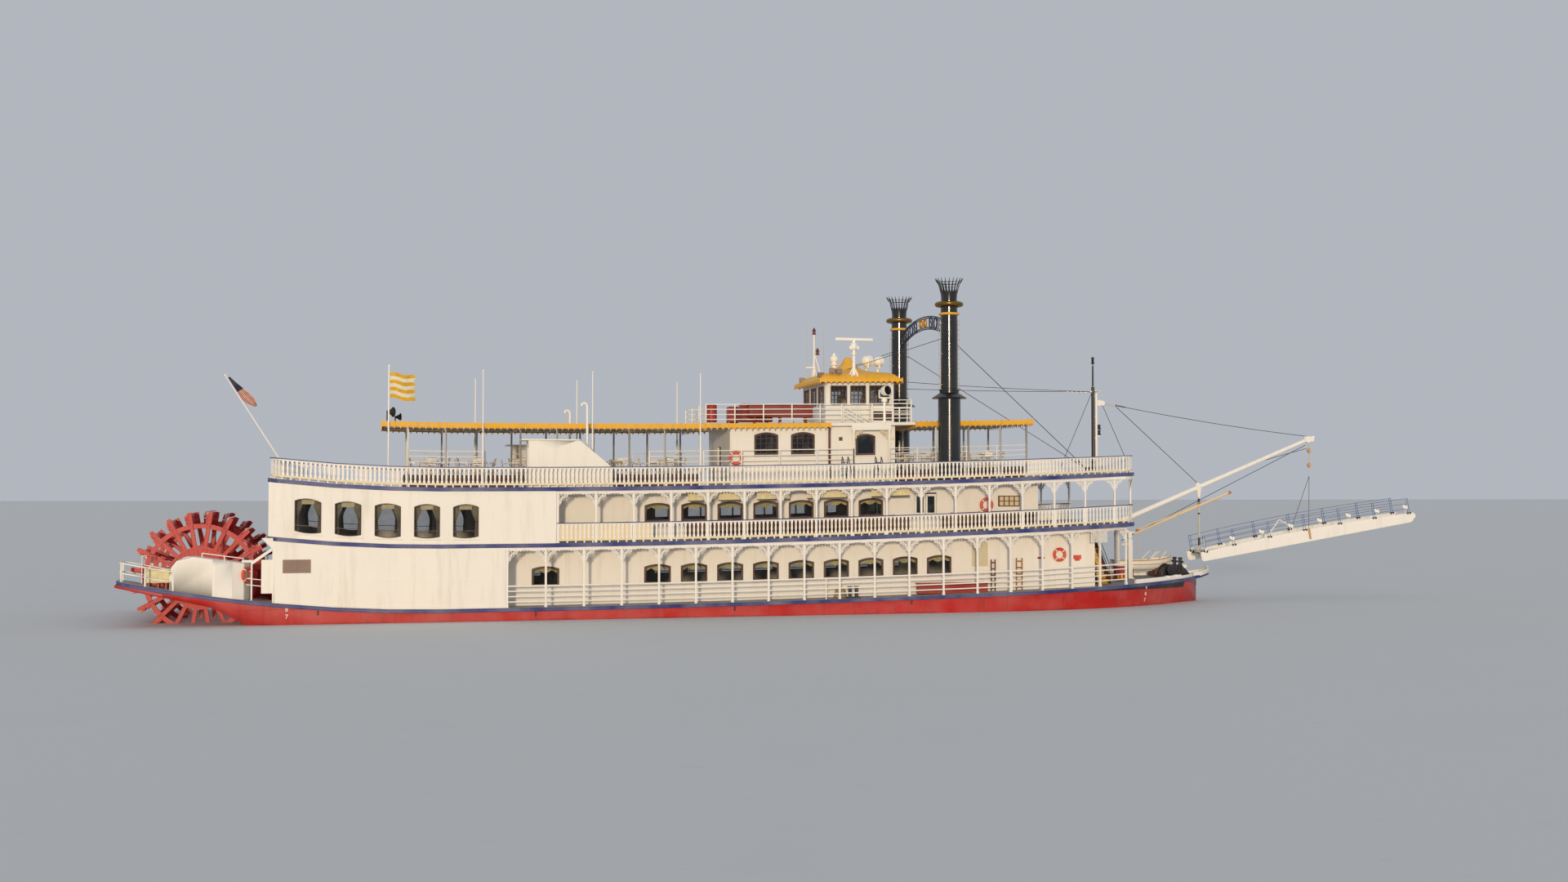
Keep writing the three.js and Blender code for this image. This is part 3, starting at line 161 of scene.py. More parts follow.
def barrel(foot, top, radius, topRadius=None, sides=16):
    clearSelection()
    foot, top = Vector(foot), Vector(top)
    endRadius = radius if topRadius is None else topRadius
    bpy.ops.mesh.primitive_cone_add(vertices=sides, radius1=radius, radius2=endRadius,
                                    depth=(top - foot).length)
    obj = bpy.context.object
    turn = (top - foot).to_track_quat("Z", "Y").to_matrix().to_4x4()
    obj.data.transform(Matrix.Translation((foot + top) / 2) @ turn)
    return obj


def ball(centre, size, segments=16):
    clearSelection()
    bpy.ops.mesh.primitive_uv_sphere_add(segments=segments, ring_count=segments // 2, radius=1)
    obj = bpy.context.object
    obj.data.transform(Matrix.Translation(centre) @ Matrix.Diagonal((*size, 1)))
    return obj


def hoop(centre, radius, thickness, turn=None, steps=24, sides=8):
    clearSelection()
    bpy.ops.mesh.primitive_torus_add(major_segments=steps, minor_segments=sides, major_radius=radius,
                                     minor_radius=thickness)
    obj = bpy.context.object
    obj.data.transform(Matrix.Translation(centre) @ (turn or Matrix()))
    return obj


def modified(obj, kind, **settings):
    pick(obj)
    modifier = obj.modifiers.new(kind.title(), kind)
    for key, value in settings.items():
        setattr(modifier, key, value)
    bpy.ops.object.modifier_apply(modifier=modifier.name)
    return obj


def bevelled(obj, width, segments=1):
    return modified(obj, "BEVEL", width=width, segments=segments, limit_method="ANGLE",
                    angle_limit=radians(40))


def timber(low, high, width, segments=1):  # a brick with its edges taken off
    return bevelled(brick(low, high), width, segments)


def brickOver(x, y, halfX, halfY, low, high):  # a brick that stands round a point in plan
    return brick((x - halfX, y - halfY, low), (x + halfX, y + halfY, high))


def timberOver(x, y, halfX, halfY, low, high, width, segments=1):
    return bevelled(brickOver(x, y, halfX, halfY, low, high), width, segments)


def upright(x, y, low, high, radius, topRadius=None, sides=16):
    return barrel((x, y, low), (x, y, high), radius, topRadius, sides)


def moveBy(x, y, z):
    return Matrix.Translation((x, y, z))


def turnBy(angle, axis):
    return Matrix.Rotation(angle, 4, axis)


def mended(parts):  # doubles merged and faces turned outwards
    obj = asOne(parts)
    pick(obj)
    editAll()
    bpy.ops.mesh.remove_doubles(threshold=1e-4)
    bpy.ops.mesh.normals_make_consistent(inside=False)
    leaveEdit()
    return obj


def spread(source, places):  # one mesh with a copy of the piece at each place
    copies = []
    for place in places:
        one = source.copy()
        one.data = source.data.copy()
        one.data.transform(place)
        bpy.context.collection.objects.link(one)
        copies.append(one)
    bpy.data.objects.remove(source)
    return joined(copies)


def bothSides(parts):  # the piece and its mirror image on the port side
    obj = asOne(parts)
    pick(obj)
    bpy.ops.object.duplicate()
    other = bpy.context.object
    other.data.transform(Matrix.Diagonal((1, -1, 1, 1)))
    editAll()
    bpy.ops.mesh.flip_normals()
    leaveEdit()
    return joined([obj, other])


def pipes(routes, radius, rounding=1, loop=False):  # rods along routes of points, as one mesh
    curve = bpy.data.curves.new("pipe", "CURVE")
    curve.dimensions = "3D"
    curve.bevel_depth = radius
    curve.bevel_resolution = rounding
    curve.use_fill_caps = not loop
    for route in routes:
        line = curve.splines.new("POLY")
        line.points.add(len(route) - 1)
        line.use_cyclic_u = loop
        for point, place in zip(line.points, route):
            point.co = (*place, 1)
    obj = bpy.data.objects.new("pipe", curve)
    bpy.context.collection.objects.link(obj)
    pick(obj)
    bpy.ops.object.convert(target="MESH")
    return bpy.context.object


def sawn(points, thickness, y=0.0):  # a flat board cut to an outline in x and z
    clearSelection()
    bpy.ops.mesh.primitive_circle_add(vertices=len(points), fill_type="NGON")
    obj = bpy.context.object
    for vertex, (x, z) in zip(obj.data.vertices, points):
        vertex.co = (x, y, z)
    return modified(obj, "SOLIDIFY", thickness=thickness, offset=0)


def turnedOn(profile, steps=32):  # spins a profile of radius and height round the z axis
    clearSelection()
    bpy.ops.mesh.primitive_plane_add(size=1)
    obj = bpy.context.object
    editAll()
    bpy.ops.mesh.merge(type="CENTER")
    bpy.ops.transform.translate(value=(profile[0][0], 0, profile[0][1]))
    for (r0, z0), (r1, z1) in zip(profile, profile[1:]):
        bpy.ops.mesh.extrude_region_move(TRANSFORM_OT_translate={"value": (r1 - r0, 0, z1 - z0)})
    bpy.ops.mesh.select_all(action="SELECT")
    bpy.ops.mesh.spin(steps=steps, angle=2 * pi, center=(0, 0, 0), axis=(0, 0, 1))
    leaveEdit()
    return mended(obj)


def ringed(rings, capped=True):  # a skin drawn from ring to ring, each extruded from the last
    count = len(rings[0])
    clearSelection()
    bpy.ops.mesh.primitive_circle_add(vertices=count, fill_type="NOTHING")
    obj = bpy.context.object
    for vertex, place in zip(obj.data.vertices, rings[0]):
        vertex.co = place
    editAll()
    leaveEdit()
    for done, (last, following) in enumerate(zip(rings, rings[1:]), 1):
        bpy.ops.object.mode_set(mode="EDIT")
        bpy.ops.mesh.extrude_region_move()
        leaveEdit()
        for vertex in obj.data.vertices[done * count:]:
            k = min(range(count), key=lambda index: (vertex.co - Vector(last[index])).length_squared)
            vertex.co = following[k]
    editAll()
    if capped:
        bpy.ops.mesh.fill_holes(sides=0)
    bpy.ops.mesh.normals_make_consistent(inside=False)
    leaveEdit()
    return obj


def band(path, z0, z1, thickness):  # an upright strip that follows a deck edge in plan
    route = withStations(path)
    curve = bpy.data.curves.new("band", "CURVE")
    curve.dimensions = "3D"
    line = curve.splines.new("POLY")
    line.points.add(len(route) - 1)
    for point, (x, y) in zip(line.points, route):
        point.co = (x, y, z0, 1)
    obj = bpy.data.objects.new("band", curve)
    bpy.context.collection.objects.link(obj)
    pick(obj)
    bpy.ops.object.convert(target="MESH")
    obj = bpy.context.object
    editAll()
    bpy.ops.mesh.extrude_region_move(TRANSFORM_OT_translate={"value": (0, 0, z1 - z0)})
    leaveEdit()
    return modified(lifted(obj), "SOLIDIFY", thickness=thickness, offset=0)


def launch(parts, name, finish, smooth=None, body="boat", slot=None):  # scaled, painted and on its body
    obj = asOne(parts)
    obj.name = obj.data.name = name
    obj.data.transform(toFrame)
    obj.data.materials.clear()
    obj.data.materials.append(finishes[finish])
    if smooth is not None:
        pick(obj)
        bpy.ops.object.shade_smooth_by_angle(angle=radians(smooth))
    if body:
        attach(obj, body)
    return obj


def launchPair(parts, name, finish, *more, **ways):
    return launch(bothSides(parts), name, finish, *more, **ways)


def coated(obj, finish):
    obj.data.materials.clear()
    obj.data.materials.append(finish)
    return obj


def reworked(node, finishes, choose, smooth=30):  # a CAD node's own shape, smoothed, in several paints
    source = frame["nodes"][node]
    obj = source.copy()
    obj.data = source.data.copy()
    obj.parent = None
    obj.matrix_world = Matrix()
    bpy.context.collection.objects.link(obj)
    pick(obj)
    editAll()
    bpy.ops.mesh.remove_doubles(threshold=1e-5)
    leaveEdit()
    obj.data.materials.clear()
    for finish in finishes:
        obj.data.materials.append(finish)
    for face in obj.data.polygons:
        x, y, z = face.center / boat["scale"]
        face.material_index = choose(Vector((x, y, z - boat["draft"])), face.normal)
    bpy.ops.object.shade_smooth_by_angle(angle=radians(smooth))
    obj.name = node + "_finished"
    obj.data.name = obj.name
    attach(obj, source["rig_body"])
    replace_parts(obj, node)
    return obj


# Deck edges, starboard side, from aft to bow

def arc(cx, cy, radius, start, end, steps=3):
    angles = [start + (end - start) * i / steps for i in range(steps + 1)]
    return [(cx + radius * cos(a), cy + radius * sin(a)) for a in angles]


def bowHalf(x, half, tip, start=14.0):
    t = min(max((x - start) / (tip - start), 0), 1)
    return half * (1 - t * t) ** 0.75


def mainEdge(inset=0.0):
    corner, half, tip = 0.7, 6.1 - inset, 29.25 - inset
    aft = arc(-29 + inset + corner, -half + corner, corner, pi, 1.5 * pi)
    curve = [(x, -bowHalf(x, half, tip)) for x in (14, 17, 20, 22.6, 25, 27, 28.3)]
    return aft + curve + [(29.1 - inset, -max(0.12, 0.3 - inset))]


def upperEdge(inset=0.0):
    corner, half = 1.0 - inset / 2, 6.0 - inset
    aftX, frontX = -22.3 + inset, 23.2 - inset
    curve = [(x, -bowHalf(x, half, 32)) for x in (14, 17, 20, 22.2 - inset)]
    last = -curve[-1][1]
    return (arc(aftX + corner, -half + corner, corner, pi, 1.5 * pi) + curve
            + arc(frontX - corner, -last + corner - 0.05, corner, -pi / 2.4, 0))


def withStations(path):
    route = [path[0]]
    for (x0, y0), (x1, y1) in zip(path, path[1:]):
        inside = [s for s in boat["stations"] if (s - x0) * (s - x1) < -1e-4]
        for s in sorted(inside, reverse=x1 < x0):
            route.append((s, y0 + (y1 - y0) * (s - x0) / (x1 - x0)))
        route.append((x1, y1))
    return route


def pathLength(path):
    return sum(dist(a, b) for a, b in zip(path, path[1:]))


def pathAt(path, along):  # place and heading at a distance along a path
    for a, b in zip(path, path[1:]):
        step = dist(a, b)
        if along <= step or (a, b) == (path[-2], path[-1]):
            t = along / step
            return a[0] + t * (b[0] - a[0]), a[1] + t * (b[1] - a[1]), atan2(b[1] - a[1], b[0] - a[0])
        along -= step


def placesAlong(path, pitch, margin=0.0):  # even places on level decks; the piece is lifted afterwards
    length = pathLength(path) - 2 * margin
    count = max(1, round(length / pitch))
    places = []
    for i in range(count + 1):
        x, y, heading = pathAt(path, margin + length * i / count)
        places.append(moveBy(x, y, 0) @ turnBy(heading, "Z"))
    return places


def between(edge, fromX, toX):  # the part of a deck edge between two stations
    side = edge[3:]
    inside = [p for p in side if fromX + 0.05 < p[0] < toX - 0.05]
    return [(fromX, fromTable(side, fromX))] + inside + [(toX, fromTable(side, toX))]


def routeAlong(path, z):
    return [(x, y, z + sheerAt(x, z)) for x, y in withStations(path)]


# Camera where the photographer stood, floor at the waterline, soft light from low on the left

view = {
    "place": (-8.565, -43.695, 4.073),
    "pitch": 0.0313,
    "yaw": -0.2419,
    "lens": 37.69,
    "floorZ": 0.93,
    "floorSize": 1200,
    "sky": (0.86, 0.91, 1.0, 1),
    "skyStrength": 0.52,
    "sunTurn": (84, 0, -18),  # degrees
    "sunStrength": 1.8,
    "sunColour": (1.0, 0.8, 0.56),
    "sunSoftness": 4,
    "exposure": 0.0,
}

bpy.ops.object.camera_add(location=view["place"], rotation=(pi / 2 + view["pitch"], 0, view["yaw"]))
camera = bpy.context.object
camera.data.lens = view["lens"]
camera.data.sensor_width = 36
camera.data.clip_end = 2000
bpy.context.scene.camera = camera

clearSelection()
bpy.ops.mesh.primitive_plane_add(size=view["floorSize"], location=(0, 0, view["floorZ"]))
floor = bpy.context.object
floor.name = "studio_floor"

bpy.ops.object.light_add(type="SUN", rotation=[radians(turn) for turn in view["sunTurn"]])
sun = bpy.context.object.data
sun.energy = view["sunStrength"]
sun.color = view["sunColour"]
sun.angle = radians(view["sunSoftness"])

world = bpy.data.worlds.new("studio")
bpy.context.scene.world = world
world.use_nodes = True
background = world.node_tree.nodes["Background"]
background.inputs["Color"].default_value = view["sky"]
background.inputs["Strength"].default_value = view["skyStrength"]
bpy.context.scene.view_settings.view_transform = "Standard"
bpy.context.scene.view_settings.exposure = view["exposure"]
print("camera, floor and light are set")


# Shared effects: each group gives colours, masks and heights, and every finish uses it with its own values

def newGroup(name, inputs, outputs):
    tree = bpy.data.node_groups.new(name, "ShaderNodeTree")
    for label, kind, value in inputs:
        socket = tree.interface.new_socket(name=label, in_out="INPUT", socket_type="NodeSocket" + kind)
        if value is not None:
            socket.default_value = value
    for label, kind in outputs:
        tree.interface.new_socket(name=label, in_out="OUTPUT", socket_type="NodeSocket" + kind)
    return tree, tree.nodes.new("NodeGroupInput"), tree.nodes.new("NodeGroupOutput")


def feed(tree, socket, value):  # a number or a colour is set, an output is linked
    if isinstance(value, (int, float, tuple)):
        socket.default_value = value
    elif value is not None:
        tree.links.new(value, socket)


def noiseNode(tree, vector, scale, detail=4.0, roughness=0.55):
    node = tree.nodes.new("ShaderNodeTexNoise")
    tree.links.new(vector, node.inputs["Vector"])
    feed(tree, node.inputs["Scale"], scale)
    node.inputs["Detail"].default_value = detail
    node.inputs["Roughness"].default_value = roughness
    return node.outputs["Fac"]


def rangeNode(tree, value, fromLow, fromHigh, toLow=0.0, toHigh=1.0):
    node = tree.nodes.new("ShaderNodeMapRange")
    tree.links.new(value, node.inputs["Value"])
    limits = {"From Min": fromLow, "From Max": fromHigh, "To Min": toLow, "To Max": toHigh}
    for label, value in limits.items():
        feed(tree, node.inputs[label], value)
    return node.outputs["Result"]


def mathNode(tree, kind, first, second=None):
    node = tree.nodes.new("ShaderNodeMath")
    node.operation = kind
    for socket, value in zip(node.inputs, (first, second)):
        feed(tree, socket, value)
    return node.outputs[0]


def mixNode(tree, amount, first, second, blend="MIX"):
    node = tree.nodes.new("ShaderNodeMix")
    node.data_type = "RGBA"
    node.blend_type = blend
    for socket, value in [(node.inputs[0], amount), (node.inputs[6], first), (node.inputs[7], second)]:
        feed(tree, socket, value)
    return node.outputs[2]


def stretched(tree, vector, scale):
    node = tree.nodes.new("ShaderNodeMapping")
    tree.links.new(vector, node.inputs["Vector"])
    node.inputs["Scale"].default_value = scale
    return node.outputs["Vector"]


def agedPaintGroup():  # old brushed paint: chalky patches, runs of grime and fine brush marks
    tree, given, out = newGroup(
        "agedPaint",
        [("Vector", "Vector", None), ("Paint", "Color", None), ("Grime", "Color", None),
         ("Chalk", "Float", 0.12), ("Runs", "Float", 0.2), ("Scale", "Float", 1.0),
         ("Gloss", "Float", 0.4)],
        [("Color", "Color"), ("Roughness", "Float"), ("Height", "Float")],
    )
    get = given.outputs
    patches = noiseNode(tree, get["Vector"], mathNode(tree, "MULTIPLY", get["Scale"], 1.3), 6)
    runs = noiseNode(tree, stretched(tree, get["Vector"], (7, 7, 0.7)), get["Scale"], 5, 0.65)
    fine = noiseNode(tree, get["Vector"], mathNode(tree, "MULTIPLY", get["Scale"], 38), 3)
    brush = noiseNode(tree, stretched(tree, get["Vector"], (6, 6, 60)), get["Scale"], 2)
    chalky = mathNode(tree, "MULTIPLY", rangeNode(tree, patches, 0.35, 0.7), get["Chalk"])
    dirty = mathNode(tree, "MULTIPLY", rangeNode(tree, runs, 0.52, 0.78), get["Runs"])
    faded = mixNode(tree, chalky, get["Paint"], (0.78, 0.76, 0.72, 1))
    soiled = mixNode(tree, dirty, faded, get["Grime"])
    speckle = mixNode(tree, rangeNode(tree, fine, 0.66, 0.74, 0, 0.22), soiled, get["Grime"])
    tree.links.new(speckle, out.inputs["Color"])
    rough = mathNode(tree, "ADD", get["Gloss"], rangeNode(tree, patches, 0.3, 0.75, -0.07, 0.14))
    tree.links.new(mathNode(tree, "ADD", rough, mathNode(tree, "MULTIPLY", dirty, 0.25)),
                   out.inputs["Roughness"])
    height = mathNode(tree, "ADD", mathNode(tree, "MULTIPLY", brush, 0.6),
                      mathNode(tree, "MULTIPLY", fine, 0.4))
    tree.links.new(height, out.inputs["Height"])
    return tree


def plateSeamsGroup():  # welded plates: thin raised seams and slightly hollow panels between them
    tree, given, out = newGroup(
        "plateSeams",
        [("Vector", "Vector", None), ("Length", "Float", 2.4), ("Height", "Float", 0.6)],
        [("Seam", "Float"), ("Height", "Float")],
    )
    get = given.outputs
    split = tree.nodes.new("ShaderNodeSeparateXYZ")
    tree.links.new(get["Vector"], split.inputs[0])
    flat = tree.nodes.new("ShaderNodeCombineXYZ")
    tree.links.new(split.outputs["X"], flat.inputs["X"])
    tree.links.new(mathNode(tree, "ADD", split.outputs["Z"],
                            mathNode(tree, "MULTIPLY", split.outputs["Y"], 0.2)), flat.inputs["Y"])
    plates = tree.nodes.new("ShaderNodeTexBrick")
    tree.links.new(flat.outputs[0], plates.inputs["Vector"])
    plates.inputs["Scale"].default_value = 1
    plates.inputs["Mortar Size"].default_value = 0.006
    plates.inputs["Mortar Smooth"].default_value = 0.6
    tree.links.new(get["Length"], plates.inputs["Brick Width"])
    tree.links.new(get["Height"], plates.inputs["Row Height"])
    dents = noiseNode(tree, get["Vector"], 2.2, 2)
    tree.links.new(plates.outputs["Fac"], out.inputs["Seam"])
    height = mathNode(tree, "ADD", mathNode(tree, "MULTIPLY", plates.outputs["Fac"], 0.5), dents)
    tree.links.new(height, out.inputs["Height"])
    return tree


def grainGroup():  # long wood grain with darker bands
    tree, given, out = newGroup("woodGrain",
                                [("Vector", "Vector", None), ("Light", "Color", None),
                                 ("Dark", "Color", None), ("Scale", "Float", 1.0)],
                                [("Color", "Color"), ("Height", "Float")])
    get = given.outputs
    lines = noiseNode(tree, stretched(tree, get["Vector"], (1.5, 26, 26)), get["Scale"], 6, 0.6)
    rings = noiseNode(tree, stretched(tree, get["Vector"], (0.6, 7, 7)), get["Scale"], 2)
    mask = rangeNode(tree, mathNode(tree, "ADD", mathNode(tree, "MULTIPLY", lines, 0.7),
                                    mathNode(tree, "MULTIPLY", rings, 0.5)), 0.42, 0.78)
    tree.links.new(mixNode(tree, mask, get["Light"], get["Dark"]), out.inputs["Color"])
    tree.links.new(lines, out.inputs["Height"])
    return tree


def weaveGroup():  # crossed threads with slubs and soft soiling
    tree, given, out = newGroup(
        "weave",
        [("Vector", "Vector", None), ("Cloth", "Color", None), ("Shadow", "Color", None),
         ("Threads", "Float", 260.0)],
        [("Color", "Color"), ("Roughness", "Float"), ("Height", "Float")],
    )
    get = given.outputs
    waves = []
    for direction in ("X", "Z"):
        wave = tree.nodes.new("ShaderNodeTexWave")
        wave.bands_direction = direction
        tree.links.new(get["Vector"], wave.inputs["Vector"])
        tree.links.new(get["Threads"], wave.inputs["Scale"])
        wave.inputs["Distortion"].default_value = 1.5
        waves.append(wave.outputs["Fac"])
    cross = mathNode(tree, "MULTIPLY", waves[0], waves[1])
    slubs = noiseNode(tree, get["Vector"], 9, 5)
    shadow = mathNode(tree, "MULTIPLY", rangeNode(tree, slubs, 0.35, 0.75), 0.45)
    tree.links.new(mixNode(tree, shadow, get["Cloth"], get["Shadow"]), out.inputs["Color"])
    tree.links.new(rangeNode(tree, slubs, 0.2, 0.8, 0.78, 0.95), out.inputs["Roughness"])
    tree.links.new(cross, out.inputs["Height"])
    return tree


groups = {"agedPaint": agedPaintGroup(), "plateSeams": plateSeamsGroup(), "woodGrain": grainGroup(),
          "weave": weaveGroup()}


def tint(code):  # a paint chart's colour code as linear light
    parts = [int(code[i:i + 2], 16) / 255 for i in (0, 2, 4)]
    return (*[c / 12.92 if c <= 0.04045 else ((c + 0.055) / 1.055) ** 2.4 for c in parts], 1)


def newFinish(name, metallic=0.0, coat=0.0, bump=0.004, strength=0.5):
    finish = bpy.data.materials.new(name)
    finish.use_nodes = True
    tree = finish.node_tree
    shader = tree.nodes["Principled BSDF"]
    shader.inputs["Metallic"].default_value = metallic
    shader.inputs["Coat Weight"].default_value = coat
    place = tree.nodes.new("ShaderNodeTexCoord").outputs["Object"]
    relief = tree.nodes.new("ShaderNodeBump")
    relief.inputs["Distance"].default_value = bump
    relief.inputs["Strength"].default_value = strength
    tree.links.new(relief.outputs["Normal"], shader.inputs["Normal"])
    return finish, tree, shader, place, relief


def useGroup(tree, name, vector, **values):
    node = tree.nodes.new("ShaderNodeGroup")
    node.node_tree = groups[name]
    tree.links.new(vector, node.inputs["Vector"])
    for label, value in values.items():
        feed(tree, node.inputs[label], value)
    return node.outputs


def painted(name, colour, grime="5a4a38", gloss=0.4, chalk=0.12, runs=0.2, scale=1.0, metallic=0.0,
            coat=0.0, bump=0.004):
    finish, tree, shader, place, relief = newFinish(name, metallic, coat, bump)
    aged = useGroup(tree, "agedPaint", place, Paint=tint(colour), Grime=tint(grime), Chalk=chalk, Runs=runs,
                    Scale=scale, Gloss=gloss)
    tree.links.new(aged["Color"], shader.inputs["Base Color"])
    tree.links.new(aged["Roughness"], shader.inputs["Roughness"])
    tree.links.new(aged["Height"], relief.inputs["Height"])
    return finish


def plated(name, colour, grime, gloss, chalk, runs, plate, waterLine=None):  # paint on welded plates
    finish, tree, shader, place, relief = newFinish(name, bump=0.006)
    seams = useGroup(tree, "plateSeams", place, Length=plate[0], Height=plate[1])
    aged = useGroup(tree, "agedPaint", place, Paint=tint(colour), Grime=tint(grime), Chalk=chalk, Runs=runs,
                    Scale=0.8, Gloss=gloss)
    colour = mixNode(tree, mathNode(tree, "MULTIPLY", seams["Seam"], 0.35), aged["Color"], tint(grime))
    if waterLine is not None:  # a wet dark band and weed at and below the water
        split = tree.nodes.new("ShaderNodeSeparateXYZ")
        tree.links.new(place, split.inputs[0])
        wander = mathNode(tree, "ADD", split.outputs["Z"],
                          mathNode(tree, "MULTIPLY", noiseNode(tree, place, 1.4, 5), 0.16))
        wet = rangeNode(tree, wander, waterLine["z"] + 0.12, waterLine["z"] + 0.02)
        colour = mixNode(tree, mathNode(tree, "MULTIPLY", wet, waterLine["share"]), colour,
                         tint(waterLine["weed"]))
    tree.links.new(colour, shader.inputs["Base Color"])
    tree.links.new(aged["Roughness"], shader.inputs["Roughness"])
    tree.links.new(mathNode(tree, "ADD", mathNode(tree, "MULTIPLY", aged["Height"], 0.3), seams["Height"]),
                   relief.inputs["Height"])
    return finish


def wooden(name, light, dark, gloss=0.5, scale=1.0):
    finish, tree, shader, place, relief = newFinish(name, bump=0.002)
    grain = useGroup(tree, "woodGrain", place, Light=tint(light), Dark=tint(dark), Scale=scale)
    tree.links.new(grain["Color"], shader.inputs["Base Color"])
    tree.links.new(rangeNode(tree, grain["Height"], 0.2, 0.8, gloss - 0.1, gloss + 0.15),
                   shader.inputs["Roughness"])
    tree.links.new(grain["Height"], relief.inputs["Height"])
    return finish


def woven(name, colour, shadow, threads=260.0, sheen=0.3):
    finish, tree, shader, place, relief = newFinish(name, bump=0.001, strength=0.35)
    shader.inputs["Sheen Weight"].default_value = sheen
    cloth = useGroup(tree, "weave", place, Cloth=tint(colour), Shadow=tint(shadow), Threads=threads)
    tree.links.new(cloth["Color"], shader.inputs["Base Color"])
    tree.links.new(cloth["Roughness"], shader.inputs["Roughness"])
    tree.links.new(cloth["Height"], relief.inputs["Height"])
    return finish


def glazed(name, colour, alpha):  # window glass with dust in the corners
    finish, tree, shader, place, relief = newFinish(name, bump=0.001, strength=0.15)
    dust = noiseNode(tree, place, 3.0, 6)
    tree.links.new(mixNode(tree, rangeNode(tree, dust, 0.5, 0.8, 0, 0.35), tint(colour), tint("8c8f8a")),
                   shader.inputs["Base Color"])
    tree.links.new(rangeNode(tree, dust, 0.4, 0.8, 0.04, 0.3), shader.inputs["Roughness"])
    tree.links.new(rangeNode(tree, dust, 0.4, 0.85, alpha, alpha + 0.12), shader.inputs["Alpha"])
    tree.links.new(dust, relief.inputs["Height"])
    shader.inputs["Coat Weight"].default_value = 0.3
    return finish


# columns: colour, grime, gloss, chalk, runs, scale
paints = {
    "guardBlue": ("24357a", "8a4030", 0.38, 0.2, 0.3),
    "deckGrey": ("8d8c86", "4a4640", 0.65, 0.3, 0.3, 0.7),
    "wheelRed": ("c2170d", "3a0a06", 0.35, 0.06, 0.45, 1.6),
    "houseWhite": ("f6f1e6", "a8947a", 0.45, 0.15, 0.22, 0.7),
    "railWhite": ("f8f4ec", "a08a70", 0.38, 0.1, 0.2, 1.4),
    "boardCream": ("efdfb8", "9c8560", 0.5, 0.15, 0.25),
    # brown for ceilings: painted shade on the undersides of decks, canopies and the pilothouse soffit
    "ceilingWhite": ("8a6450", "5a3c30", 0.6, 0.1, 0.15),
    "roofYellow": ("f2b40f", "8a5c10", 0.42, 0.1, 0.3),
    "stackBlack": ("0b0b0c", "3b2a20", 0.18, 0.02, 0.25, {"coat": 0.5}),
    "mastBlack": ("100c0c", "4a2018", 0.3, 0.03, 0.35, {"coat": 0.2}),
    "archBlue": ("101a3a", "2c2a30", 0.35, 0.05, 0.2),
    "gilt": ("d0a048", "5a3c14", 0.35, 0.05, 0.3, {"metallic": 0.6}),
    "wireGrey": ("3c3a40", "6a5c50", 0.5, 0.1, 0.3),
    "wireBlue": ("2b4b9a", "8a94a8", 0.4, 0.15, 0.3),
    "sparTan": ("e8d0a8", "8a6438", 0.45, 0.1, 0.3, 1.6),
    "jointOrange": ("c06a28", "5a3418", 0.6, 0.15, 0.4, 2.0),
    "blockTan": ("c8a070", "6a4a2c", 0.55, 0.15, 0.35, 2.0),
    "ironBlack": ("151517", "4a3a30", 0.45, 0.08, 0.3),
    "bronze": ("8a6a2c", "3a2b14", 0.32, 0.05, 0.4, {"metallic": 0.85}),
    "steelGrey": ("8b8d90", "4a3c30", 0.4, 0.05, 0.35, {"metallic": 0.7}),
    "engineGrey": ("6f7880", "2a2622", 0.45, 0.08, 0.4),
    "frameDark": ("4a2a1e", "6a5444", 0.4, 0.1, 0.2),
    "lanternRed": ("6e1c12", "2a0e08", 0.4, 0.05, 0.2),
    "boxRed": ("a3200f", "4c1208", 0.42, 0.1, 0.25),
    "lockerRed": ("8a1d0c", "3c1008", 0.45, 0.1, 0.25),
    "ringOrange": ("d8431a", "7a3010", 0.5, 0.15, 0.2),
    "pipeGrey": ("c9c6bc", "7a7266", 0.45, 0.1, 0.25),
    "plateGrey": ("8a6e62", "5c463c", 0.5, 0.15, 0.3),
    "lampWhite": ("fdf9ee", "c9bda4", 0.15, 0.02, 0.05, {"coat": 0.6}),
    "speakerBlack": ("101012", "2c2a2a", 0.7, 0.02, 0.1),
    "wainscotBrown": ("5b2c1c", "2c1610", 0.5, 0.12, 0.2),
    "skiffTan": ("c8a878", "7a6040", 0.5, 0.2, 0.2),
    "signGrey": ("d8cba8", "8a7a60", 0.6, 0.15, 0.25),
}
# columns: light, dark, gloss, scale
woods = {
    "benchWood": ("b98a50", "7c5228", 0.45, 2.0),
    "wallWood": ("8a4a22", "4c2410", 0.5, 1.6),
}
# columns: colour, shadow, threads, sheen
cloths = {
    "curtainBeige": ("b5ab90", "6e684f"),
    "blindCream": ("efe2b4", "b8a878", 180.0),
    "valanceYellow": ("e6dc9a", "a89c58", 180.0),
    "ropeTan": ("b39b74", "6b5636", 420.0),
    "flagBlue": ("1c2450", "10142c", 200.0),
    "flagRed": ("b8281c", "6c1410", 200.0),
    "flagWhite": ("f0e8d8", "b8a888", 200.0),
    "flagYellow": ("eab820", "9a7010", 200.0),
}
# columns: colour, alpha
glasses = {
    "glassDark": ("0c1116", 0.72),
    "glassClear": ("141b20", 0.14),
}
finishes = {"hullRed": plated("hullRed", "c01a10", "4a1008", 0.42, 0.1, 0.35, (3.2, 0.7),
                              {"z": 0.93, "share": 0.75, "weed": "3a140c"})}
for table, maker in ((paints, painted), (woods, wooden), (cloths, woven), (glasses, glazed)):
    for name, row in table.items():
        plain, options = [part for part in row if not isinstance(part, dict)], row[-1]
        finishes[name] = maker(name, *plain, **(options if isinstance(options, dict) else {}))
floorFinish = painted("studioFloor", "d8dad9", "c8c9c8", 0.75, 0.1, 0.1, 0.05, bump=0.001)
coated(floor, floorFinish)
print("finishes are mixed:", len(finishes))


# Hull, guard, decks and rudders

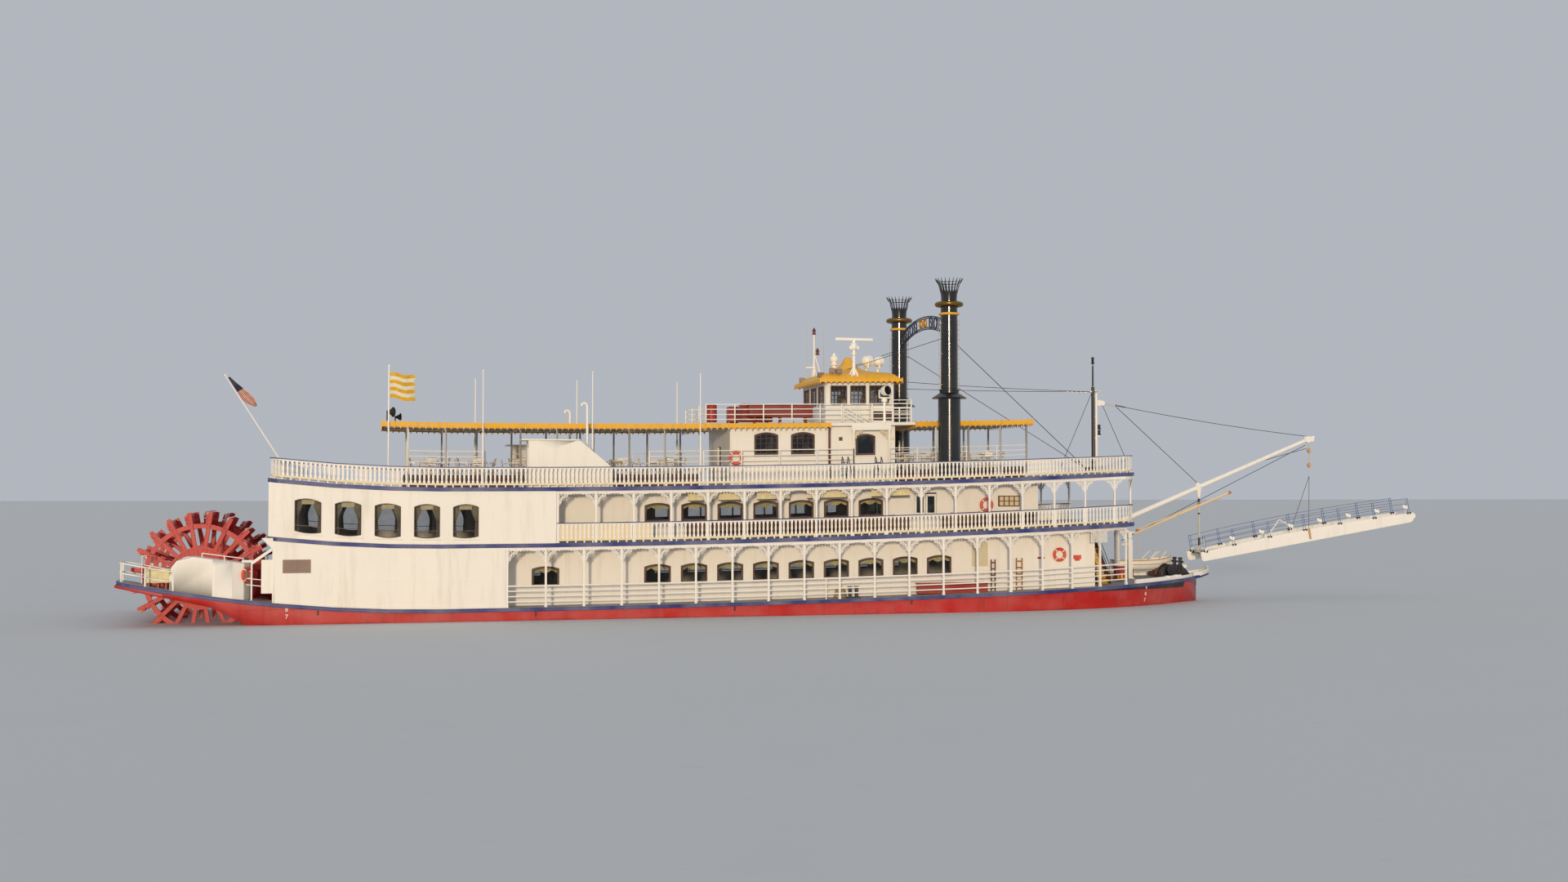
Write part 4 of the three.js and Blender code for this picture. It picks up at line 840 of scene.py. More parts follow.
hull = {
    "guardBars": [0.035, 0.15],  # drop below the deck's top
    "barRadius": 0.035,
    "sternMarks": [("8", -21.4, 0.74), ("7", -21.4, 0.4)],
    "bowMarks": [("9", 24.1, 1.02), ("8", 24.1, 0.68), ("7", 24.1, 0.34)],
    "markHeight": 0.2,
    "scupperX": [-19.9, -9.6, 0.4, 9.8, 17.6],
}


# faces that look down get the brown painted shade of the ceilings
def deckPaint(centre, normal):
    if normal.z > 0.7:
        return 1
    return 2 if normal.z < -0.7 else 0


def floorPaint(centre, normal):
    return 1 if normal.z > 0.7 else 0


def mainDeckPaint(centre, normal):
    above = centre.z - sheerAt(centre.x, deck["main"]) - deck["main"]
    if above > 0.03:
        return 2
    return 1 if normal.z > 0.7 else 0


def onlyPaint(centre, normal):
    return 0


reworked("hull", [finishes["hullRed"]], onlyPaint)
reworked("main_deck", [finishes["guardBlue"], finishes["deckGrey"], finishes["railWhite"]], mainDeckPaint)
for node in ("second_deck", "top_deck"):
    reworked(node, [finishes["guardBlue"], finishes["deckGrey"], finishes["ceilingWhite"]], deckPaint)
for node in ("raised_floor_aft", "raised_floor_forward"):
    reworked(node, [finishes["wainscotBrown"], finishes["deckGrey"]], floorPaint)
for node in ("rudder_starboard", "rudder_port"):
    reworked(node, [finishes["hullRed"]], onlyPaint)

# half-round bars along the guard
bars = pipes([routeAlong(mainEdge(0.02), deck["main"] - drop) for drop in hull["guardBars"]],
             hull["barRadius"], 2)
launchPair(bars, "guard_rubbing_bars", "guardBlue", 50)


def hullSideAt(x, z):  # the starboard skin's y, from the deck's edge down to the water
    tip = 29.08
    top, low = bowHalf(x, 5.95, tip), bowHalf(x + 0.7, 5.95, tip)
    height = deck["main"] - deck["sheet"] + sheerAt(x, deck["main"])
    return -(low + (top - low) * min(max(z / height, 0), 1))


# draft marks: plain numbers, standing a little proud of the plates
marks = []
for text, x, z in hull["sternMarks"] + hull["bowMarks"]:
    bpy.ops.object.text_add()
    mark = bpy.context.object
    mark.data.body = text
    mark.data.size = hull["markHeight"] / 0.7
    mark.data.extrude = 0.006
    mark.data.resolution_u = 2
    pick(mark)
    bpy.ops.object.convert(target="MESH")
    mark = bpy.context.object
    y = hullSideAt(x, z)
    heading = atan2(hullSideAt(x + 0.1, z) - y, 0.1)
    mark.data.transform(moveBy(x, y - 0.004, z - 0.1) @ turnBy(heading, "Z")
                        @ turnBy(pi / 2, "X"))
    marks.append(mark)
launch(marks, "draft_marks", "railWhite", slot="house_white")

scuppers = []
for x in hull["scupperX"]:
    y, z = hullSideAt(x, 0.3), 0.62 + sheerAt(x, deck["main"])
    scuppers.append(timber((x - 0.035, y - 0.02, z - 0.42), (x + 0.035, y + 0.03, z - 0.2), 0.008))
launchPair(scuppers, "hull_scuppers", "ironBlack", slot="engine_grey")

# keel bars under the bottom
keels = []
for y in (-3.6, -1.2, 1.2, 3.6):
    keels.append(timber((-15.2, y - 0.05, -1.88), (22.5, y + 0.05, -1.84), 0.01))
launch(keels, "bottom_keels", "hullRed")
print("hull and decks are done")


# Sternwheel: three flanges of twenty box arms, and two bays of plank buckets half a pitch apart

wheel = {
    "x": -25.47,
    "z": 2.15,
    "radius": 3.2,
    "half": 3.5,
    "arms": 20,
    "armHalf": 0.1,
    "armFoot": 0.5,
    "turn": radians(9.9),
    "disc": 1.5,
    "rim": (2.4, 2.62),
    "innerRim": (1.42, 1.52),
    "sheet": 0.045,
    "planks": [(2.5, 2.83), (2.86, 3.19)],
    "plankSheet": 0.07,
    "shaft": 0.16,
}


def ontoWheel(obj, turn=0.0):  # from round the z axis to round the wheel's shaft
    obj.data.transform(moveBy(wheel["x"], 0, wheel["z"]) @ turnBy(-turn, "Y"))
    return obj


def wheelRing(inner, outer, y0, y1, steps=60):
    ring = turnedOn([(inner, y0), (outer, y0), (outer, y1), (inner, y1), (inner, y0)], steps)
    ring.data.transform(turnBy(pi / 2, "X"))
    return ring


def wheelFlange(y, turn):
    pitch = 2 * pi / wheel["arms"]
    turns = [turnBy(-(turn + i * pitch), "Y") for i in range(wheel["arms"])]
    half, sheet = wheel["armHalf"], wheel["sheet"]
    arm = timber((wheel["armFoot"], y - sheet, -half), (wheel["radius"] - 0.01, y + sheet, half), 0.012)
    side = sheet + 0.012
    rib = brick((wheel["disc"] - 0.1, y - side, -half + 0.01),
                (wheel["radius"] - 0.14, y + side, -half + 0.035))
    otherRib = brick((wheel["disc"] - 0.1, y - side, half - 0.035),
                     (wheel["radius"] - 0.14, y + side, half - 0.01))
    bolts = []
    for radius in (1.47, 2.51, 2.66, 2.79, 2.92, 3.05):
        bolts.append(barrel((radius, y - side - 0.015, 0), (radius, y + side + 0.015, 0), 0.022, sides=6))
    arms = spread(joined([arm, rib, otherRib] + bolts), turns)
    rim = wheelRing(*wheel["rim"], y - side, y + side, 80)
    inner = wheelRing(*wheel["innerRim"], y - side - 0.01, y + side + 0.01)
    plate = wheelRing(0.3, wheel["disc"] - 0.05, y - 0.03, y + 0.03)
    hub = bevelled(wheelRing(wheel["shaft"], 0.42, y - 0.2 if y > 3 else y - 0.12, y + 0.12, 32),
                   0.02)
    nuts = []
    for i in range(10):
        angle = turn + (i + 0.5) * 2 * pitch
        x, z = 0.33 * cos(angle), 0.33 * sin(angle)
        nuts.append(barrel((x, y - 0.16, z), (x, y + 0.16, z), 0.03, sides=6))
    return joined([arms, rim, inner, plate, hub] + nuts)


def wheelBuckets(y0, y1, turn):
    pitch = 2 * pi / wheel["arms"]
    low, high = 0.09, 0.09 + wheel["plankSheet"]
    boards = [timber((inner, y0, low), (outer, y1, high), 0.014) for inner, outer in wheel["planks"]]
    straps = []
    for y in (y0 + 0.14, (y0 + y1) / 2, y1 - 0.14):
        straps.append(brick((2.48, y - 0.035, high), (3.17, y + 0.035, high + 0.014)))
        for radius in (2.6, 2.75, 2.94, 3.1):
            straps.append(upright(radius, y, low - 0.016, high + 0.034, 0.018, sides=6))
    lashing = brick((2.46, y0, low - 0.055), (2.54, y1, low))
    turns = [turnBy(-(turn + i * pitch), "Y") for i in range(wheel["arms"])]
    return spread(joined(boards + straps + [lashing]), turns)


def wetPaddles():  # red paint that turns pale and wet towards the tips
    finish, tree, shader, place, relief = newFinish("wheelWet", coat=0.25)
    aged = useGroup(tree, "agedPaint", place, Paint=tint("c4170d"), Grime=tint("3a0a06"), Chalk=0.06,
                    Runs=0.45, Scale=1.6, Gloss=0.34)
    split = tree.nodes.new("ShaderNodeSeparateXYZ")
    tree.links.new(place, split.inputs[0])
    hubX, hubZ = wheel["x"] * boat["scale"], (wheel["z"] + boat["draft"]) * boat["scale"]
    acrossX = mathNode(tree, "POWER", mathNode(tree, "SUBTRACT", split.outputs["X"], hubX), 2)
    acrossZ = mathNode(tree, "POWER",
                       mathNode(tree, "ABSOLUTE", mathNode(tree, "SUBTRACT", split.outputs["Z"], hubZ)), 2)
    radius = mathNode(tree, "SQRT", mathNode(tree, "ADD", acrossX, acrossZ))
    ragged = mathNode(tree, "ADD", radius, mathNode(tree, "MULTIPLY", noiseNode(tree, place, 9, 5), 0.22))
    outer = wheel["radius"] * boat["scale"]
    wet = mathNode(tree, "MULTIPLY", rangeNode(tree, ragged, outer, outer + 0.1), 0.75)
    tree.links.new(mixNode(tree, wet, aged["Color"], tint("d9c9c0")), shader.inputs["Base Color"])
    tree.links.new(mathNode(tree, "SUBTRACT", aged["Roughness"], mathNode(tree, "MULTIPLY", wet, 0.2)),
                   shader.inputs["Roughness"])
    tree.links.new(aged["Height"], relief.inputs["Height"])
    return finish


finishes["wheelWet"] = wetPaddles()
portTurn = wheel["turn"] - pi / wheel["arms"]
edge = wheel["sheet"] + 0.025
for side, turn, flangeY, bay in [("starboard", wheel["turn"], -wheel["half"] + 0.07, (-3.49, -0.05)),
                                 ("port", portTurn, wheel["half"] - 0.07, (0.05, 3.49))]:
    buckets = ontoWheel(wheelBuckets(*bay, turn))
    launch(buckets, f"wheel_buckets_{side}", "wheelWet", body="sternwheel")
    piece = launch(ontoWheel(wheelFlange(flangeY, turn)), f"wheel_flange_{side}", "wheelRed", 40,
                   body="sternwheel")
    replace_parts(piece, f"paddle_bay_{side}")
middle = ontoWheel(wheelFlange(0, wheel["turn"]))
shaft = turnedOn([(0, -4.74), (0.13, -4.74), (wheel["shaft"], -4.7), (wheel["shaft"], 4.7), (0.13, 4.74),
                  (0, 4.74)], 24)
shaft.data.transform(turnBy(pi / 2, "X"))
hubs = []
for y in (-3.1, -1.2, 1.2, 3.1):
    hubs.append(bevelled(wheelRing(wheel["shaft"], 0.24, y - 0.06, y + 0.06, 24), 0.01))
piece = launch([middle, ontoWheel(joined([shaft] + hubs))], "wheel_shaft_and_middle", "wheelRed", 40,
               body="sternwheel")
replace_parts(piece, "wheel_shaft")
print("sternwheel is done")


# House walls, with battens where the plates meet

for node in ("stern_house", "main_cabin", "stern_cabin", "saloon", "stair_casing", "texas", "pilothouse",
             "stern_casing"):
    for side in ("starboard", "port"):
        reworked(f"{node}_{side}", [finishes["houseWhite"]], onlyPaint)
for node in ("main_cabin_front", "stern_cabin_wall", "saloon_front"):
    reworked(node, [finishes["houseWhite"]], onlyPaint)

# columns: aft end, forward end, y of the face, foot, head, what it is
mouldings = [
    (-21.9, -11.06, -5.95, 3.36, 3.56, "header"),
    (-21.9, -11.06, -5.95, 0.63, 0.72, "foot"),
    (-20.0, -11.3, -5.95, 2.02, 2.05, "rub"),
    (-22.2, -8.62, -5.95, 3.76, 3.86, "foot"),
    (-22.2, -8.62, -5.95, 6.2, 6.33, "header"),
    (-11.0, 20.78, -4.4, 0.63, 0.75, "foot"),
    (-11.0, 20.78, -4.4, 3.4, 3.56, "header"),
    (-8.5, 17.46, -4.4, 3.76, 3.86, "foot"),
    (-8.5, 17.46, -4.4, 6.2, 6.33, "header"),
]


def longStrip(x0, x1, y, z0, z1, proud):
    path = [(x0, y - proud / 2), (x1, y - proud / 2)]
    return band(path, z0, z1, proud)


strips = [longStrip(x0, x1, y, z0, z1, 0.03 if kind != "rub" else 0.02)
          for x0, x1, y, z0, z1, kind in mouldings]
launchPair(strips, "house_mouldings", "houseWhite")

# upright battens on the main cabin
batten = {"first": -8.0, "pitch": 3.786, "count": 8, "y": -4.4, "foot": 0.76, "head": 3.4, "half": 0.03}
battens = []
for i in range(batten["count"]):
    x = batten["first"] + i * batten["pitch"]
    battens.append(timber((x - batten["half"], batten["y"] - 0.02, batten["foot"]),
                          (x + batten["half"], batten["y"] + 0.01, batten["head"]), 0.006))
launchPair(lifted(battens), "house_battens", "houseWhite")


# Windows: frames, glass, sash bars

windows = {
    "main": {"xs": [-8.98] + [-3.3 + 1.893 * i for i in range(9)], "y": -4.4, "sill": 1.62, "width": 1.28,
             "height": 0.9, "rise": 0.12, "dip": 0.0, "trim": 0.045},
    "saloon": {"xs": [-3.3 + 1.893 * i for i in range(7)], "y": -4.4, "sill": 4.75, "width": 1.25,
               "height": 0.88, "rise": 0.12, "dip": 0.0, "trim": 0.045},
    "tall": {"xs": [-20.4 + 1.85 * i for i in range(5)], "y": -5.95, "sill": 4.06, "width": 1.2,
             "height": 1.64, "rise": 0.14, "dip": 0.08, "trim": 0.012, "inner": 0.022},
    "texas": {"xs": [2.76, 4.76], "y": -2.85, "sill": 8.15, "width": 1.2, "height": 1.12, "rise": 0.14,
              "dip": 0.0, "trim": 0.05},
    "alcove": {"xs": [8.23], "y": -2.85, "sill": 8.05, "width": 1.0, "height": 1.08, "rise": 0.14,
               "dip": 0.0, "trim": 0.05},
}
windowSteps = 6


def windowLine(kind, grow=0.0):
    half = kind["width"] / 2 + grow
    shares = [1 - 2 * i / windowSteps for i in range(windowSteps + 1)]
    foot = [(-half * t, kind["dip"] * t * t - grow) for t in shares]
    head = [(half * t, kind["height"] - kind["rise"] * t * t + grow) for t in shares]
    return foot + head


def rimmed(outer, inner, thickness):  # a flat frame between two outlines
    clearSelection()
    bpy.ops.mesh.primitive_circle_add(vertices=len(outer), fill_type="NOTHING")
    obj = bpy.context.object
    for vertex, (x, z) in zip(obj.data.vertices, outer):
        vertex.co = (x, 0, z)
    editAll()
    bpy.ops.mesh.extrude_region_move()
    leaveEdit()
    for vertex in obj.data.vertices[len(outer):]:
        match = min(range(len(outer)), key=lambda k: dist(outer[k], (vertex.co.x, vertex.co.z)))
        vertex.co = (inner[match][0], 0, inner[match][1])
    return modified(mended(obj), "SOLIDIFY", thickness=thickness, offset=0)


def sashBars(kind, columns, rows, width=0.028):
    half, bars = kind["width"] / 2, []
    for i in range(1, columns):
        x = -half + 2 * half * i / columns
        bars.append(brickOver(x, 0, width / 2, 0.02, 0.0, kind["height"] - 0.04))
    for i in range(1, rows):
        z = kind["height"] * i / rows
        bars.append(brick((-half, -0.018, z - width / 2), (half, 0.018, z + width / 2)))
    return bars


def windowRow(kind, columns=1, rows=1, more=()):
    frame = rimmed(windowLine(kind, kind["trim"]), windowLine(kind, -0.015), 0.075)
    frame = bevelled(frame, 0.012)
    inner = rimmed(windowLine(kind, -0.01), windowLine(kind, -kind.get("inner", 0.055)), 0.05)
    sill = timber((-kind["width"] / 2 - 0.07, -0.07, -0.1), (kind["width"] / 2 + 0.07, 0.02, -0.05), 0.01)
    whole = joined([frame, inner] + sashBars(kind, columns, rows) + list(more))
    whole.data.transform(moveBy(0, kind["y"], kind["sill"]))
    sill.data.transform(moveBy(0, kind["y"], kind["sill"]))
    glass = sawn(windowLine(kind, -0.02), 0.014)
    glass.data.transform(moveBy(0, kind["y"] + 0.06, kind["sill"]))
    places = [moveBy(x, 0, 0) for x in kind["xs"]]
    return [lifted(spread(part, places)) for part in (whole, glass, sill)]


quarterRail = brick((-0.6, -0.015, 0.33), (0.6, 0.015, 0.36))
rowSettings = {"main": (1, 1, ()), "saloon": (1, 1, ()), "tall": (1, 1, (quarterRail,)),
               "texas": (4, 4, ()), "alcove": (1, 1, ())}
for name, (columns, rows, more) in rowSettings.items():
    whole, glass, sill = windowRow(windows[name], columns, rows, more)
    launchPair(whole, f"{name}_window_frames", "frameDark")
    pane = "glassClear" if name in ("tall", "main", "saloon") else "glassDark"
    launchPair(glass, f"{name}_window_glass", pane, slot="engine_grey")
    launchPair(sill, f"{name}_window_sills", "houseWhite")


def acrossRow(kind, x, ys, outwards, columns=1, rows=1):  # windows in a wall that runs across the boat
    whole = joined([bevelled(rimmed(windowLine(kind, kind["trim"]), windowLine(kind, -0.015), 0.075),
                             0.012), rimmed(windowLine(kind, -0.01), windowLine(kind, -0.055), 0.05)]
                   + sashBars(kind, columns, rows))
    glass = sawn(windowLine(kind, -0.02), 0.014)
    turn = turnBy(pi / 2, "Z")
    made = []
    for part, depth in ((whole, 0), (glass, -outwards * 0.06)):
        places = [moveBy(x + depth, y, kind["sill"]) @ turn for y in ys]
        made.append(lifted(spread(part, places)))
    return made


# columns: wall, kind, x of the face, ys, which way is out, sash columns and rows
crossWindows = [
    ("stern_cabin_wall", windows["tall"], -22.2, (-3.3, 0, 3.3), -1, 1, 1),
    ("saloon_front", windows["saloon"], 17.5, (-2.6, 2.6), 1, 1, 1),
    ("texas_front", windows["texas"], 9.9, (-1.3, 1.3), 1, 4, 4),
]
for name, kind, x, ys, outwards, columns, rows in crossWindows:
    whole, glass = acrossRow(kind, x, ys, outwards, columns, rows)
    launch(whole, f"{name}_window_frames", "frameDark")
    launch(glass, f"{name}_window_glass", "glassDark")
print("walls and windows are done")


# Balustrades of sawn boards, posts with lace brackets, and the four-bar rail of the main deck

balustrade = {
    "pitch": 0.212,
    "board": 0.028,
    # columns: height above the deck, half width of the sawn board
    "shape": [(0.19, 0.058), (0.27, 0.058), (0.35, 0.034), (0.52, 0.05), (0.7, 0.034), (0.82, 0.058),
              (0.93, 0.058)],
    "cap": (0.955, 1.0, 0.13),  # foot, head, width
    "capBlock": (0.9, 0.955, 0.06),
    "foot": (0.1, 0.2, 0.07),
    "dentil": (0.0, 0.1),
    "dentilPitch": 0.42,
}


def balusterRow(path, deckZ):
    levels = [(deckZ + z, half) for z, half in balustrade["shape"]]
    outline = [(half, z) for z, half in levels] + [(-half, z) for z, half in reversed(levels)]
    board = sawn(outline, balustrade["board"])
    return lifted(spread(board, placesAlong(path, balustrade["pitch"], balustrade["pitch"] / 2)))


def balustradeAlong(path, deckZ, name, node):
    boards = balusterRow(path, deckZ)
    cap = bothSides(band(path, deckZ + balustrade["cap"][0], deckZ + balustrade["cap"][1],
                         balustrade["cap"][2]))
    under = band(path, deckZ + balustrade["capBlock"][0], deckZ + balustrade["capBlock"][1],
                 balustrade["capBlock"][2])
    low, high, width = balustrade["foot"]
    board = bothSides(band(path, deckZ + low, deckZ + high, width))
    block = brick((-0.035, -0.03, deckZ), (0.035, 0.03, deckZ + balustrade["dentil"][1] + 0.01))
    dentils = lifted(spread(block, placesAlong(path, balustrade["dentilPitch"], 0.1)))
    piece = launchPair([boards, under, dentils], f"{name}_boards", "railWhite")
    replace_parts(piece, f"{node}_starboard", f"{node}_port")
    launch(cap, f"{name}_cap", "guardBlue")
    launch(board, f"{name}_foot_board", "boardCream")


topPath = [(-22.165, -0.01)] + upperEdge(0.135) + [(23.065, -0.01)]
balustradeAlong(topPath, deck["top"], "top_balustrade", "top_balustrade")
secondEnds = upperEdge(0.135)
secondPath = between(secondEnds, -8.58, 22.0)[:-1] + secondEnds[-4:]
balustradeAlong(secondPath, deck["second"], "second_balustrade", "second_railing")
backing = band(between(upperEdge(0.2), -8.58, -3.8), deck["second"] + 0.15, deck["second"] + 0.92, 0.03)
launchPair(backing, "second_balustrade_backing", "boardCream")

# posts: square, with a foot block, a neck ring and a header from post to post
lace = {"reach": 0.66, "drop": 0.66, "wire": 0.017, "steps": 6}


def deckPost(low, high):
    shaft = timber((-0.05, -0.05, low), (0.05, 0.05, high), 0.008)
    foot = timber((-0.068, -0.068, low), (0.068, 0.068, low + 0.12), 0.01)
    neck = timber((-0.062, -0.062, high - 0.74), (0.062, 0.062, high - 0.69), 0.01)
    head = timber((-0.066, -0.066, high - 0.14), (0.066, 0.066, high), 0.01)
    return joined([shaft, foot, neck, head])


def laceBracket(top):  # one quarter arch of cast scrollwork, from the post along the header
    reach, drop, steps = lace["reach"], lace["drop"], lace["steps"]

    def quarter(scaleBy, shift=0.0):
        return [(0.05 + reach - reach * scaleBy * cos(a) + shift, 0,
                 top - drop + drop * scaleBy * sin(a) - shift)
                for a in [pi / 2 * i / steps for i in range(steps + 1)]]

    lines = [quarter(1.0), quarter(0.99, -0.045)[1:-1]]
    lines.append([(0.06, 0, top - drop), (0.06, 0, top - 0.02), (0.05 + reach, 0, top - 0.02)])
    spiral = [(0.27 + (0.105 - 0.009 * i) * cos(0.9 * i), 0,
               top - 0.27 + (0.105 - 0.009 * i) * sin(0.9 * i)) for i in range(9)]
    rods = pipes(lines + [spiral], lace["wire"], 0)
    turned = turnBy(pi / 2, "X")
    rings = [hoop((x, 0, top - z), radius, lace["wire"], turned, 8, 4)
             for x, z, radius in [(0.15, 0.14, 0.075), (0.13, 0.33, 0.05), (0.33, 0.13, 0.05),
                                  (0.12, 0.47, 0.035), (0.47, 0.11, 0.035)]]
    leaf = [sawn([(x - s, top - z), (x, top - z - s * 0.7), (x + s, top - z), (x, top - z + s * 0.7)], 0.02)
            for x, z, s in [(0.215, 0.215, 0.055), (0.42, 0.16, 0.04), (0.165, 0.41, 0.04)]]
    return joined([rods] + rings + leaf)


def laceAlong(path, foot, header, name):
    inward = turnBy(pi, "Z")
    places = placesAlong(path, boat["bay"], 0.05)
    posts = lifted(spread(deckPost(foot, header + 0.14), places))
    bracket = laceBracket(header)
    ways = places[:-1] + [place @ inward for place in places[1:]]
    brackets = lifted(spread(bracket, ways))
    beam = band(path, header, header + 0.14, 0.06)
    drops = lifted(spread(brick((-0.012, -0.012, header - 0.07), (0.012, 0.012, header)),
                          placesAlong(path, 0.155, 0.08)))
    launchPair([posts, beam], f"{name}_posts", "railWhite")
    return launchPair([brackets, drops], f"{name}_lace", "railWhite")


mainPath = between(mainEdge(0.185), -11.04, 22.7)
laceAlong(mainPath, deck["main"], 3.42, "main_deck")
laceAlong(secondPath, deck["second"], 6.19, "second_deck")

# four round bars between the main deck's posts, with a second thin post in the bays that open
rail = {"heights": [0.28, 0.54, 0.8, 1.05], "radius": 0.034, "openBays": [5.2, 15.4]}
barRoutes = [routeAlong(mainPath, deck["main"] + height) for height in rail["heights"]]
topBar = pipes([barRoutes[-1]], rail["radius"] * 1.25, 1)
lowBars = pipes(barRoutes[:-1], rail["radius"], 1)
gates = []
for x in rail["openBays"]:
    y = fromTable(mainEdge(0.185)[3:], x)
    gates.append(brickOver(x, y, 0.025, 0.025, deck["main"], deck["main"] + 1.06))
piece = launchPair([topBar, lowBars, lifted(gates)], "main_rail_bars", "railWhite", 50)
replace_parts(piece, "main_railing_starboard", "main_railing_port")
print("railings are done")


# Top deck: canopies with scalloped fringes, raised floors, rails, tables and chairs

canopy = {
    "aft": (-17.0, -0.65),
    "forward": (10.95, 17.7),
    "half": 3.3,
    "top": 9.78,
    "postY": 2.91,
    "aftPosts": [-15.72 + 1.863 * i for i in range(9)],
    "forwardPosts": [12.2, 14.07, 15.93, 17.45],
    "pitch": 0.31,
    "sheet": 0.03,
    "floorTop": 7.15,
    "railBars": [7.5, 7.8, 8.08, 8.36],
}


# the canopies' undersides get the brown painted shade of the ceilings
def canopyPaint(centre, normal):
    above = centre.z - sheerAt(centre.x, deck["roof"])
    if above < 9.51 and abs(centre.y) < 3.0:
        return 1
    if normal.z < -0.7 and above < 9.7 and abs(centre.y) < 3.24:
        return 2
    return 0


for node in ("canopy_aft", "canopy_forward"):
    reworked(node, [finishes["roofYellow"], finishes["railWhite"], finishes["ceilingWhite"]], canopyPaint)


def fringeUnit(width):  # one scallop with a pointed tooth and a crest at each end
    top = [(0, 0.09), (0.03, 0.035), (0.075, 0.0), (0.235, 0.0), (0.28, 0.035), (0.31, 0.09)]
    low = [(0.31, -0.37), (0.292, -0.31), (0.262, -0.25), (0.215, -0.215), (0.155, -0.202), (0.095, -0.215),
           (0.048, -0.25), (0.018, -0.31), (0, -0.37)]
    return sawn([(x * width / canopy["pitch"], z) for x, z in reversed(top + low)], canopy["sheet"])


def fringeAlong(corners, top):
    rows = []
    for (x0, y0), (x1, y1) in zip(corners, corners[1:]):
        length = dist((x0, y0), (x1, y1))
        count = max(1, round(length / canopy["pitch"]))
        heading = atan2(y1 - y0, x1 - x0)
        places = [moveBy(x0 + (x1 - x0) * i / count, y0 + (y1 - y0) * i / count, top)
                  @ turnBy(heading, "Z") for i in range(count)]
        rows.append(spread(fringeUnit(length / count), places))
    return lifted(rows)


def around(x0, x1, half):
    return [(x0, -half), (x1, -half), (x1, half), (x0, half), (x0, -half)]


proud = canopy["half"] + 0.02
launch(fringeAlong(around(canopy["aft"][0] - 0.02, canopy["aft"][1] + 0.02, proud), canopy["top"]),
       "canopy_aft_fringe", "roofYellow")
launch(fringeAlong(around(canopy["forward"][0] - 0.02, canopy["forward"][1] + 0.02, proud), canopy["top"]),
       "canopy_forward_fringe", "roofYellow")
launchPair(fringeAlong([(-0.6, -proud), (6.2, -proud)], canopy["top"]), "texas_fringe", "roofYellow")

# beams and purlins under the canopies, and shoes at the posts' feet
beams, purlins = [], []
for posts, (x0, x1) in [(canopy["aftPosts"], canopy["aft"]), (canopy["forwardPosts"], canopy["forward"])]:
    for x in posts:
        beams.append(timberOver(x, 0, 0.04, 3.2, 9.5, 9.61, 0.01))
        for side in (-1, 1):
            y = side * canopy["postY"]
            beams.append(timberOver(x, y, 0.07, 0.07, 6.54, 6.68, 0.012))
    purlins += [band([(x0 + 0.1, y), (x1 - 0.1, y)], 9.53, 9.61, 0.06) for y in (-1.5, 1.5)]
launch([lifted(beams)] + purlins, "canopy_frames", "railWhite")


def barRail(path, heights, radius, posts, foot):  # level bars with thin posts at given stations
    bars = pipes([routeAlong(path, z) for z in heights], radius, 1)
    uprights = []
    for x, y in posts:
        uprights.append(brickOver(x, y, 0.03, 0.03, foot, heights[-1] + 0.01))
    return joined([bars, lifted(uprights)]) if uprights else bars


# rails between the canopy's posts, with gaps at the stairs, and in front of the texas
# columns: aft end, forward end, y
innerRails = [(-15.72, -11.9, -2.91), (-10.13, -8.27, -2.91), (-3.5, -0.82, -2.91), (-0.7, 7.45, -3.28),
              (9.5, 11.0, -3.28), (11.0, 12.2, -2.91), (12.2, 17.45, -2.91)]
railPieces = []
for x0, x1, y in innerRails:
    count = max(1, round((x1 - x0) / 1.9))
    posts = [(x0 + (x1 - x0) * i / count, y) for i in range(count + 1)]
    railPieces.append(barRail([(x0, y), (x1, y)], canopy["railBars"], 0.024, posts, 6.55))
launchPair(railPieces, "top_deck_inner_rails", "railWhite", 50)

# the sides of the raised floors in dark brown
boards = [band([(x0 + 0.01, -2.81), (x1 - 0.01, -2.81)], 6.55, 7.12, 0.02)
          for x0, x1 in ((-15.9, -0.7), (10.1, 17.3))]
ends = [brickOver(x, 0, 0.012, 2.8, 6.56, 7.1) for x in (-15.91, 17.31)]
launch([bothSides(boards), lifted(ends)], "raised_floor_boards", "wainscotBrown", slot="house_white")

seat = {"height": 0.44, "half": 0.22, "back": 0.88, "leg": 0.02}


def gardenChair():
    half, top = seat["half"], seat["height"]
    parts = [timber((-half, -half, top - 0.03), (half, half, top), 0.012)]
    for sx, lean in ((-1, 0.06), (1, 0.0)):
        for sy in (-1, 1):
            foot = (sx * (half + lean), sy * half * 0.95, 0)
            parts.append(barrel(foot, (sx * half * 0.85, sy * half * 0.9, top), seat["leg"], sides=5))
    for sy in (-1, 1):
        parts.append(barrel((-half, sy * half * 0.9, top), (-half - 0.09, sy * half * 0.86, seat["back"]),
                            0.02, sides=5))
        parts.append(brick((-half, sy * half - 0.02, top + 0.2), (half, sy * half + 0.02, top + 0.225)))
        parts.append(brick((half - 0.03, sy * half - 0.012, top), (half, sy * half + 0.012, top + 0.2)))
    for z in (0.56, 0.66, 0.76, 0.86):
        parts.append(brick((-half - 0.1 * (z - top) / 0.44 - 0.012, -half * 0.9, z - 0.035),
                           (-half - 0.1 * (z - top) / 0.44 + 0.008, half * 0.9, z + 0.03)))
    return joined(parts)


def gardenTable():
    top = bevelled(upright(0, 0, 0.7, 0.735, 0.5, sides=20), 0.01)
    foot = turnedOn([(0, 0.05), (0.26, 0.0), (0.28, 0.03), (0.06, 0.09), (0.035, 0.2), (0.035, 0.66),
                     (0.14, 0.7), (0, 0.7)], 12)
    return joined([top, foot])


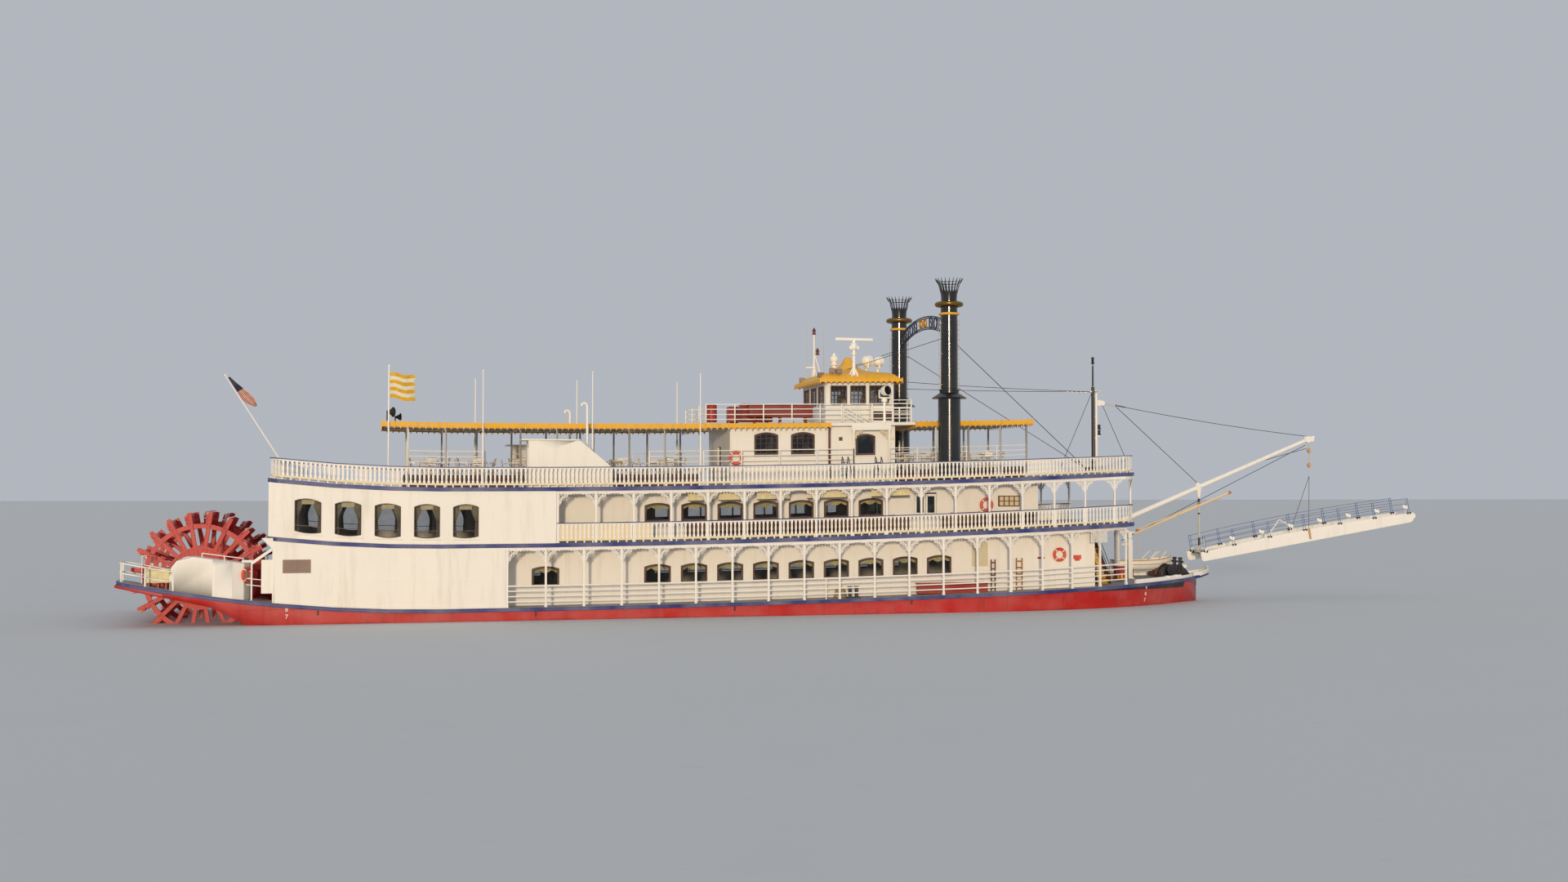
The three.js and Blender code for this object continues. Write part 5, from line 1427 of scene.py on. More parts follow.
tableSpots = [(x, y) for x in [-14.6 + 2.45 * i for i in range(6)] for y in (-1.45, 1.45)]
tableSpots += [(x, y) for x in (11.4, 13.6, 15.8) for y in (-1.45, 1.45)]
tablePlaces, chairPlaces = [], []
for x, y in tableSpots:
    z = canopy["floorTop"] + sheerAt(x, canopy["floorTop"])
    x += random.uniform(-0.08, 0.08)
    tablePlaces.append(moveBy(x, y, z))
    for quarter in range(4):
        turn = pi / 2 * quarter + random.uniform(-0.35, 0.35)
        out = turnBy(turn, "Z") @ moveBy(-0.72, 0, 0)
        chairPlaces.append(moveBy(x, y, z) @ out)
launch(spread(gardenTable(), tablePlaces), "deck_tables", "boardCream", 40, slot="house_white")
launch(spread(gardenChair(), chairPlaces), "deck_chairs", "railWhite", slot="house_white")

# tall light poles outside the aft canopy, on thicker socket posts
lightPole = {"xs": (-12.05, -6.52, -0.9), "y": -3.45, "socket": 9.25, "tip": 12.4, "arm": 8.9}
poles, y = [], lightPole["y"]
for x in lightPole["xs"]:
    low = deck["top"] + sheerAt(x, deck["top"])
    poles.append(upright(x, y, low, lightPole["socket"], 0.07, 0.06, 10))
    poles.append(upright(x, y, lightPole["socket"], lightPole["tip"], 0.036, 0.03, 8))
    poles.append(ball((x, y, lightPole["tip"] + 0.03), (0.05, 0.05, 0.06), 8))
    poles.append(brickOver(x, y, 0.12, 0.1, low, low + 0.05))
    poles.append(brick((x - 0.05, y - 0.02, lightPole["arm"]),
                       (x + 0.05, y + 0.3, lightPole["arm"] + 0.04)))
launchPair(poles, "light_poles", "railWhite", 50)

# gooseneck vent pipe that comes up behind the stair casing, and its twin to port
neck = [(-6.85, -3.9, 6.6), (-6.85, -3.9, 10.66), (-6.9, -3.9, 10.79), (-7.0, -3.9, 10.84),
        (-7.1, -3.9, 10.8), (-7.14, -3.9, 10.68)]
launchPair([pipes([neck], 0.07, 2), upright(-6.85, -3.9, 6.53, 6.62, 0.14, sides=12)], "gooseneck_vents",
           "railWhite", 50)

# loudspeakers on the aft corner of the canopy
speakers = []
for x, y, z, turn, size in [(-16.75, -2.3, 10.35, 0.5, 1.0), (-16.35, -2.0, 10.1, -0.3, 0.8)]:
    horn = turnedOn([(0, -0.02), (0.07, 0), (0.09, 0.1), (0.2, 0.3), (0.26, 0.34), (0.24, 0.35),
                     (0.05, 0.14), (0, 0.14)], 16)
    horn.data.transform(moveBy(x, y, z) @ turnBy(turn, "Z") @ turnBy(pi / 2, "Y")
                        @ Matrix.Scale(size, 4))
    speakers += [horn, upright(x, y, 9.8, z + 0.05, 0.03, sides=8)]
launch(speakers, "canopy_speakers", "speakerBlack", 40)

# small awning lip over each stair casing's door, and a hatch line on its side
lips = [timber((-10.3, -5.7, 8.86), (-7.4, -4.1, 8.93), 0.015),
        timber((-9.99, -5.32, 6.55), (-9.93, -4.5, 8.5), 0.01)]
launchPair(lips, "stair_casing_trim", "houseWhite")
print("top deck is done")


# Texas roof and pilothouse

def roofPaint(centre, normal):
    return 1 if normal.z > 0.6 else 0


reworked("texas_roof", [finishes["houseWhite"], finishes["deckGrey"]], roofPaint)

# rail round the roof, open where the stair comes up; bars at these heights over the roof
roofTop, standsAt = 9.78, 9.98  # the roof's skin, and the height where things stand on its crown
roofBars = [roofTop + up for up in (0.24, 0.5, 0.77, 1.03)]
roofRoute = [(10.8, -2.9), (-0.5, -2.9), (-0.5, 2.9), (10.8, 2.9)]
roofRailPosts = [(x, y) for x in (-0.5, 1.05, 2.6, 4.15, 5.7, 6.9, 8.6, 9.74, 10.8) for y in (-2.9, 2.9)]
roofRailPosts += [(-0.5, -1.0), (-0.5, 1.0)]
roofRail = barRail(roofRoute, roofBars, 0.026, [], roofTop)
roofPosts = lifted([timberOver(x, y, 0.032, 0.032, roofTop, roofBars[-1], 0.008)
                    for x, y in roofRailPosts])
noseBars = []
for up in (0.42, 0.62, 0.82, 1.02, 1.22):
    noseBars += [routeAlong([(9.74, -2.9), (10.8, -2.9), (10.8, -2.2)], roofTop + up),
                 routeAlong([(9.74, 2.9), (10.8, 2.9), (10.8, 2.2)], roofTop + up)]
nosePosts = lifted([brickOver(x, y, 0.035, 0.035, roofTop, roofTop + 1.25)
                    for x, y in ((9.74, -2.9), (10.8, -2.9), (10.8, -2.2), (9.74, 2.9), (10.8, 2.9),
                                 (10.8, 2.2))])
wholeRail = joined([roofRail, roofPosts, pipes(noseBars, 0.022, 1), nosePosts])
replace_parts(launch(wholeRail, "roof_railing_bars", "railWhite", 50), "roof_railing")

# sloping hand rails of the stair beside the pilothouse
stairRails = [[(6.99, -2.98, 10.88 - drop), (8.45, -2.98, 10.11 - drop)] for drop in (0.0, 0.2, 0.4)]
stairPosts = [[(x, -2.98, standsAt), (x, -2.98, z)] for x, z in ((6.99, 10.9), (7.7, 10.52), (8.45, 10.13))]
launch([pipes(stairRails, 0.024, 1), pipes(stairPosts, 0.03, 1)], "roof_stair_rails", "railWhite", 50)

pilot = {"aft": 6.13, "front": 9.97, "half": 2.4, "top": 12.05, "over": 0.36, "rise": 1.35, "sill": 10.82,
         "head": 11.8}


# a window with thin bars, drawn in x and z round its middle
def sash(width, height, columns, rows, rim=0.05, bar=0.026):
    parts = []
    for side in (-1, 1):
        parts.append(brick((side * width / 2 - rim / 2, -0.05, -height / 2),
                           (side * width / 2 + rim / 2, 0.03, height / 2)))
        parts.append(brick((-width / 2, -0.05, side * height / 2 - rim / 2),
                           (width / 2, 0.03, side * height / 2 + rim / 2)))
    for i in range(1, columns):
        x = -width / 2 + width * i / columns
        parts.append(brick((x - bar / 2, -0.02, -height / 2), (x + bar / 2, 0.015, height / 2)))
    for i in range(1, rows):
        z = -height / 2 + height * i / rows
        parts.append(brick((-width / 2, -0.018, z - bar / 2), (width / 2, 0.013, z + bar / 2)))
    return joined(parts)


pilotGlass, pilotBars, pilotTrims = [], [], []
middle, tall = (pilot["sill"] + pilot["head"]) / 2, pilot["head"] - pilot["sill"]
for x0, x1 in ((6.44, 7.31), (7.54, 8.37), (8.61, 9.67)):
    for side in (-1, 1):
        place = moveBy((x0 + x1) / 2, side * pilot["half"], middle)
        pilotBars.append(sash(x1 - x0, tall, 4, 4))
        pilotBars[-1].data.transform(place @ Matrix.Diagonal((1, -side, 1, 1)))
        pilotGlass.append(brick((x0, side * pilot["half"] - side * 0.07 - 0.006, pilot["sill"]),
                                (x1, side * pilot["half"] - side * 0.07 + 0.006, pilot["head"])))
        pilotTrims.append(timber((x0 - 0.06, side * pilot["half"] - 0.035, pilot["sill"] - 0.09),
                                 (x1 + 0.06, side * pilot["half"] + 0.035, pilot["sill"] - 0.03), 0.01))
for y in (-1.55, 0.0, 1.55):
    for x, out in ((pilot["aft"], -1), (pilot["front"], 1)):
        place = moveBy(x, y, middle) @ turnBy(pi / 2, "Z")
        pilotBars.append(sash(1.1, tall, 4, 4))
        pilotBars[-1].data.transform(place)
        pilotGlass.append(brickOver(x - out * 0.07, y, 0.006, 0.55, pilot["sill"], pilot["head"]))
        pilotTrims.append(timberOver(x, y, 0.035, 0.61, pilot["sill"] - 0.09, pilot["sill"] - 0.03, 0.01))
# rails and belts on the walls
for z, high in ((10.6, 10.66), (9.84, 9.94)):
    for side in (-1, 1):
        pilotTrims.append(timber((6.1, side * 2.42 - 0.02, z), (9.99, side * 2.42 + 0.02, high), 0.008))
    for x in (6.11, 9.99):
        pilotTrims.append(timberOver(x, 0, 0.02, 2.4, z, high, 0.008))
launch(lifted(mended(pilotBars)), "pilothouse_sashes", "frameDark")
launch(lifted(pilotGlass), "pilothouse_glass", "glassClear")
launch(lifted(pilotTrims), "pilothouse_trim", "houseWhite")

# inside the pilothouse: console, wheel and chair seen through the glass
console = timber((9.1, -1.5, 10.0), (9.7, 1.5, 10.95), 0.05)
helm = [hoop((8.95, 0, 11.0), 0.42, 0.035, turnBy(pi / 2, "Y"), 28, 6),
        barrel((8.9, 0, 11.0), (9.12, 0, 11.0), 0.06, sides=10)]
for spoke in range(8):
    a = pi / 4 * spoke
    helm.append(barrel((8.95, 0, 11.0), (8.95, 0.52 * cos(a), 11.0 + 0.52 * sin(a)), 0.018, sides=6))
chair = [timber((7.6, -0.3, 10.62), (8.1, 0.3, 10.74), 0.03),
         timber((7.52, -0.3, 10.7), (7.62, 0.3, 11.4), 0.03), upright(7.85, 0, 10.0, 10.65, 0.05, sides=10)]
launch(lifted(helm + chair), "pilothouse_fittings", "benchWood", 40, slot="engine_grey")
launch(lifted(console), "pilothouse_console", "frameDark")

# bell roof: the CAD shape softened, with a fringe of smaller scallops
smoothRoof = {"shares": [(1.0, 0.0), (1.0, 0.05), (0.985, 0.1), (0.955, 0.17), (0.905, 0.25), (0.84, 0.31),
                         (0.76, 0.355), (0.66, 0.39), (0.55, 0.42), (0.45, 0.452), (0.36, 0.5),
                         (0.28, 0.57), (0.21, 0.66), (0.15, 0.78), (0.105, 0.9), (0.08, 1.0)],
              "corner": 0.25, "steps": 5}


def bellRing(share, up):
    long = (pilot["front"] - pilot["aft"]) / 2 + pilot["over"]
    wide = pilot["half"] + pilot["over"]
    middleX = (pilot["aft"] + pilot["front"]) / 2
    corner = smoothRoof["corner"] * share
    ring = []
    for quarter, (sx, sy) in enumerate([(1, 1), (-1, 1), (-1, -1), (1, -1)]):
        start = quarter * pi / 2
        ring += arc(middleX + sx * (long * share - corner), sy * (wide * share - corner), corner, start,
                    start + pi / 2, smoothRoof["steps"])
    return [(x, y, pilot["top"] + up * pilot["rise"]) for x, y in ring]


roof = lifted(ringed([bellRing(share, up) for share, up in smoothRoof["shares"]]))
peak = lifted(ball((8.05, 0, 13.42), (0.2, 0.24, 0.12), 16))
soffit = lifted(timber((5.86, -2.68, 11.99), (10.24, 2.68, 12.06), 0.01))
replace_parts(launch([roof, peak], "pilothouse_bell_roof", "roofYellow", 45),
            "pilothouse_roof")
# the soffit gets the brown painted shade of the ceilings
launch(soffit, "pilothouse_soffit", "ceilingWhite")


def smallFringe(corners, top, share):
    made = fringeAlong(corners, top)
    for vertex in made.data.vertices:
        base = top + sheerAt(vertex.co.x, top)
        vertex.co.z = base + (vertex.co.z - base) * share
    return made


eave = {"x0": 5.73, "x1": 10.37, "half": 2.8, "top": 12.16, "share": 0.74}
eaveCorners = [(eave["x0"], -eave["half"]), (eave["x1"], -eave["half"]), (eave["x1"], eave["half"]),
               (eave["x0"], eave["half"]), (eave["x0"], -eave["half"])]
launch(smallFringe(eaveCorners, eave["top"], eave["share"]), "pilothouse_fringe", "roofYellow")

# radar mast on a splayed foot, with its motor housing, and the turning scanner
radar = {"x": 7.72, "y": -2.42, "top": 14.36, "bar": 2.1}
mastParts = [upright(radar["x"], radar["y"], 12.45, 14.05, 0.1, 0.09, 16),
             bevelled(upright(radar["x"], radar["y"], 14.0, 14.34, 0.2, sides=16), 0.03, 2),
             upright(radar["x"], radar["y"], 13.72, 13.78, 0.2, sides=14)]
for side in (-1, 1):
    mastParts.append(timberOver(radar["x"] + side * 0.19, radar["y"], 0.09, 0.13, 13.98, 14.2, 0.04, 2))
for dx, dy in ((-0.34, 0.0), (0.34, 0.0), (0.0, 0.3), (-0.2, -0.18), (0.2, -0.18)):
    mastParts.append(barrel((radar["x"] + dx, radar["y"] + dy, 12.42 if dy <= 0 else 12.6),
                            (radar["x"] + dx * 0.15, radar["y"] + dy * 0.15, 13.0), 0.045, 0.03, 8))
launch(mastParts, "radar_mast", "railWhite", 40, slot="spar_white")
scannerParts = [upright(radar["x"], radar["y"], radar["top"], radar["top"] + 0.14, 0.1, sides=14),
                timberOver(radar["x"], radar["y"], radar["bar"] / 2, 0.1, radar["top"] + 0.1,
                           radar["top"] + 0.26, 0.035, 2),
                brick((radar["x"] - radar["bar"] / 2 + 0.06, radar["y"] - 0.104, radar["top"] + 0.165),
                      (radar["x"] + radar["bar"] / 2 - 0.06, radar["y"] - 0.098, radar["top"] + 0.195))]
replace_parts(launch(scannerParts, "radar_scanner_bar", "lampWhite", 40, body="scanner"),
            "radar_scanner")

# lantern mast, yard and whip aerials behind the roof's aft half
lanternMast = {"x": 6.54, "y": 1.5, "foot": 12.69, "tops": [15.16, 14.02], "yard": 13.28}
mx, my = lanternMast["x"], lanternMast["y"]
posts = [upright(mx, my, lanternMast["foot"] - 0.15, lanternMast["tops"][0], 0.06, 0.05, 10),
         barrel((mx + 0.42, my, 12.75), (mx + 0.06, my, 13.95), 0.035, sides=8),
         barrel((mx, my + 0.4, 12.65), (mx, my + 0.05, 13.95), 0.035, sides=8),
         barrel((mx, my, 13.9), (mx + 0.19, my, 14.0), 0.03, sides=8),
         timber((mx - 0.48, my - 0.05, lanternMast["yard"] - 0.05),
                (mx + 0.1, my + 0.05, lanternMast["yard"] + 0.05), 0.02)]
for dx, dy in ((-0.18, -0.12), (0.18, -0.12), (0, 0.2)):
    posts.append(barrel((mx + dx, my + dy, 12.62), (mx + dx * 0.2, my + dy * 0.2, 13.2), 0.03, sides=6))
launch(posts, "lantern_mast", "railWhite", 40, slot="spar_white")


def lantern(x, y, z, size=1.0):
    profile = [(0, 0), (0.11, 0), (0.12, 0.04), (0.085, 0.06), (0.085, 0.2), (0.12, 0.22), (0.05, 0.32),
               (0.03, 0.38), (0, 0.4)]
    made = turnedOn([(r * size, up * size) for r, up in profile], 14)
    made.data.transform(moveBy(x, y, z))
    return made


launch([lantern(mx, my, 15.14), lantern(mx + 0.2, my, 14.0)], "mast_lanterns", "lanternRed", 40)
whips = []
for x, y, low, high in ((6.16, 1.5, 12.6, 15.9), (7.11, 1.5, 12.9, 16.2), (7.45, 1.5, 12.95, 14.0)):
    whips.append(upright(x, y, low, low + (high - low) * 0.3, 0.03, 0.025, 8))
    whips.append(upright(x, y, low + (high - low) * 0.3, high, 0.02, 0.012, 6))
    whips.append(upright(x, y, low - 0.05, low + 0.12, 0.06, sides=8))
launch(whips, "whip_aerials", "pipeGrey", 50)

# box floodlights along the roof's aft edge, and the white dome and searchlight drums on top
boxes = []
for x, y, z, turn in ((5.95, -2.1, 12.62, 0.2), (6.5, -2.45, 12.85, -0.2), (6.85, -2.5, 12.8, 0.1),
                      (5.95, 1.9, 12.6, -0.2)):
    box = timber((-0.16, -0.11, -0.13), (0.16, 0.11, 0.13), 0.02)
    box.data.transform(moveBy(x, y, z) @ turnBy(turn, "Z"))
    boxes += [box, upright(x, y, z - 0.4, z - 0.1, 0.03, sides=6)]
launch(boxes, "roof_floodlights", "plateGrey")

dome = turnedOn([(0, 12.95), (0.13, 12.95), (0.13, 13.3), (0.24, 13.36), (0.25, 13.4), (0.13, 13.45),
                 (0.13, 13.5), (0.17, 13.53), (0.23, 13.62), (0.24, 13.72), (0.19, 13.83), (0.1, 13.88),
                 (0.1, 13.95), (0.05, 14.02), (0, 14.03)], 18)
dome.data.transform(moveBy(7.4, 0.4, 0))
launch(dome, "aerial_dome", "lampWhite", 40)


def drumLight(radius, length):  # points along +x, glass kept apart
    body = turnedOn([(0, 0), (radius * 0.5, 0.02), (radius * 0.85, 0.09), (radius, 0.2),
                     (radius, length - 0.04), (radius * 1.06, length - 0.03), (radius * 1.06, length),
                     (radius * 0.94, length)], 24)
    lens = turnedOn([(0, length - 0.05), (radius * 0.93, length - 0.02), (radius * 0.93, length + 0.005),
                     (0, length + 0.012)], 24)
    turn = turnBy(pi / 2, "Y") @ moveBy(0, 0, -length / 2)
    for obj in (body, lens):
        obj.data.transform(turn)
    return body, lens


def aimed(objs, place, heading, tilt):
    turn = Matrix.Translation(place) @ turnBy(heading, "Z") @ turnBy(-tilt, "Y")
    for obj in objs:
        obj.data.transform(turn)
    return objs


topDrum, topLens = aimed(drumLight(0.3, 0.5), (9.3, 0.5, 13.62), radians(35), 0.1)
secondDrum, secondLens = aimed(drumLight(0.27, 0.45), (9.75, -0.2, 13.55), radians(20), 0.1)
sideDrum, sideLens = aimed(drumLight(0.27, 0.46), (9.3, -2.95, 11.75), radians(-62), 0.12)
stands = []
for x, y, z, low in ((9.3, 0.5, 13.62, 12.75), (9.75, -0.2, 13.55, 12.7)):
    stands += [upright(x, y, low, z - 0.36, 0.07, sides=12),
               timberOver(x, y, 0.06, 0.36, z - 0.42, z - 0.34, 0.015)]
    for side in (-1, 1):
        stands.append(timberOver(x, y + side * 0.35, 0.05, 0.02, z - 0.38, z + 0.05, 0.01))
stands += [upright(9.3, -2.85, standsAt, 11.2, 0.09, 0.08, 14),
           bevelled(upright(9.3, -2.85, 11.15, 11.34, 0.17, sides=14), 0.03, 2),
           timber((9.0, -2.95, 11.34), (9.6, -2.78, 11.42), 0.02)]
for dx in (-0.3, 0.3):
    stands.append(timber((9.3 + dx - 0.025, -2.95, 11.36), (9.3 + dx + 0.025, -2.8, 11.8), 0.01))
launch(mended([topDrum, secondDrum, sideDrum] + stands), "searchlights", "lampWhite", 40)
launch([topLens, secondLens, sideLens], "searchlight_lenses", "glassDark", 40)

# white cabinet with a dark louvre on the roof beside the pilothouse
cabinet = timber((8.55, -2.86, standsAt), (9.85, -2.46, 10.95), 0.02)
launch(cabinet, "roof_cabinet", "houseWhite")
louvres = [brick((8.68, -2.88, 10.16), (9.72, -2.855, 10.66))]
for i in range(7):
    slat = brick((8.7, -2.9, 10.19 + 0.065 * i), (9.7, -2.87, 10.215 + 0.065 * i))
    louvres.append(slat)
launch(louvres, "cabinet_louvre", "frameDark")

# lockers and raft drum on the texas roof
lockers = [timber((1.87, -2.72, 10.28), (5.36, -2.24, 10.92), 0.03)]
for x in (2.2, 3.6, 5.0):
    for y in (-2.62, -2.34):
        lockers.append(brickOver(x, y, 0.04, 0.04, 9.92, 10.3))
for x in (2.75, 3.6, 4.5):
    lockers.append(timber((x - 0.02, -2.735, 10.3), (x + 0.02, -2.72, 10.9), 0.005))
lockers.append(timber((1.84, -2.75, 10.9), (5.39, -2.21, 10.96), 0.015))
launch(lockers, "roof_lockers", "lockerRed")
crates = [timber((1.6, -2.1, 10.05), (3.3, -1.3, 11.02), 0.04),
          timber((0.9, -2.1, standsAt), (1.45, -1.4, 10.85), 0.04)]
launch(crates, "roof_crates", "boxRed")
drum = turnedOn([(0, standsAt), (0.26, standsAt), (0.28, 10.02), (0.28, 10.38), (0.3, 10.4), (0.3, 10.46),
                 (0.28, 10.48), (0.28, 10.86), (0.22, 10.94), (0, 10.96)], 20)
drum.data.transform(moveBy(-0.12, -2.5, 0))
launch(drum, "raft_drum", "boxRed", 40)

# porch over the texas's forward door: posts, header and lace, with a dark downpipe and a small vent
porch = {"aft": 7.45, "front": 9.45, "y": -3.26, "foot": 6.55, "top": 9.4}
porchParts = [deckPost(porch["foot"], porch["top"]) for x in (porch["aft"], porch["front"])]
for post, x in zip(porchParts, (porch["aft"], porch["front"])):
    post.data.transform(moveBy(x, porch["y"], 0))
porchParts += [timber((7.35, -3.33, 9.36), (9.55, -3.19, 9.62), 0.015)]
porchLace = laceBracket(porch["top"])
bracketPlaces = [moveBy(porch["aft"], porch["y"], 0),
                 moveBy(porch["front"], porch["y"], 0) @ turnBy(pi, "Z")]
launch(lifted(porchParts), "porch_posts", "railWhite", 40)
launch(lifted(spread(porchLace, bracketPlaces)), "porch_lace", "boardCream")
downpipe = [timber((6.16, -2.96, 6.6), (6.28, -2.85, 9.6), 0.02),
            timber((6.75, -2.88, 8.82), (6.95, -2.85, 9.02), 0.01)]
launch(lifted(downpipe), "texas_downpipe", "wainscotBrown")
signs = [timber((9.62, -2.88, 8.82), (9.9, -2.855, 8.98), 0.008)]
launch(lifted(signs), "porch_plates", "boardCream", slot="house_white")

# small hand rails and step stools beside the texas
stools = []
for x in (6.9, 8.75):
    for side in (-0.16, 0.16):
        stools.append([(x + side - 0.12, -3.6, 6.6), (x + side + 0.02, -3.45, 7.9)])
        stools.append([(x + side + 0.3, -3.45, 6.6), (x + side + 0.05, -3.45, 7.86)])
    for up in (0.25, 0.5, 0.75):
        stools.append([(x - 0.16 - 0.12 + 0.14 * up, -3.58, 6.6 + 1.3 * up),
                       (x + 0.16 - 0.12 + 0.14 * up, -3.58, 6.6 + 1.3 * up)])
lift = sheerAt(7.8, deck["top"])
stoolPipes = pipes(stools, 0.022, 1)
stoolPipes.data.transform(moveBy(0, 0, lift))
launch(stoolPipes, "top_deck_steps", "ironBlack", slot="engine_grey")
print("pilothouse is done")


# Stacks, masts and rigging

stack = {"x": 12.47, "y": 4.34, "lower": 0.6, "upper": 0.45, "flangeZ": 11.4, "ringZ": 15.83,
         "torusZ": 16.35, "feathers": 20, "foot": deck["top"] + sheerAt(13.0, deck["top"]) + 0.02}


def flareAt(z):  # radius of the crown at a height
    return fromTable([(16.55, 0.42), (16.85, 0.44), (17.1, 0.48), (17.3, 0.53), (17.5, 0.61), (17.66, 0.7),
                      (17.75, 0.77)], z)


def atStack(obj, side):
    obj.data.transform(moveBy(stack["x"], side * stack["y"], 0))
    return obj


def stackBarrel():
    lower, upper, flange, ring = stack["lower"], stack["upper"], stack["flangeZ"], stack["ringZ"]
    neck = [(flareAt(z), z) for z in (16.55, 16.7, 16.85, 17.0)]
    return turnedOn([(0, stack["foot"]), (lower + 0.06, stack["foot"]), (lower + 0.06, stack["foot"] + 0.1),
                     (lower, stack["foot"] + 0.12), (lower, flange - 0.14), (0.9, flange - 0.12),
                     (0.94, flange - 0.08), (0.9, flange - 0.04), (0.52, flange + 0.2),
                     (0.52, flange + 0.3), (0.56, flange + 0.32), (0.56, flange + 0.38),
                     (upper, flange + 0.42), (upper, ring + 0.7)] + neck + [(0, 17.0)], 48)


def stackCrown():  # a solid neck with an arched edge, then thin feathers that flare and end in points
    feathers = []
    wide = 2 * pi / stack["feathers"]
    for i in range(stack["feathers"]):
        angle = wide * i
        spots = ((16.98, 0.5), (17.08, 0.3), (17.2, 0.16), (17.4, 0.12), (17.6, 0.09), (17.74, 0.015))
        left, right = [], []
        for z, share in spots:
            out = flareAt(z)
            for edge, sign in ((left, -1), (right, 1)):
                turn = angle + sign * wide * share
                edge.append((out * cos(turn), out * sin(turn), z))
        clearSelection()
        bpy.ops.mesh.primitive_circle_add(vertices=2 * len(spots), fill_type="NGON")
        blade = bpy.context.object
        for vertex, place in zip(blade.data.vertices, left + right[::-1]):
            vertex.co = place
        feathers.append(modified(blade, "SOLIDIFY", thickness=0.022, offset=0))
    rings = [hoop((0, 0, z), flareAt(z), 0.014, steps=40, sides=6) for z in (17.36, 17.52)]
    return joined(feathers + rings)


def stackLadder(aftward):  # pale rails with rungs up one side of the barrel
    foot, top, out, half = stack["flangeZ"] + 0.45, stack["ringZ"] - 0.3, stack["upper"] + 0.09, 0.13
    x = -aftward * out
    rails = pipes([[(x, side * half, foot), (x, side * half, top)] for side in (-1, 1)], 0.014, 1)
    count = 14
    rungs = pipes([[(x, -half, foot + (top - foot) * i / count), (x, half, foot + (top - foot) * i / count)]
                   for i in range(count + 1)], 0.009, 1)
    struts = [brick((min(x, x * 0.75), side * half - 0.012, z - 0.012),
                    (max(x, x * 0.75), side * half + 0.012, z + 0.012)) for side in (-1, 1)
              for z in (foot + 0.2, (foot + top) / 2, top - 0.2)]
    return joined([rails, rungs] + struts)


for side, label in shipSides:
    barrelPiece = joined([stackBarrel(), stackCrown()])
    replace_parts(launch(atStack(barrelPiece, side), "stack_barrel_" + label, "stackBlack", 35),
                "stack_" + label)
    ring = hoop((0, 0, stack["ringZ"]), 0.485, 0.07, steps=48, sides=10)
    launch(atStack(ring, side), "stack_ring_" + label, "roofYellow", 60)
    collar = hoop((0, 0, stack["torusZ"]), 0.62, 0.15, Matrix.Diagonal((1, 1, 0.85, 1)), steps=48, sides=14)
    launch(atStack(collar, side), "stack_collar_" + label, "bronze", 60)
    ladders = joined([stackLadder(1), stackLadder(-1)])
    launch(atStack(ladders, side), "stack_ladders_" + label, "pipeGrey", 50, slot="rail_white")

# arch between the stacks: two double bands with rings and slanting bars, gilt medallions at the middle
archWork = {"outer": (15.55, 16.15), "inner": (14.7, 15.35), "half": 3.9, "steps": 24}


def archHeight(bandEnds, y):
    return bandEnds[1] - (bandEnds[1] - bandEnds[0]) * (y / archWork["half"]) ** 2


def archLine(bandEnds, drop):
    ys = [archWork["half"] * (2 * i / archWork["steps"] - 1) for i in range(archWork["steps"] + 1)]
    return [(stack["x"], y, archHeight(bandEnds, y) + drop) for y in ys]


def ovalAt(y, wide, tall, thickness):
    low, high = archHeight(archWork["inner"], y), archHeight(archWork["outer"], y)
    turn = turnBy(pi / 2, "Y")
    ring = hoop((0, 0, 0), 1, thickness / wide, turn, 20, 6)
    ring.data.transform(moveBy(stack["x"], y, (low + high) / 2) @ Matrix.Diagonal((0.35, wide, tall, 1)))
    return ring


archParts = [pipes([archLine(archWork["outer"], -0.05), archLine(archWork["outer"], -0.15),
                    archLine(archWork["inner"], 0.05), archLine(archWork["inner"], 0.15)], 0.035, 2)]
for y in (-3.55, -2.85, -2.1, -1.35, 1.35, 2.1, 2.85, 3.55):
    archParts.append(ovalAt(y, 0.24, 0.3, 0.03))
bars = []
for y0, y1 in ((-3.25, -2.4), (-1.75, -1.0), (1.0, 1.75), (2.4, 3.25)):
    bars.append([(stack["x"], y0, archHeight(archWork["inner"], y0) + 0.1),
                 (stack["x"], y1, archHeight(archWork["outer"], y1) - 0.1)])
archParts.append(pipes(bars, 0.03, 1))
archTies = [pipes([[(stack["x"], y, archHeight(bandEnds, y) + sign * 0.05),
                    (stack["x"], y, archHeight(bandEnds, y) + sign * 0.15)]
                   for y in [0.35 * k for k in range(-11, 12)]], 0.012, 1)
            for bandEnds, sign in ((archWork["outer"], -1), (archWork["inner"], 1))]
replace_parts(launch(archParts + archTies, "stack_arch_bars", "archBlue", 50),
            "stack_arch")
launch([ovalAt(y, wide, tall, 0.02) for y in (-0.36, 0.36) for wide, tall in ((0.16, 0.27), (0.06, 0.13))],
       "stack_arch_medallions", "gilt", 60)

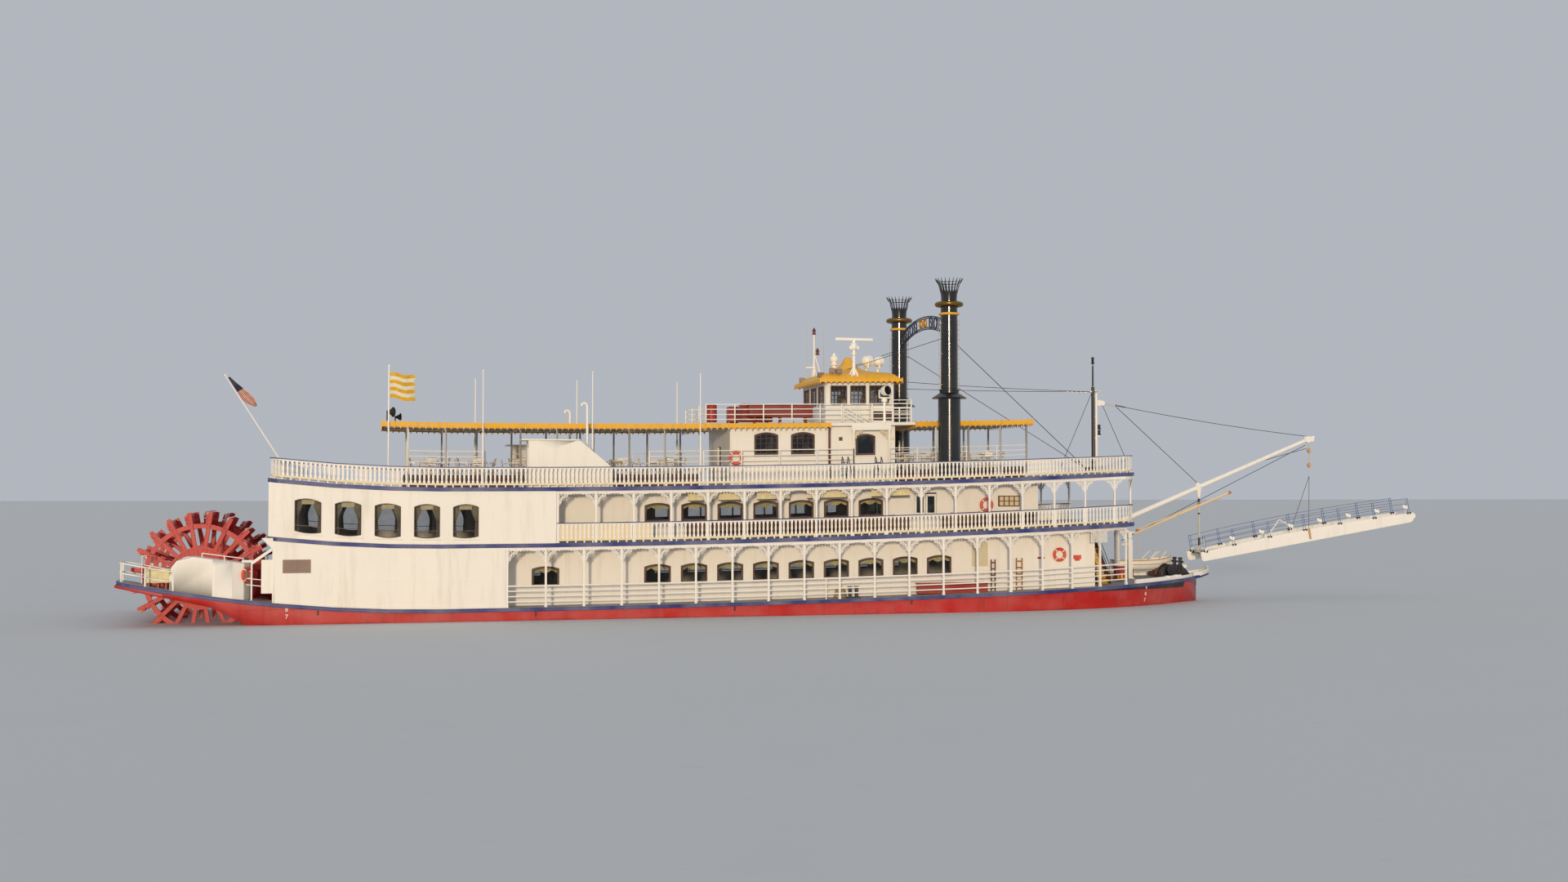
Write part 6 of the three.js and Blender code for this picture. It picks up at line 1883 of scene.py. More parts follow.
# foremast: a black pole with a white one beside it, a lantern on top and lamps on the white one
mast = {"x": 22.84, "foot": deck["top"] + sheerAt(23.0, deck["top"]) + 0.02, "armZ": 12.09}
blackPole = [upright(22.75, 0, mast["foot"], 12.35, 0.1, 0.095, 16),
             upright(22.75, 0, 12.35, 13.72, 0.055, 0.05, 12),
             upright(22.75, 0, mast["foot"], mast["foot"] + 0.12, 0.19, 0.17, 16),
             turnedOn([(0, 13.7), (0.1, 13.7), (0.12, 13.74), (0.05, 13.8), (0.075, 13.84), (0.075, 13.98),
                       (0.12, 13.99), (0.08, 14.04), (0.02, 14.08), (0, 14.1)], 16)]
blackPole[-1].data.transform(moveBy(22.75, 0, 0))
blackPole += [timber((22.4, -0.2, mast["foot"]), (22.62, 0.0, mast["foot"] + 0.34), 0.02),
              timber((23.08, -0.25, mast["foot"]), (23.3, 0.02, mast["foot"] + 0.4), 0.02)]
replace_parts(launch(blackPole, "foremast_pole", "mastBlack", 40), "foremast")
whitePole = [upright(22.95, 0, mast["foot"], 12.18, 0.085, 0.07, 14),
             pipes([[(22.84, -0.75, mast["armZ"]), (22.84, 0.75, mast["armZ"])]], 0.035, 2),
             brick((22.55, -0.05, mast["armZ"] - 0.04), (23.1, 0.05, mast["armZ"] + 0.03)),
             timber((23.0, -0.1, 11.25), (23.3, 0.1, 11.6), 0.03),
             barrel((23.3, -0.13, 11.42), (23.3, 0.13, 11.42), 0.14, sides=16),
             brick((23.0, -0.05, 9.5), (23.16, 0.05, 9.58))]
whitePole += [brick((22.7, -0.03, z), (23.0, 0.03, z + 0.05)) for z in (8.2, 9.4, 10.6, 11.8)]
launch(whitePole, "foremast_white_pole", "railWhite", 40, slot="spar_white")
lampStack = [turnedOn([(0, z), (0.1, z), (0.12, z + 0.05), (0.08, z + 0.1), (0.08, z + 0.22),
                       (0.12, z + 0.26), (0, z + 0.3)], 14) for z in (9.58, 9.9)]
mastLamps = joined(lampStack)
mastLamps.data.transform(moveBy(23.12, 0, 0))
launch(mastLamps, "foremast_lamps", "ironBlack", 40)


def wire(start, end, sag=0.0):  # a tight wire, with a little sag where it is long
    steps = 10 if sag else 1
    return [tuple(a + (b - a) * i / steps - (sag * 4 * i / steps * (1 - i / steps) if k == 2 else 0)
                  for k, (a, b) in enumerate(zip(start, end))) for i in range(steps + 1)]


stayFoot = (22.3, 0, deck["top"] + sheerAt(22.3, deck["top"]) + 0.3)
stays = pipes([wire((stack["x"] + 0.43, side * (stack["y"] - 0.18), 14.28), stayFoot) for side in (-1, 1)],
              0.02, 1)
stayPost = upright(22.3, 0, stayFoot[2] - 0.28, stayFoot[2] + 0.08, 0.06, 0.05, 12)
turnbuckles = []
for side in (-1, 1):
    a, b = Vector(stayFoot), Vector((stack["x"] + 0.43, side * (stack["y"] - 0.18), 14.28))
    turnbuckles.append(barrel(a + (b - a) * 0.05, a + (b - a) * 0.085, 0.04, sides=8))
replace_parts(launch([stays, stayPost] + turnbuckles, "stack_stay_wires", "wireGrey", 50), "stack_stays")
aftAnchor = (6.14, 0.6, 12.46)
deckWires = [wire((stack["x"] - 0.44, side * stack["y"], 14.5), aftAnchor) for side in (-1, 1)]
deckWires += [wire((10.3, side * 2.7, 12.28), (22.62, 0, 12.08), sag=0.06) for side in (-1, 1)]
deckWires += [wire((22.68, 0, 12.02), (20.4, 0, 7.0)), wire((23.32, -0.05, 11.3), (24.15, -1.5, 8.0))]
launch(pipes(deckWires, 0.017, 1), "mast_wires", "wireGrey", 50)
insulators = [barrel((21.0 + 0.3 * i, side * 0.27 - side * 0.05 * i, 12.03),
                     (21.12 + 0.3 * i, side * 0.25 - side * 0.05 * i, 12.03), 0.035, sides=8)
              for i in range(5) for side in (-1, 1)]
launch(insulators, "wire_insulators", "lampWhite", 40)

# boom with its collar, pendant, tackle and the wires that hold it; all of them slew with it
boomLine = {"heel": (24.2, 0, 4.54), "tip": (36.65, 0, 9.48), "pin": (29.396, 0, 2.944),
            "axis": (24.2, 0, 11.3)}


def boomAt(x, drop=0.0):
    share = (x - boomLine["heel"][0]) / (boomLine["tip"][0] - boomLine["heel"][0])
    return (x, 0, boomLine["heel"][2] + share * (boomLine["tip"][2] - boomLine["heel"][2]) - drop)


pinX, pinZ = boomLine["pin"][0], boomLine["pin"][2]
collarTop = boomAt(pinX)[2]
gusset = sawn([(pinX - 0.2, collarTop - 0.02), (pinX + 0.22, collarTop + 0.12),
               (pinX + 0.1, collarTop - 0.5), (pinX + 0.07, collarTop - 0.62),
               (pinX - 0.07, collarTop - 0.62), (pinX - 0.1, collarTop - 0.5)], 0.1)
boomParts = [barrel(boomLine["heel"], boomLine["tip"], 0.15, 0.11, 28),
             upright(24.2, 0, 4.36, 4.76, 0.22, sides=24), bevelled(gusset, 0.02),
             upright(pinX, 0, collarTop - 0.62, collarTop + 0.05, 0.08, 0.2, 20),
             barrel((pinX - 0.09, 0, collarTop + 0.02), (pinX - 0.05, 0, collarTop + 0.24), 0.17, 0.1, 16),
             hoop(boomAt(30.4), 0.15, 0.02, turnBy(1.19, "Y"), 20, 6),
             barrel((36.5, -0.16, 9.43), (36.5, 0.16, 9.43), 0.19, sides=20),
             timber((36.3, -0.09, 9.3), (36.95, 0.09, 9.62), 0.03),
             barrel((36.85, -0.12, 9.56), (36.85, 0.12, 9.56), 0.09, sides=14),
             barrel((24.38, 0, 4.42), (24.95, 0, 3.98), 0.06, sides=10),
             timber((24.87, -0.11, 3.62), (25.1, 0.11, 4.02), 0.02),
             brick((24.72, -0.05, 3.96), (25.3, 0.05, 4.03))]
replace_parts(launch(boomParts, "boom_tube", "railWhite", 40, body="boom_spar", slot="spar_white"), "boom")
pendantParts = [upright(pinX, 0, pinZ + 0.1, collarTop - 0.6, 0.055, sides=16),
                hoop((pinX, 0, pinZ), 0.12, 0.045, turnBy(pi / 2, "X"), 24, 8)]
pendantParts += [upright(pinX, 0, z, z + 0.05, 0.075, sides=16) for z in (pinZ + 0.2, 4.3, 5.1)]
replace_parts(launch(pendantParts, "pendant_rod", "pipeGrey", 40, body="boom_spar"), "pendant")
launch([upright(pinX, 0, z, z + tall, 0.062, sides=16)
        for z, tall in ((5.0, 0.1), (5.7, 0.22), (3.15, 0.5))], "pendant_bands", "ironBlack", 40,
       body="boom_spar")

# light wooden spar and its brace beside the pendant, with leather-brown joints
spar = {"heel": (25.18, -0.2, 3.9), "tip": (31.2, -0.24, 6.27), "joint": (29.42, -0.1, 5.62)}
launch([barrel(spar["heel"], spar["tip"], 0.055, 0.085, 16),
        barrel((25.42, -0.06, 4.12), spar["joint"], 0.032, 0.028, 10)], "steadying_spar", "sparTan", 40,
       body="boom_spar")
launch([barrel((pinX, -0.14, 5.58), (pinX, 0.07, 5.58), 0.085, sides=12),
        barrel((31.14, -0.24, 6.24), (31.32, -0.24, 6.31), 0.09, sides=12),
        timber((25.36, -0.12, 4.02), (25.58, 0.0, 4.16), 0.02),
        ball((25.5, -0.06, 4.1), (0.08, 0.07, 0.08), 10)], "spar_joints", "jointOrange", 40,
       body="boom_spar")
launch(pipes([[(25.5, -0.06, 4.08), (25.5, -0.06, 2.75)]], 0.026, 2), "spar_fall", "pipeGrey",
       body="boom_spar")

boomWires = [wire(boomLine["axis"], (36.5, 0, 9.62), sag=0.12),
             wire((24.2, 0, 11.22), (pinX - 0.05, 0, collarTop + 0.2)),
             wire((36.45, 0.1, 9.1), (24.5, 0.1, 3.5)),
             wire((36.4, -0.1, 8.9), (33.6, -0.02, boomAt(33.6)[2] - 0.1))]
launch(pipes(boomWires, 0.019, 1), "boom_wires", "wireGrey", 50, body="boom_spar")
launch(pipes([wire((23.35, 0, 11.45), boomLine["axis"]), wire((23.3, 0, 11.35), (24.2, 0, 11.22))], 0.024,
             1), "mast_strops", "pipeGrey", 50)
launch([ball(boomLine["axis"], (0.05, 0.04, 0.07), 10),
        barrel((24.3, 0, 11.285), (24.75, 0, 11.21), 0.035, sides=8)], "swivel", "wireGrey", 40,
       body="boom_spar")

tackleX = 36.62
blocks = [timberOver(tackleX, 0, 0.07, 0.06, z, z + 0.3, 0.03) for z in (8.62, 7.75)]
blocks += [barrel((tackleX, -0.075, z + 0.15), (tackleX, 0.075, z + 0.15), 0.1, sides=14)
           for z in (8.62, 7.75)]
launch(blocks, "tackle_blocks", "blockTan", 40, body="boom_spar")
launch(pipes([[(tackleX + dx, 0, 7.9), (tackleX + dx, 0, 9.4)] for dx in (-0.06, -0.02, 0.02, 0.06)]
             + [[(tackleX, 0, 7.24), (tackleX, 0, 7.8)]], 0.016, 1), "tackle_falls", "pipeGrey",
       body="boom_spar")

# Landing stage: two arched girders, the walkway, wire rails, lamps and the chain on its rail
stageLine = {"x": 29.11, "z": 2.27, "slope": 0.1602, "length": 14.22, "half": 0.9, "ends": 0.5,
             "middle": 0.68, "railUp": 0.93, "posts": [2.2 + 2.34 * i for i in range(6)],
             "lamps": [2.11 + 1.93 * i for i in range(7)]}
onStage = moveBy(stageLine["x"], 0, stageLine["z"]) @ turnBy(-stageLine["slope"], "Y")


def girderTop(along):
    t = 2 * along / stageLine["length"] - 1
    return stageLine["ends"] + (stageLine["middle"] - stageLine["ends"]) * (1 - t * t)


def girderOutline(inset):
    length = stageLine["length"]
    steps = [length * i / 12 for i in range(13)]
    top = [(min(max(a, inset), length - inset), girderTop(a) - inset) for a in reversed(steps)]
    foot = [(inset, 0.14 + inset), (0.06 + inset, 0.04 + inset), (0.16 + inset, inset)]
    nose = [(length - 0.34 - inset, inset), (length - 0.14 - inset, 0.06 + inset),
            (length - 0.03 - inset, 0.2 + inset)]
    return foot + nose + top


girders = []
for side in (-1, 1):
    girders.append(bevelled(sawn(girderOutline(0.0), 0.1, side * (stageLine["half"] - 0.06)), 0.025, 2))
    girders.append(sawn(girderOutline(0.05), 0.02, side * stageLine["half"]))
    lip = [(a, side * (stageLine["half"] - 0.06), girderTop(a) + 0.005)
           for a in [stageLine["length"] * i / 12 for i in range(13)]]
    girders.append(pipes([lip], 0.05, 2))
    girders.append(timber((0.29, side * (stageLine["half"] - 0.06) - 0.05, 0.3),
                          (0.49, side * (stageLine["half"] - 0.06) + 0.05, 0.72), 0.02))
girders.append(brick((0.2, -0.84, 0.34), (stageLine["length"] - 0.2, 0.84, 0.38)))
girders += [brick((a, -0.84, 0.06), (a + 0.08, 0.84, 0.34)) for a in [0.9 + 1.38 * i for i in range(10)]]
girders.append(barrel((0.39, -0.85, 0.62), (0.39, 0.85, 0.62), 0.06, sides=20))
girders.append(barrel((stageLine["length"] - 0.05, -0.86, 0.36), (stageLine["length"] - 0.05, 0.86, 0.36),
                      0.16, sides=20))
stageBody = joined(girders)
stageBody.data.transform(onStage)
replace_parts(launch(stageBody, "landing_stage_girders", "railWhite", 35, body="stage", slot="spar_white"),
            "landing_stage")

planks = [timber((a, -0.82, 0.385), (a + 0.24, 0.82, 0.42), 0.006)
          for a in [0.25 + 0.262 * i for i in range(52)]]
walkway = joined(planks)
walkway.data.transform(onStage)
launch(walkway, "stage_walkway", "deckGrey", body="stage")

stageWires, stagePosts, stageCleats = [], [], []
alongs = [0.3 + (stageLine["length"] - 0.6) * i / 16 for i in range(17)]
for side in (-1, 1):
    y = side * (stageLine["half"] - 0.06)
    for up in (stageLine["railUp"], 0.62, 0.32):
        stageWires.append([(a, y, girderTop(a) + up) for a in alongs])
    for a in stageLine["posts"] + [0.34]:
        for shift in (-0.06, 0.06):
            stagePosts.append([(a + shift, y, girderTop(a) - 0.1),
                               (a + shift, y, girderTop(a) + stageLine["railUp"] + 0.03)])
        stageCleats.append(timber((a - 0.13, y - side * 0.02 - 0.07, girderTop(a) - 0.02),
                                  (a - 0.03, y + 0.07, girderTop(a) + 0.09), 0.01))
        stageCleats.append(timber((a + 0.03, y - 0.07, girderTop(a) - 0.02),
                                  (a + 0.13, y + 0.07, girderTop(a) + 0.09), 0.01))
for points, radius, name in ((stageWires, 0.013, "stage_rail_wires"),
                             (stagePosts, 0.015, "stage_rail_posts")):
    rails = pipes(points, radius, 1)
    rails.data.transform(onStage)
    launch(rails, name, "wireBlue", 50, body="stage", slot="guard_navy")
cleats = joined(stageCleats)
cleats.data.transform(onStage)
launch(cleats, "stage_post_feet", "ironBlack", body="stage")

lampParts = []
for a in stageLine["lamps"]:
    for shift, turn in ((-0.07, -0.5), (0.09, 0.5)):
        shade = turnedOn([(0, 0.1), (0.04, 0.1), (0.06, 0.07), (0.095, -0.02), (0.1, -0.09), (0.06, -0.11),
                          (0, -0.12)], 12)
        place = (a + shift, 0.03 - stageLine["half"], girderTop(a) + 0.46 - 0.5 * shift)
        shade.data.transform(Matrix.Translation(place) @ turnBy(turn, "Y"))
        lampParts.append(shade)
    lampParts.append(upright(a, 0.06 - stageLine["half"], girderTop(a), girderTop(a) + 0.55, 0.016,
                             sides=6))
lampParts.append(ball((0.42, -0.62, 1.1), (0.12, 0.12, 0.12), 14))
lampParts.append(upright(0.42, -0.62, 0.6, 1.0, 0.03, sides=8))
lamps = joined(lampParts)
lamps.data.transform(onStage)
launch(lamps, "stage_lamps", "lampWhite", 50, body="stage")

# a chain of white links from the rail down to the girder, and the lugs that the tackle holds
def chainLinks(start, end, size=0.09):
    start, end = Vector(start), Vector(end)
    count = round((end - start).length / (size * 1.25))
    turn = (end - start).to_track_quat("X", "Z").to_matrix().to_4x4()
    links = []
    for i in range(count):
        link = hoop((0, 0, 0), size * 0.5, size * 0.17, Matrix.Diagonal((1.5, 1, 1, 1)), 10, 5)
        place = start + (end - start) * (i + 0.5) / count
        link.data.transform(Matrix.Translation(place) @ turn @ turnBy(pi / 2 * (i % 2), "X"))
        links.append(link)
    return links


sideY = -(stageLine["half"] - 0.06)
apex = (5.33, sideY, girderTop(5.33) + stageLine["railUp"])
chain = joined(chainLinks(apex, (4.35, sideY, girderTop(4.35) + 0.04))
               + chainLinks(apex, (6.46, sideY, girderTop(6.46) + 0.04)))
chain.data.transform(onStage)
launch(chain, "stage_chain", "lampWhite", 50, body="stage")
lugParts = []
for side in (-1, 1):
    y = side * (stageLine["half"] + 0.03)
    lugParts += [timber((7.04, y - 0.02, 0.14), (7.18, y + 0.02, 0.8), 0.01),
                 barrel((7.11, y - 0.05, 0.5), (7.11, y + 0.05, 0.5), 0.06, sides=12)]
lugs = joined(lugParts)
lugs.data.transform(onStage)
launch(lugs, "stage_lugs", "blockTan", 40, body="stage")

# the sling from the tackle down to the lugs, a fixed piece on no body
lugEnds = [onStage @ Vector((7.11, side * (stageLine["half"] + 0.03), 0.82)) for side in (-1, 1)]
slingTop = Vector((tackleX, 0, 7.26))
slings = launch(pipes([[tuple(slingTop + (end - slingTop) * i / 8) for i in range(9)] for end in lugEnds],
                      0.014, 1), "stage_sling", "wireGrey", body=None)
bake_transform(slings)
print("stacks, masts, boom and stage are done")


# Bow: bitts, windlass, skiff, post, stairs, boxes and the low boards round the nose

def deckAt(x, level="main"):
    return deck[level] + sheerAt(x, deck[level])


bow = {"bittY": 0.35, "drumX": 27.25, "foot": deckAt(28.2), "skiffX": 26.2, "skiffY": 0.85,
       "skiffZ": 1.73}
foot = bow["foot"]
bitts = [timber((27.8, -0.6, foot), (28.2, 0.6, foot + 0.08), 0.012),
         barrel((28.0, -0.62, foot + 0.84), (28.0, 0.62, foot + 0.84), 0.05, sides=16)]
for side in (-1, 1):
    y = side * bow["bittY"]
    bitts.append(turnedOn([(0, 0.06), (0.15, 0.06), (0.15, 0.11), (0.12, 0.14), (0.12, 0.6), (0.1, 0.66),
                           (0.09, 0.98), (0.13, 1.0), (0.13, 1.05), (0.09, 1.09), (0, 1.1)], 24))
    bitts[-1].data.transform(moveBy(28.0, y, foot))
    bitts.append(ball((28.0, side * 0.63, foot + 0.84), (0.07, 0.05, 0.07), 14))
    for turn in range(6):
        angle = turn * pi / 3
        bitts.append(upright(28.0 + 0.15 * cos(angle), y + 0.17 * sin(angle), foot + 0.08, foot + 0.1,
                             0.018, sides=6))

drumZ = foot + 0.36
for y0, y1, radius in ((-0.94, 0.1, 0.2), (-0.97, -0.92, 0.37), (-0.5, -0.45, 0.34), (0.06, 0.12, 0.37),
                       (-0.2, -0.15, 0.3)):
    bitts.append(bevelled(barrel((bow["drumX"], y0, drumZ), (bow["drumX"], y1, drumZ), radius, sides=28),
                          0.012))
coils = [hoop((bow["drumX"], y, drumZ), 0.225, 0.024, turnBy(pi / 2, "X"), 24, 6)
         for y in [-0.89 + 0.05 * i for i in range(8)]]
housing = sawn([(27.35, 0.06), (27.35, 0.56), (27.5, 0.66), (27.8, 0.66), (28.1, 0.42), (28.35, 0.12),
                (28.35, 0.06)], 0.34, -0.72)
shroud = sawn([(26.68, -0.02), (26.76, 0.3), (26.98, 0.52), (27.2, 0.58), (27.2, -0.02)], 0.42, -0.28)
for part in (housing, shroud):
    part.data.transform(moveBy(0, 0, foot))
    bitts.append(bevelled(part, 0.03, 2))
bitts.append(timber((26.7, -0.98, foot - 0.04), (28.4, 0.14, foot + 0.08), 0.015))
wheelHub = (27.62, -0.98, foot + 0.5)
bitts.append(hoop(wheelHub, 0.22, 0.022, turnBy(pi / 2, "X"), 28, 8))
for turn in range(4):
    angle = turn * pi / 4
    reach = Vector((0.22 * cos(angle), 0, 0.22 * sin(angle)))
    bitts.append(barrel(Vector(wheelHub) - reach, Vector(wheelHub) + reach, 0.014, sides=8))
bitts.append(barrel((27.62, -1.0, foot + 0.5), (27.62, -0.86, foot + 0.5), 0.05, sides=14))
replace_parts(launch(bitts, "bow_bitts_windlass", "ironBlack", 35), "bow_bitts")
launch(coils, "windlass_coils", "mastBlack", 60)

# skiff: rounded sides drawn in from a square stern to the raised bow
# columns: share of the length, share of the width, rise of the bottom, rise of the edge
skiffRows = [(-0.5, 0.78, 0.06, 0.02), (-0.3, 0.95, 0.02, 0.0), (0.0, 1.0, 0.0, 0.02),
             (0.2, 0.88, 0.02, 0.06), (0.36, 0.62, 0.08, 0.13), (0.46, 0.3, 0.16, 0.2),
             (0.5, 0.05, 0.24, 0.24)]
skiffLength, skiffHalf, skiffHeight = 3.6, 0.66, 0.6


def skiffPoint(row, angle, inset):
    along, share, low, high = row
    half = max(skiffHalf * share - inset, 0.015)
    bottom, edge = bow["skiffZ"] + low + inset, bow["skiffZ"] + skiffHeight + high
    across = half * cos(angle) ** 0.6
    return (bow["skiffX"] + along * (skiffLength - 2 * inset), across,
            edge + (bottom - edge) * sin(angle) ** 0.8)


def skiffSkin(inset):
    rings = []
    for row in skiffRows:
        half = [skiffPoint(row, angle, inset) for angle in [pi / 2 * i / 5 for i in range(6)]]
        far = [(x, -y, z) for x, y, z in reversed(half[:-1])]
        rings.append([(x, bow["skiffY"] + y, z) for x, y, z in half + far])
    return rings


outerRings, innerRings = skiffSkin(0.0), skiffSkin(0.045)
skins = [ringed([outer + inner[::-1] for outer, inner in zip(outerRings, innerRings)])]
transom = outerRings[0]
skins.append(modified(ringed([[(x - 0.02, y, z) for x, y, z in transom],
                              [(x + 0.03, y, z) for x, y, z in transom]]), "BEVEL", width=0.006,
                      segments=1))
keel = [(x, bow["skiffY"], z - 0.015) for x, y, z in [ring[5] for ring in outerRings]]
skins.append(pipes([keel], 0.03, 1))
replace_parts(launch(skins, "skiff_hull", "railWhite", 40, slot="spar_white"), "skiff")
edges = [[(x, y + 0.02 * sign, z) for x, y, z in [ring[index] for ring in outerRings]]
         for index, sign in ((0, 1), (10, -1))]
edges.append([outerRings[0][0], outerRings[0][10]])
strakes = [[(x, y + 0.01 * sign, z) for x, y, z in [ring[index] for ring in outerRings]]
           for index, sign in ((1, 1), (9, -1))]
launch([pipes(edges, 0.035, 2), pipes(strakes, 0.026, 1)], "skiff_gunwale", "skiffTan", 50)
thwarts = [timber((bow["skiffX"] + x, bow["skiffY"] - half, bow["skiffZ"] + 0.42),
                  (bow["skiffX"] + x + 0.26, bow["skiffY"] + half, bow["skiffZ"] + 0.46), 0.01)
           for x, half in ((-1.5, 0.52), (-0.35, 0.6), (0.6, 0.5))]
for x in (-1.2, -0.9, -0.6, -0.05, 0.25):
    thwarts.append(brick((bow["skiffX"] + x, bow["skiffY"] - 0.36, bow["skiffZ"] + 0.05),
                         (bow["skiffX"] + x + 0.22, bow["skiffY"] + 0.36, bow["skiffZ"] + 0.08)))
launch(thwarts, "skiff_thwarts", "benchWood", slot="spar_white")
chocks = []
for along in (-1.0, 0.8):
    x = bow["skiffX"] + along
    chocks.append(timberOver(x, bow["skiffY"], 0.2, 0.32, deckAt(x) + 0.01, bow["skiffZ"] + 0.08, 0.02))
    chocks += [timberOver(x, bow["skiffY"] + y, 0.22, 0.05, deckAt(x) + 0.01, bow["skiffZ"] + 0.2, 0.02)
               for y in (-0.42, 0.42)]
    chocks += [brickOver(x, bow["skiffY"], 0.24, 0.33, z, z + 0.03)
               for z in (deckAt(x) + 0.08, deckAt(x) + 0.2)]
launch(chocks, "skiff_chocks", "wainscotBrown", slot="spar_white")
# two bent rails that stand up out of the skiff
hoops = []
for x in (26.35, 27.0):
    hoops.append([(x + 0.12 * t, bow["skiffY"] + y, bow["skiffZ"] + z)
                  for t, y, z in ((0, -0.5, 0.5), (1.2, -0.5, 0.75), (3.4, -0.46, 1.02), (4.4, -0.36, 1.14),
                                  (4.7, -0.15, 1.18), (4.7, 0.15, 1.18), (4.4, 0.36, 1.14),
                                  (3.4, 0.46, 1.02), (1.2, 0.5, 0.75), (0, 0.5, 0.5))])
launch(pipes(hoops, 0.028, 2), "skiff_hoops", "railWhite", 60, slot="spar_white")

# post that carries the boom, with its thin neighbour and their tie
reworked("kingpost", [finishes["railWhite"]], onlyPaint, 40)
jib = {"x": 25.12, "top": 3.58}
postRings = [hoop((24.2, 0, z), 0.17, 0.03, steps=28, sides=8) for z in (1.62, 2.4, 3.9)]
postRings += [timberOver(24.2 + dx, dy, 0.03, 0.03, deckAt(24.2), deckAt(24.2) + 0.3, 0.01)
              for dx, dy in ((0.26, 0), (-0.26, 0), (0, 0.26), (0, -0.26))]
postRings.append(upright(jib["x"], -0.02, deckAt(jib["x"]), jib["top"], 0.04, sides=14))
postRings.append(upright(jib["x"], -0.02, deckAt(jib["x"]), deckAt(jib["x"]) + 0.05, 0.14, sides=16))
launch(postRings, "kingpost_bands", "railWhite", 40, slot="spar_white")

# low boards along the deck's edge, the white plates of the nose, and the dark band under the guard: part
# black paint, part painted shadow of the guard's overhang
coaming = band(between(mainEdge(0.24), 23.4, 27.2), deck["main"], deck["main"] + 0.13, 0.14)
caps = pipes([routeAlong(between(mainEdge(0.24), 23.4, 27.2), deck["main"] + 0.14)], 0.07, 2)
humps = [ball((x, fromTable(mainEdge(0.24)[3:], x), deckAt(x) + 0.15), (0.22, 0.09, 0.1), 14)
         for x in (26.0, 26.75)]
launchPair([coaming, caps] + humps, "bow_coamings", "railWhite", 50)
portBoard = [timber((28.35, 0.76, 1.86), (29.0, 0.82, 2.05), 0.01)]
portBoard += [brick((x, 0.74, deckAt(28.6)), (x + 0.06, 0.8, 1.9)) for x in (28.42, 28.62, 28.82)]
launch(portBoard, "nose_board", "railWhite")
paintAndShadowRings = []
# the band deepens towards the bow: black paint with the overhanging guard's shadow painted in
for x, drop in ((20.5, 0.06), (23.0, 0.12), (25.5, 0.24), (27.5, 0.33), (29.1, 0.38)):
    head = deckAt(x) - deck["sheet"] + 0.01
    corners = [(head, -0.014), (head - drop, -0.014), (head - drop, 0.03), (head, 0.03)]
    paintAndShadowRings.append([(x, min(hullSideAt(x, z), -0.13) + shift, z) for z, shift in corners])
launchPair(ringed(paintAndShadowRings), "bow_black_paint_and_painted_shadow_band", "ironBlack")


# a steep stair on each side, up under the second deck
def acrossBoat(obj, x, y, z=0.0):  # stands a board drawn in x and z across the boat
    obj.data.transform(moveBy(x, y, z) @ turnBy(pi / 2, "Z"))
    return obj


stair = {"x": (21.5, 22.3), "footY": -3.2, "footZ": deckAt(21.9) + 0.01, "run": 2.85, "rise": 3.05,
         "steps": 11}
stringer = [(0, 0), (0.3, 0), (stair["run"], stair["rise"] - 0.3), (stair["run"], stair["rise"]),
            (stair["run"] - 0.24, stair["rise"]), (0, 0.3)]
sides = [acrossBoat(sawn(stringer, 0.045), x, stair["footY"], stair["footZ"]) for x in stair["x"]]
handLines = []
for x in stair["x"]:
    for up in (0.5, 0.9):
        handLines.append([(x, stair["footY"] + 0.15, stair["footZ"] + 0.15 + up),
                          (x, stair["footY"] + stair["run"] - 0.5,
                           stair["footZ"] + stair["rise"] - 0.5 + up)])
    for share in (0.06, 0.5, 0.8):
        y, z = stair["footY"] + stair["run"] * share, stair["footZ"] + stair["rise"] * share
        handLines.append([(x, y, z + 0.05), (x, y, z + 0.95)])
sides.append(pipes(handLines, 0.022, 1))
launchPair(sides, "bow_stair_stringers", "frameDark")
treads = []
for i in range(stair["steps"]):
    y = stair["footY"] + 0.16 + stair["run"] * i / stair["steps"]
    z = stair["footZ"] + 0.2 + stair["rise"] * i / stair["steps"]
    treads.append(timber((stair["x"][0] + 0.03, y, z), (stair["x"][1] - 0.03, y + 0.24, z + 0.035), 0.008))
    treads.append(brick((stair["x"][0] + 0.03, y + 0.2, z - 0.2), (stair["x"][1] - 0.03, y + 0.225, z)))
launchPair(treads, "bow_stair_treads", "roofYellow")

# red box with two yellow canisters, and the crossed barrier beside it
boxParts = [timber((23.45, -1.5, 1.36), (24.05, -1.1, 2.02), 0.02),
            timber((23.42, -1.53, 2.02), (24.08, -1.07, 2.1), 0.02)]
boxParts += [brick((x, -1.53, 1.7), (x + 0.06, -1.49, 1.76)) for x in (23.55, 23.88)]
launch(boxParts, "bow_locker", "boxRed", slot="hull_red")
canisters = [bevelled(upright(x, -1.62, 1.38, 1.66, 0.07, sides=18), 0.015, 2) for x in (23.5, 23.7)]
barrier = [[(22.72, -1.5, 1.3), (23.13, -1.5, 1.92)], [(23.13, -1.5, 1.3), (22.72, -1.5, 1.92)],
           [(22.7, -1.5, 1.27), (22.7, -1.5, 1.95), (23.15, -1.5, 1.95), (23.15, -1.5, 1.27)]]
launch(canisters + [pipes(barrier, 0.03, 1)], "bow_barrier", "roofYellow", 40)

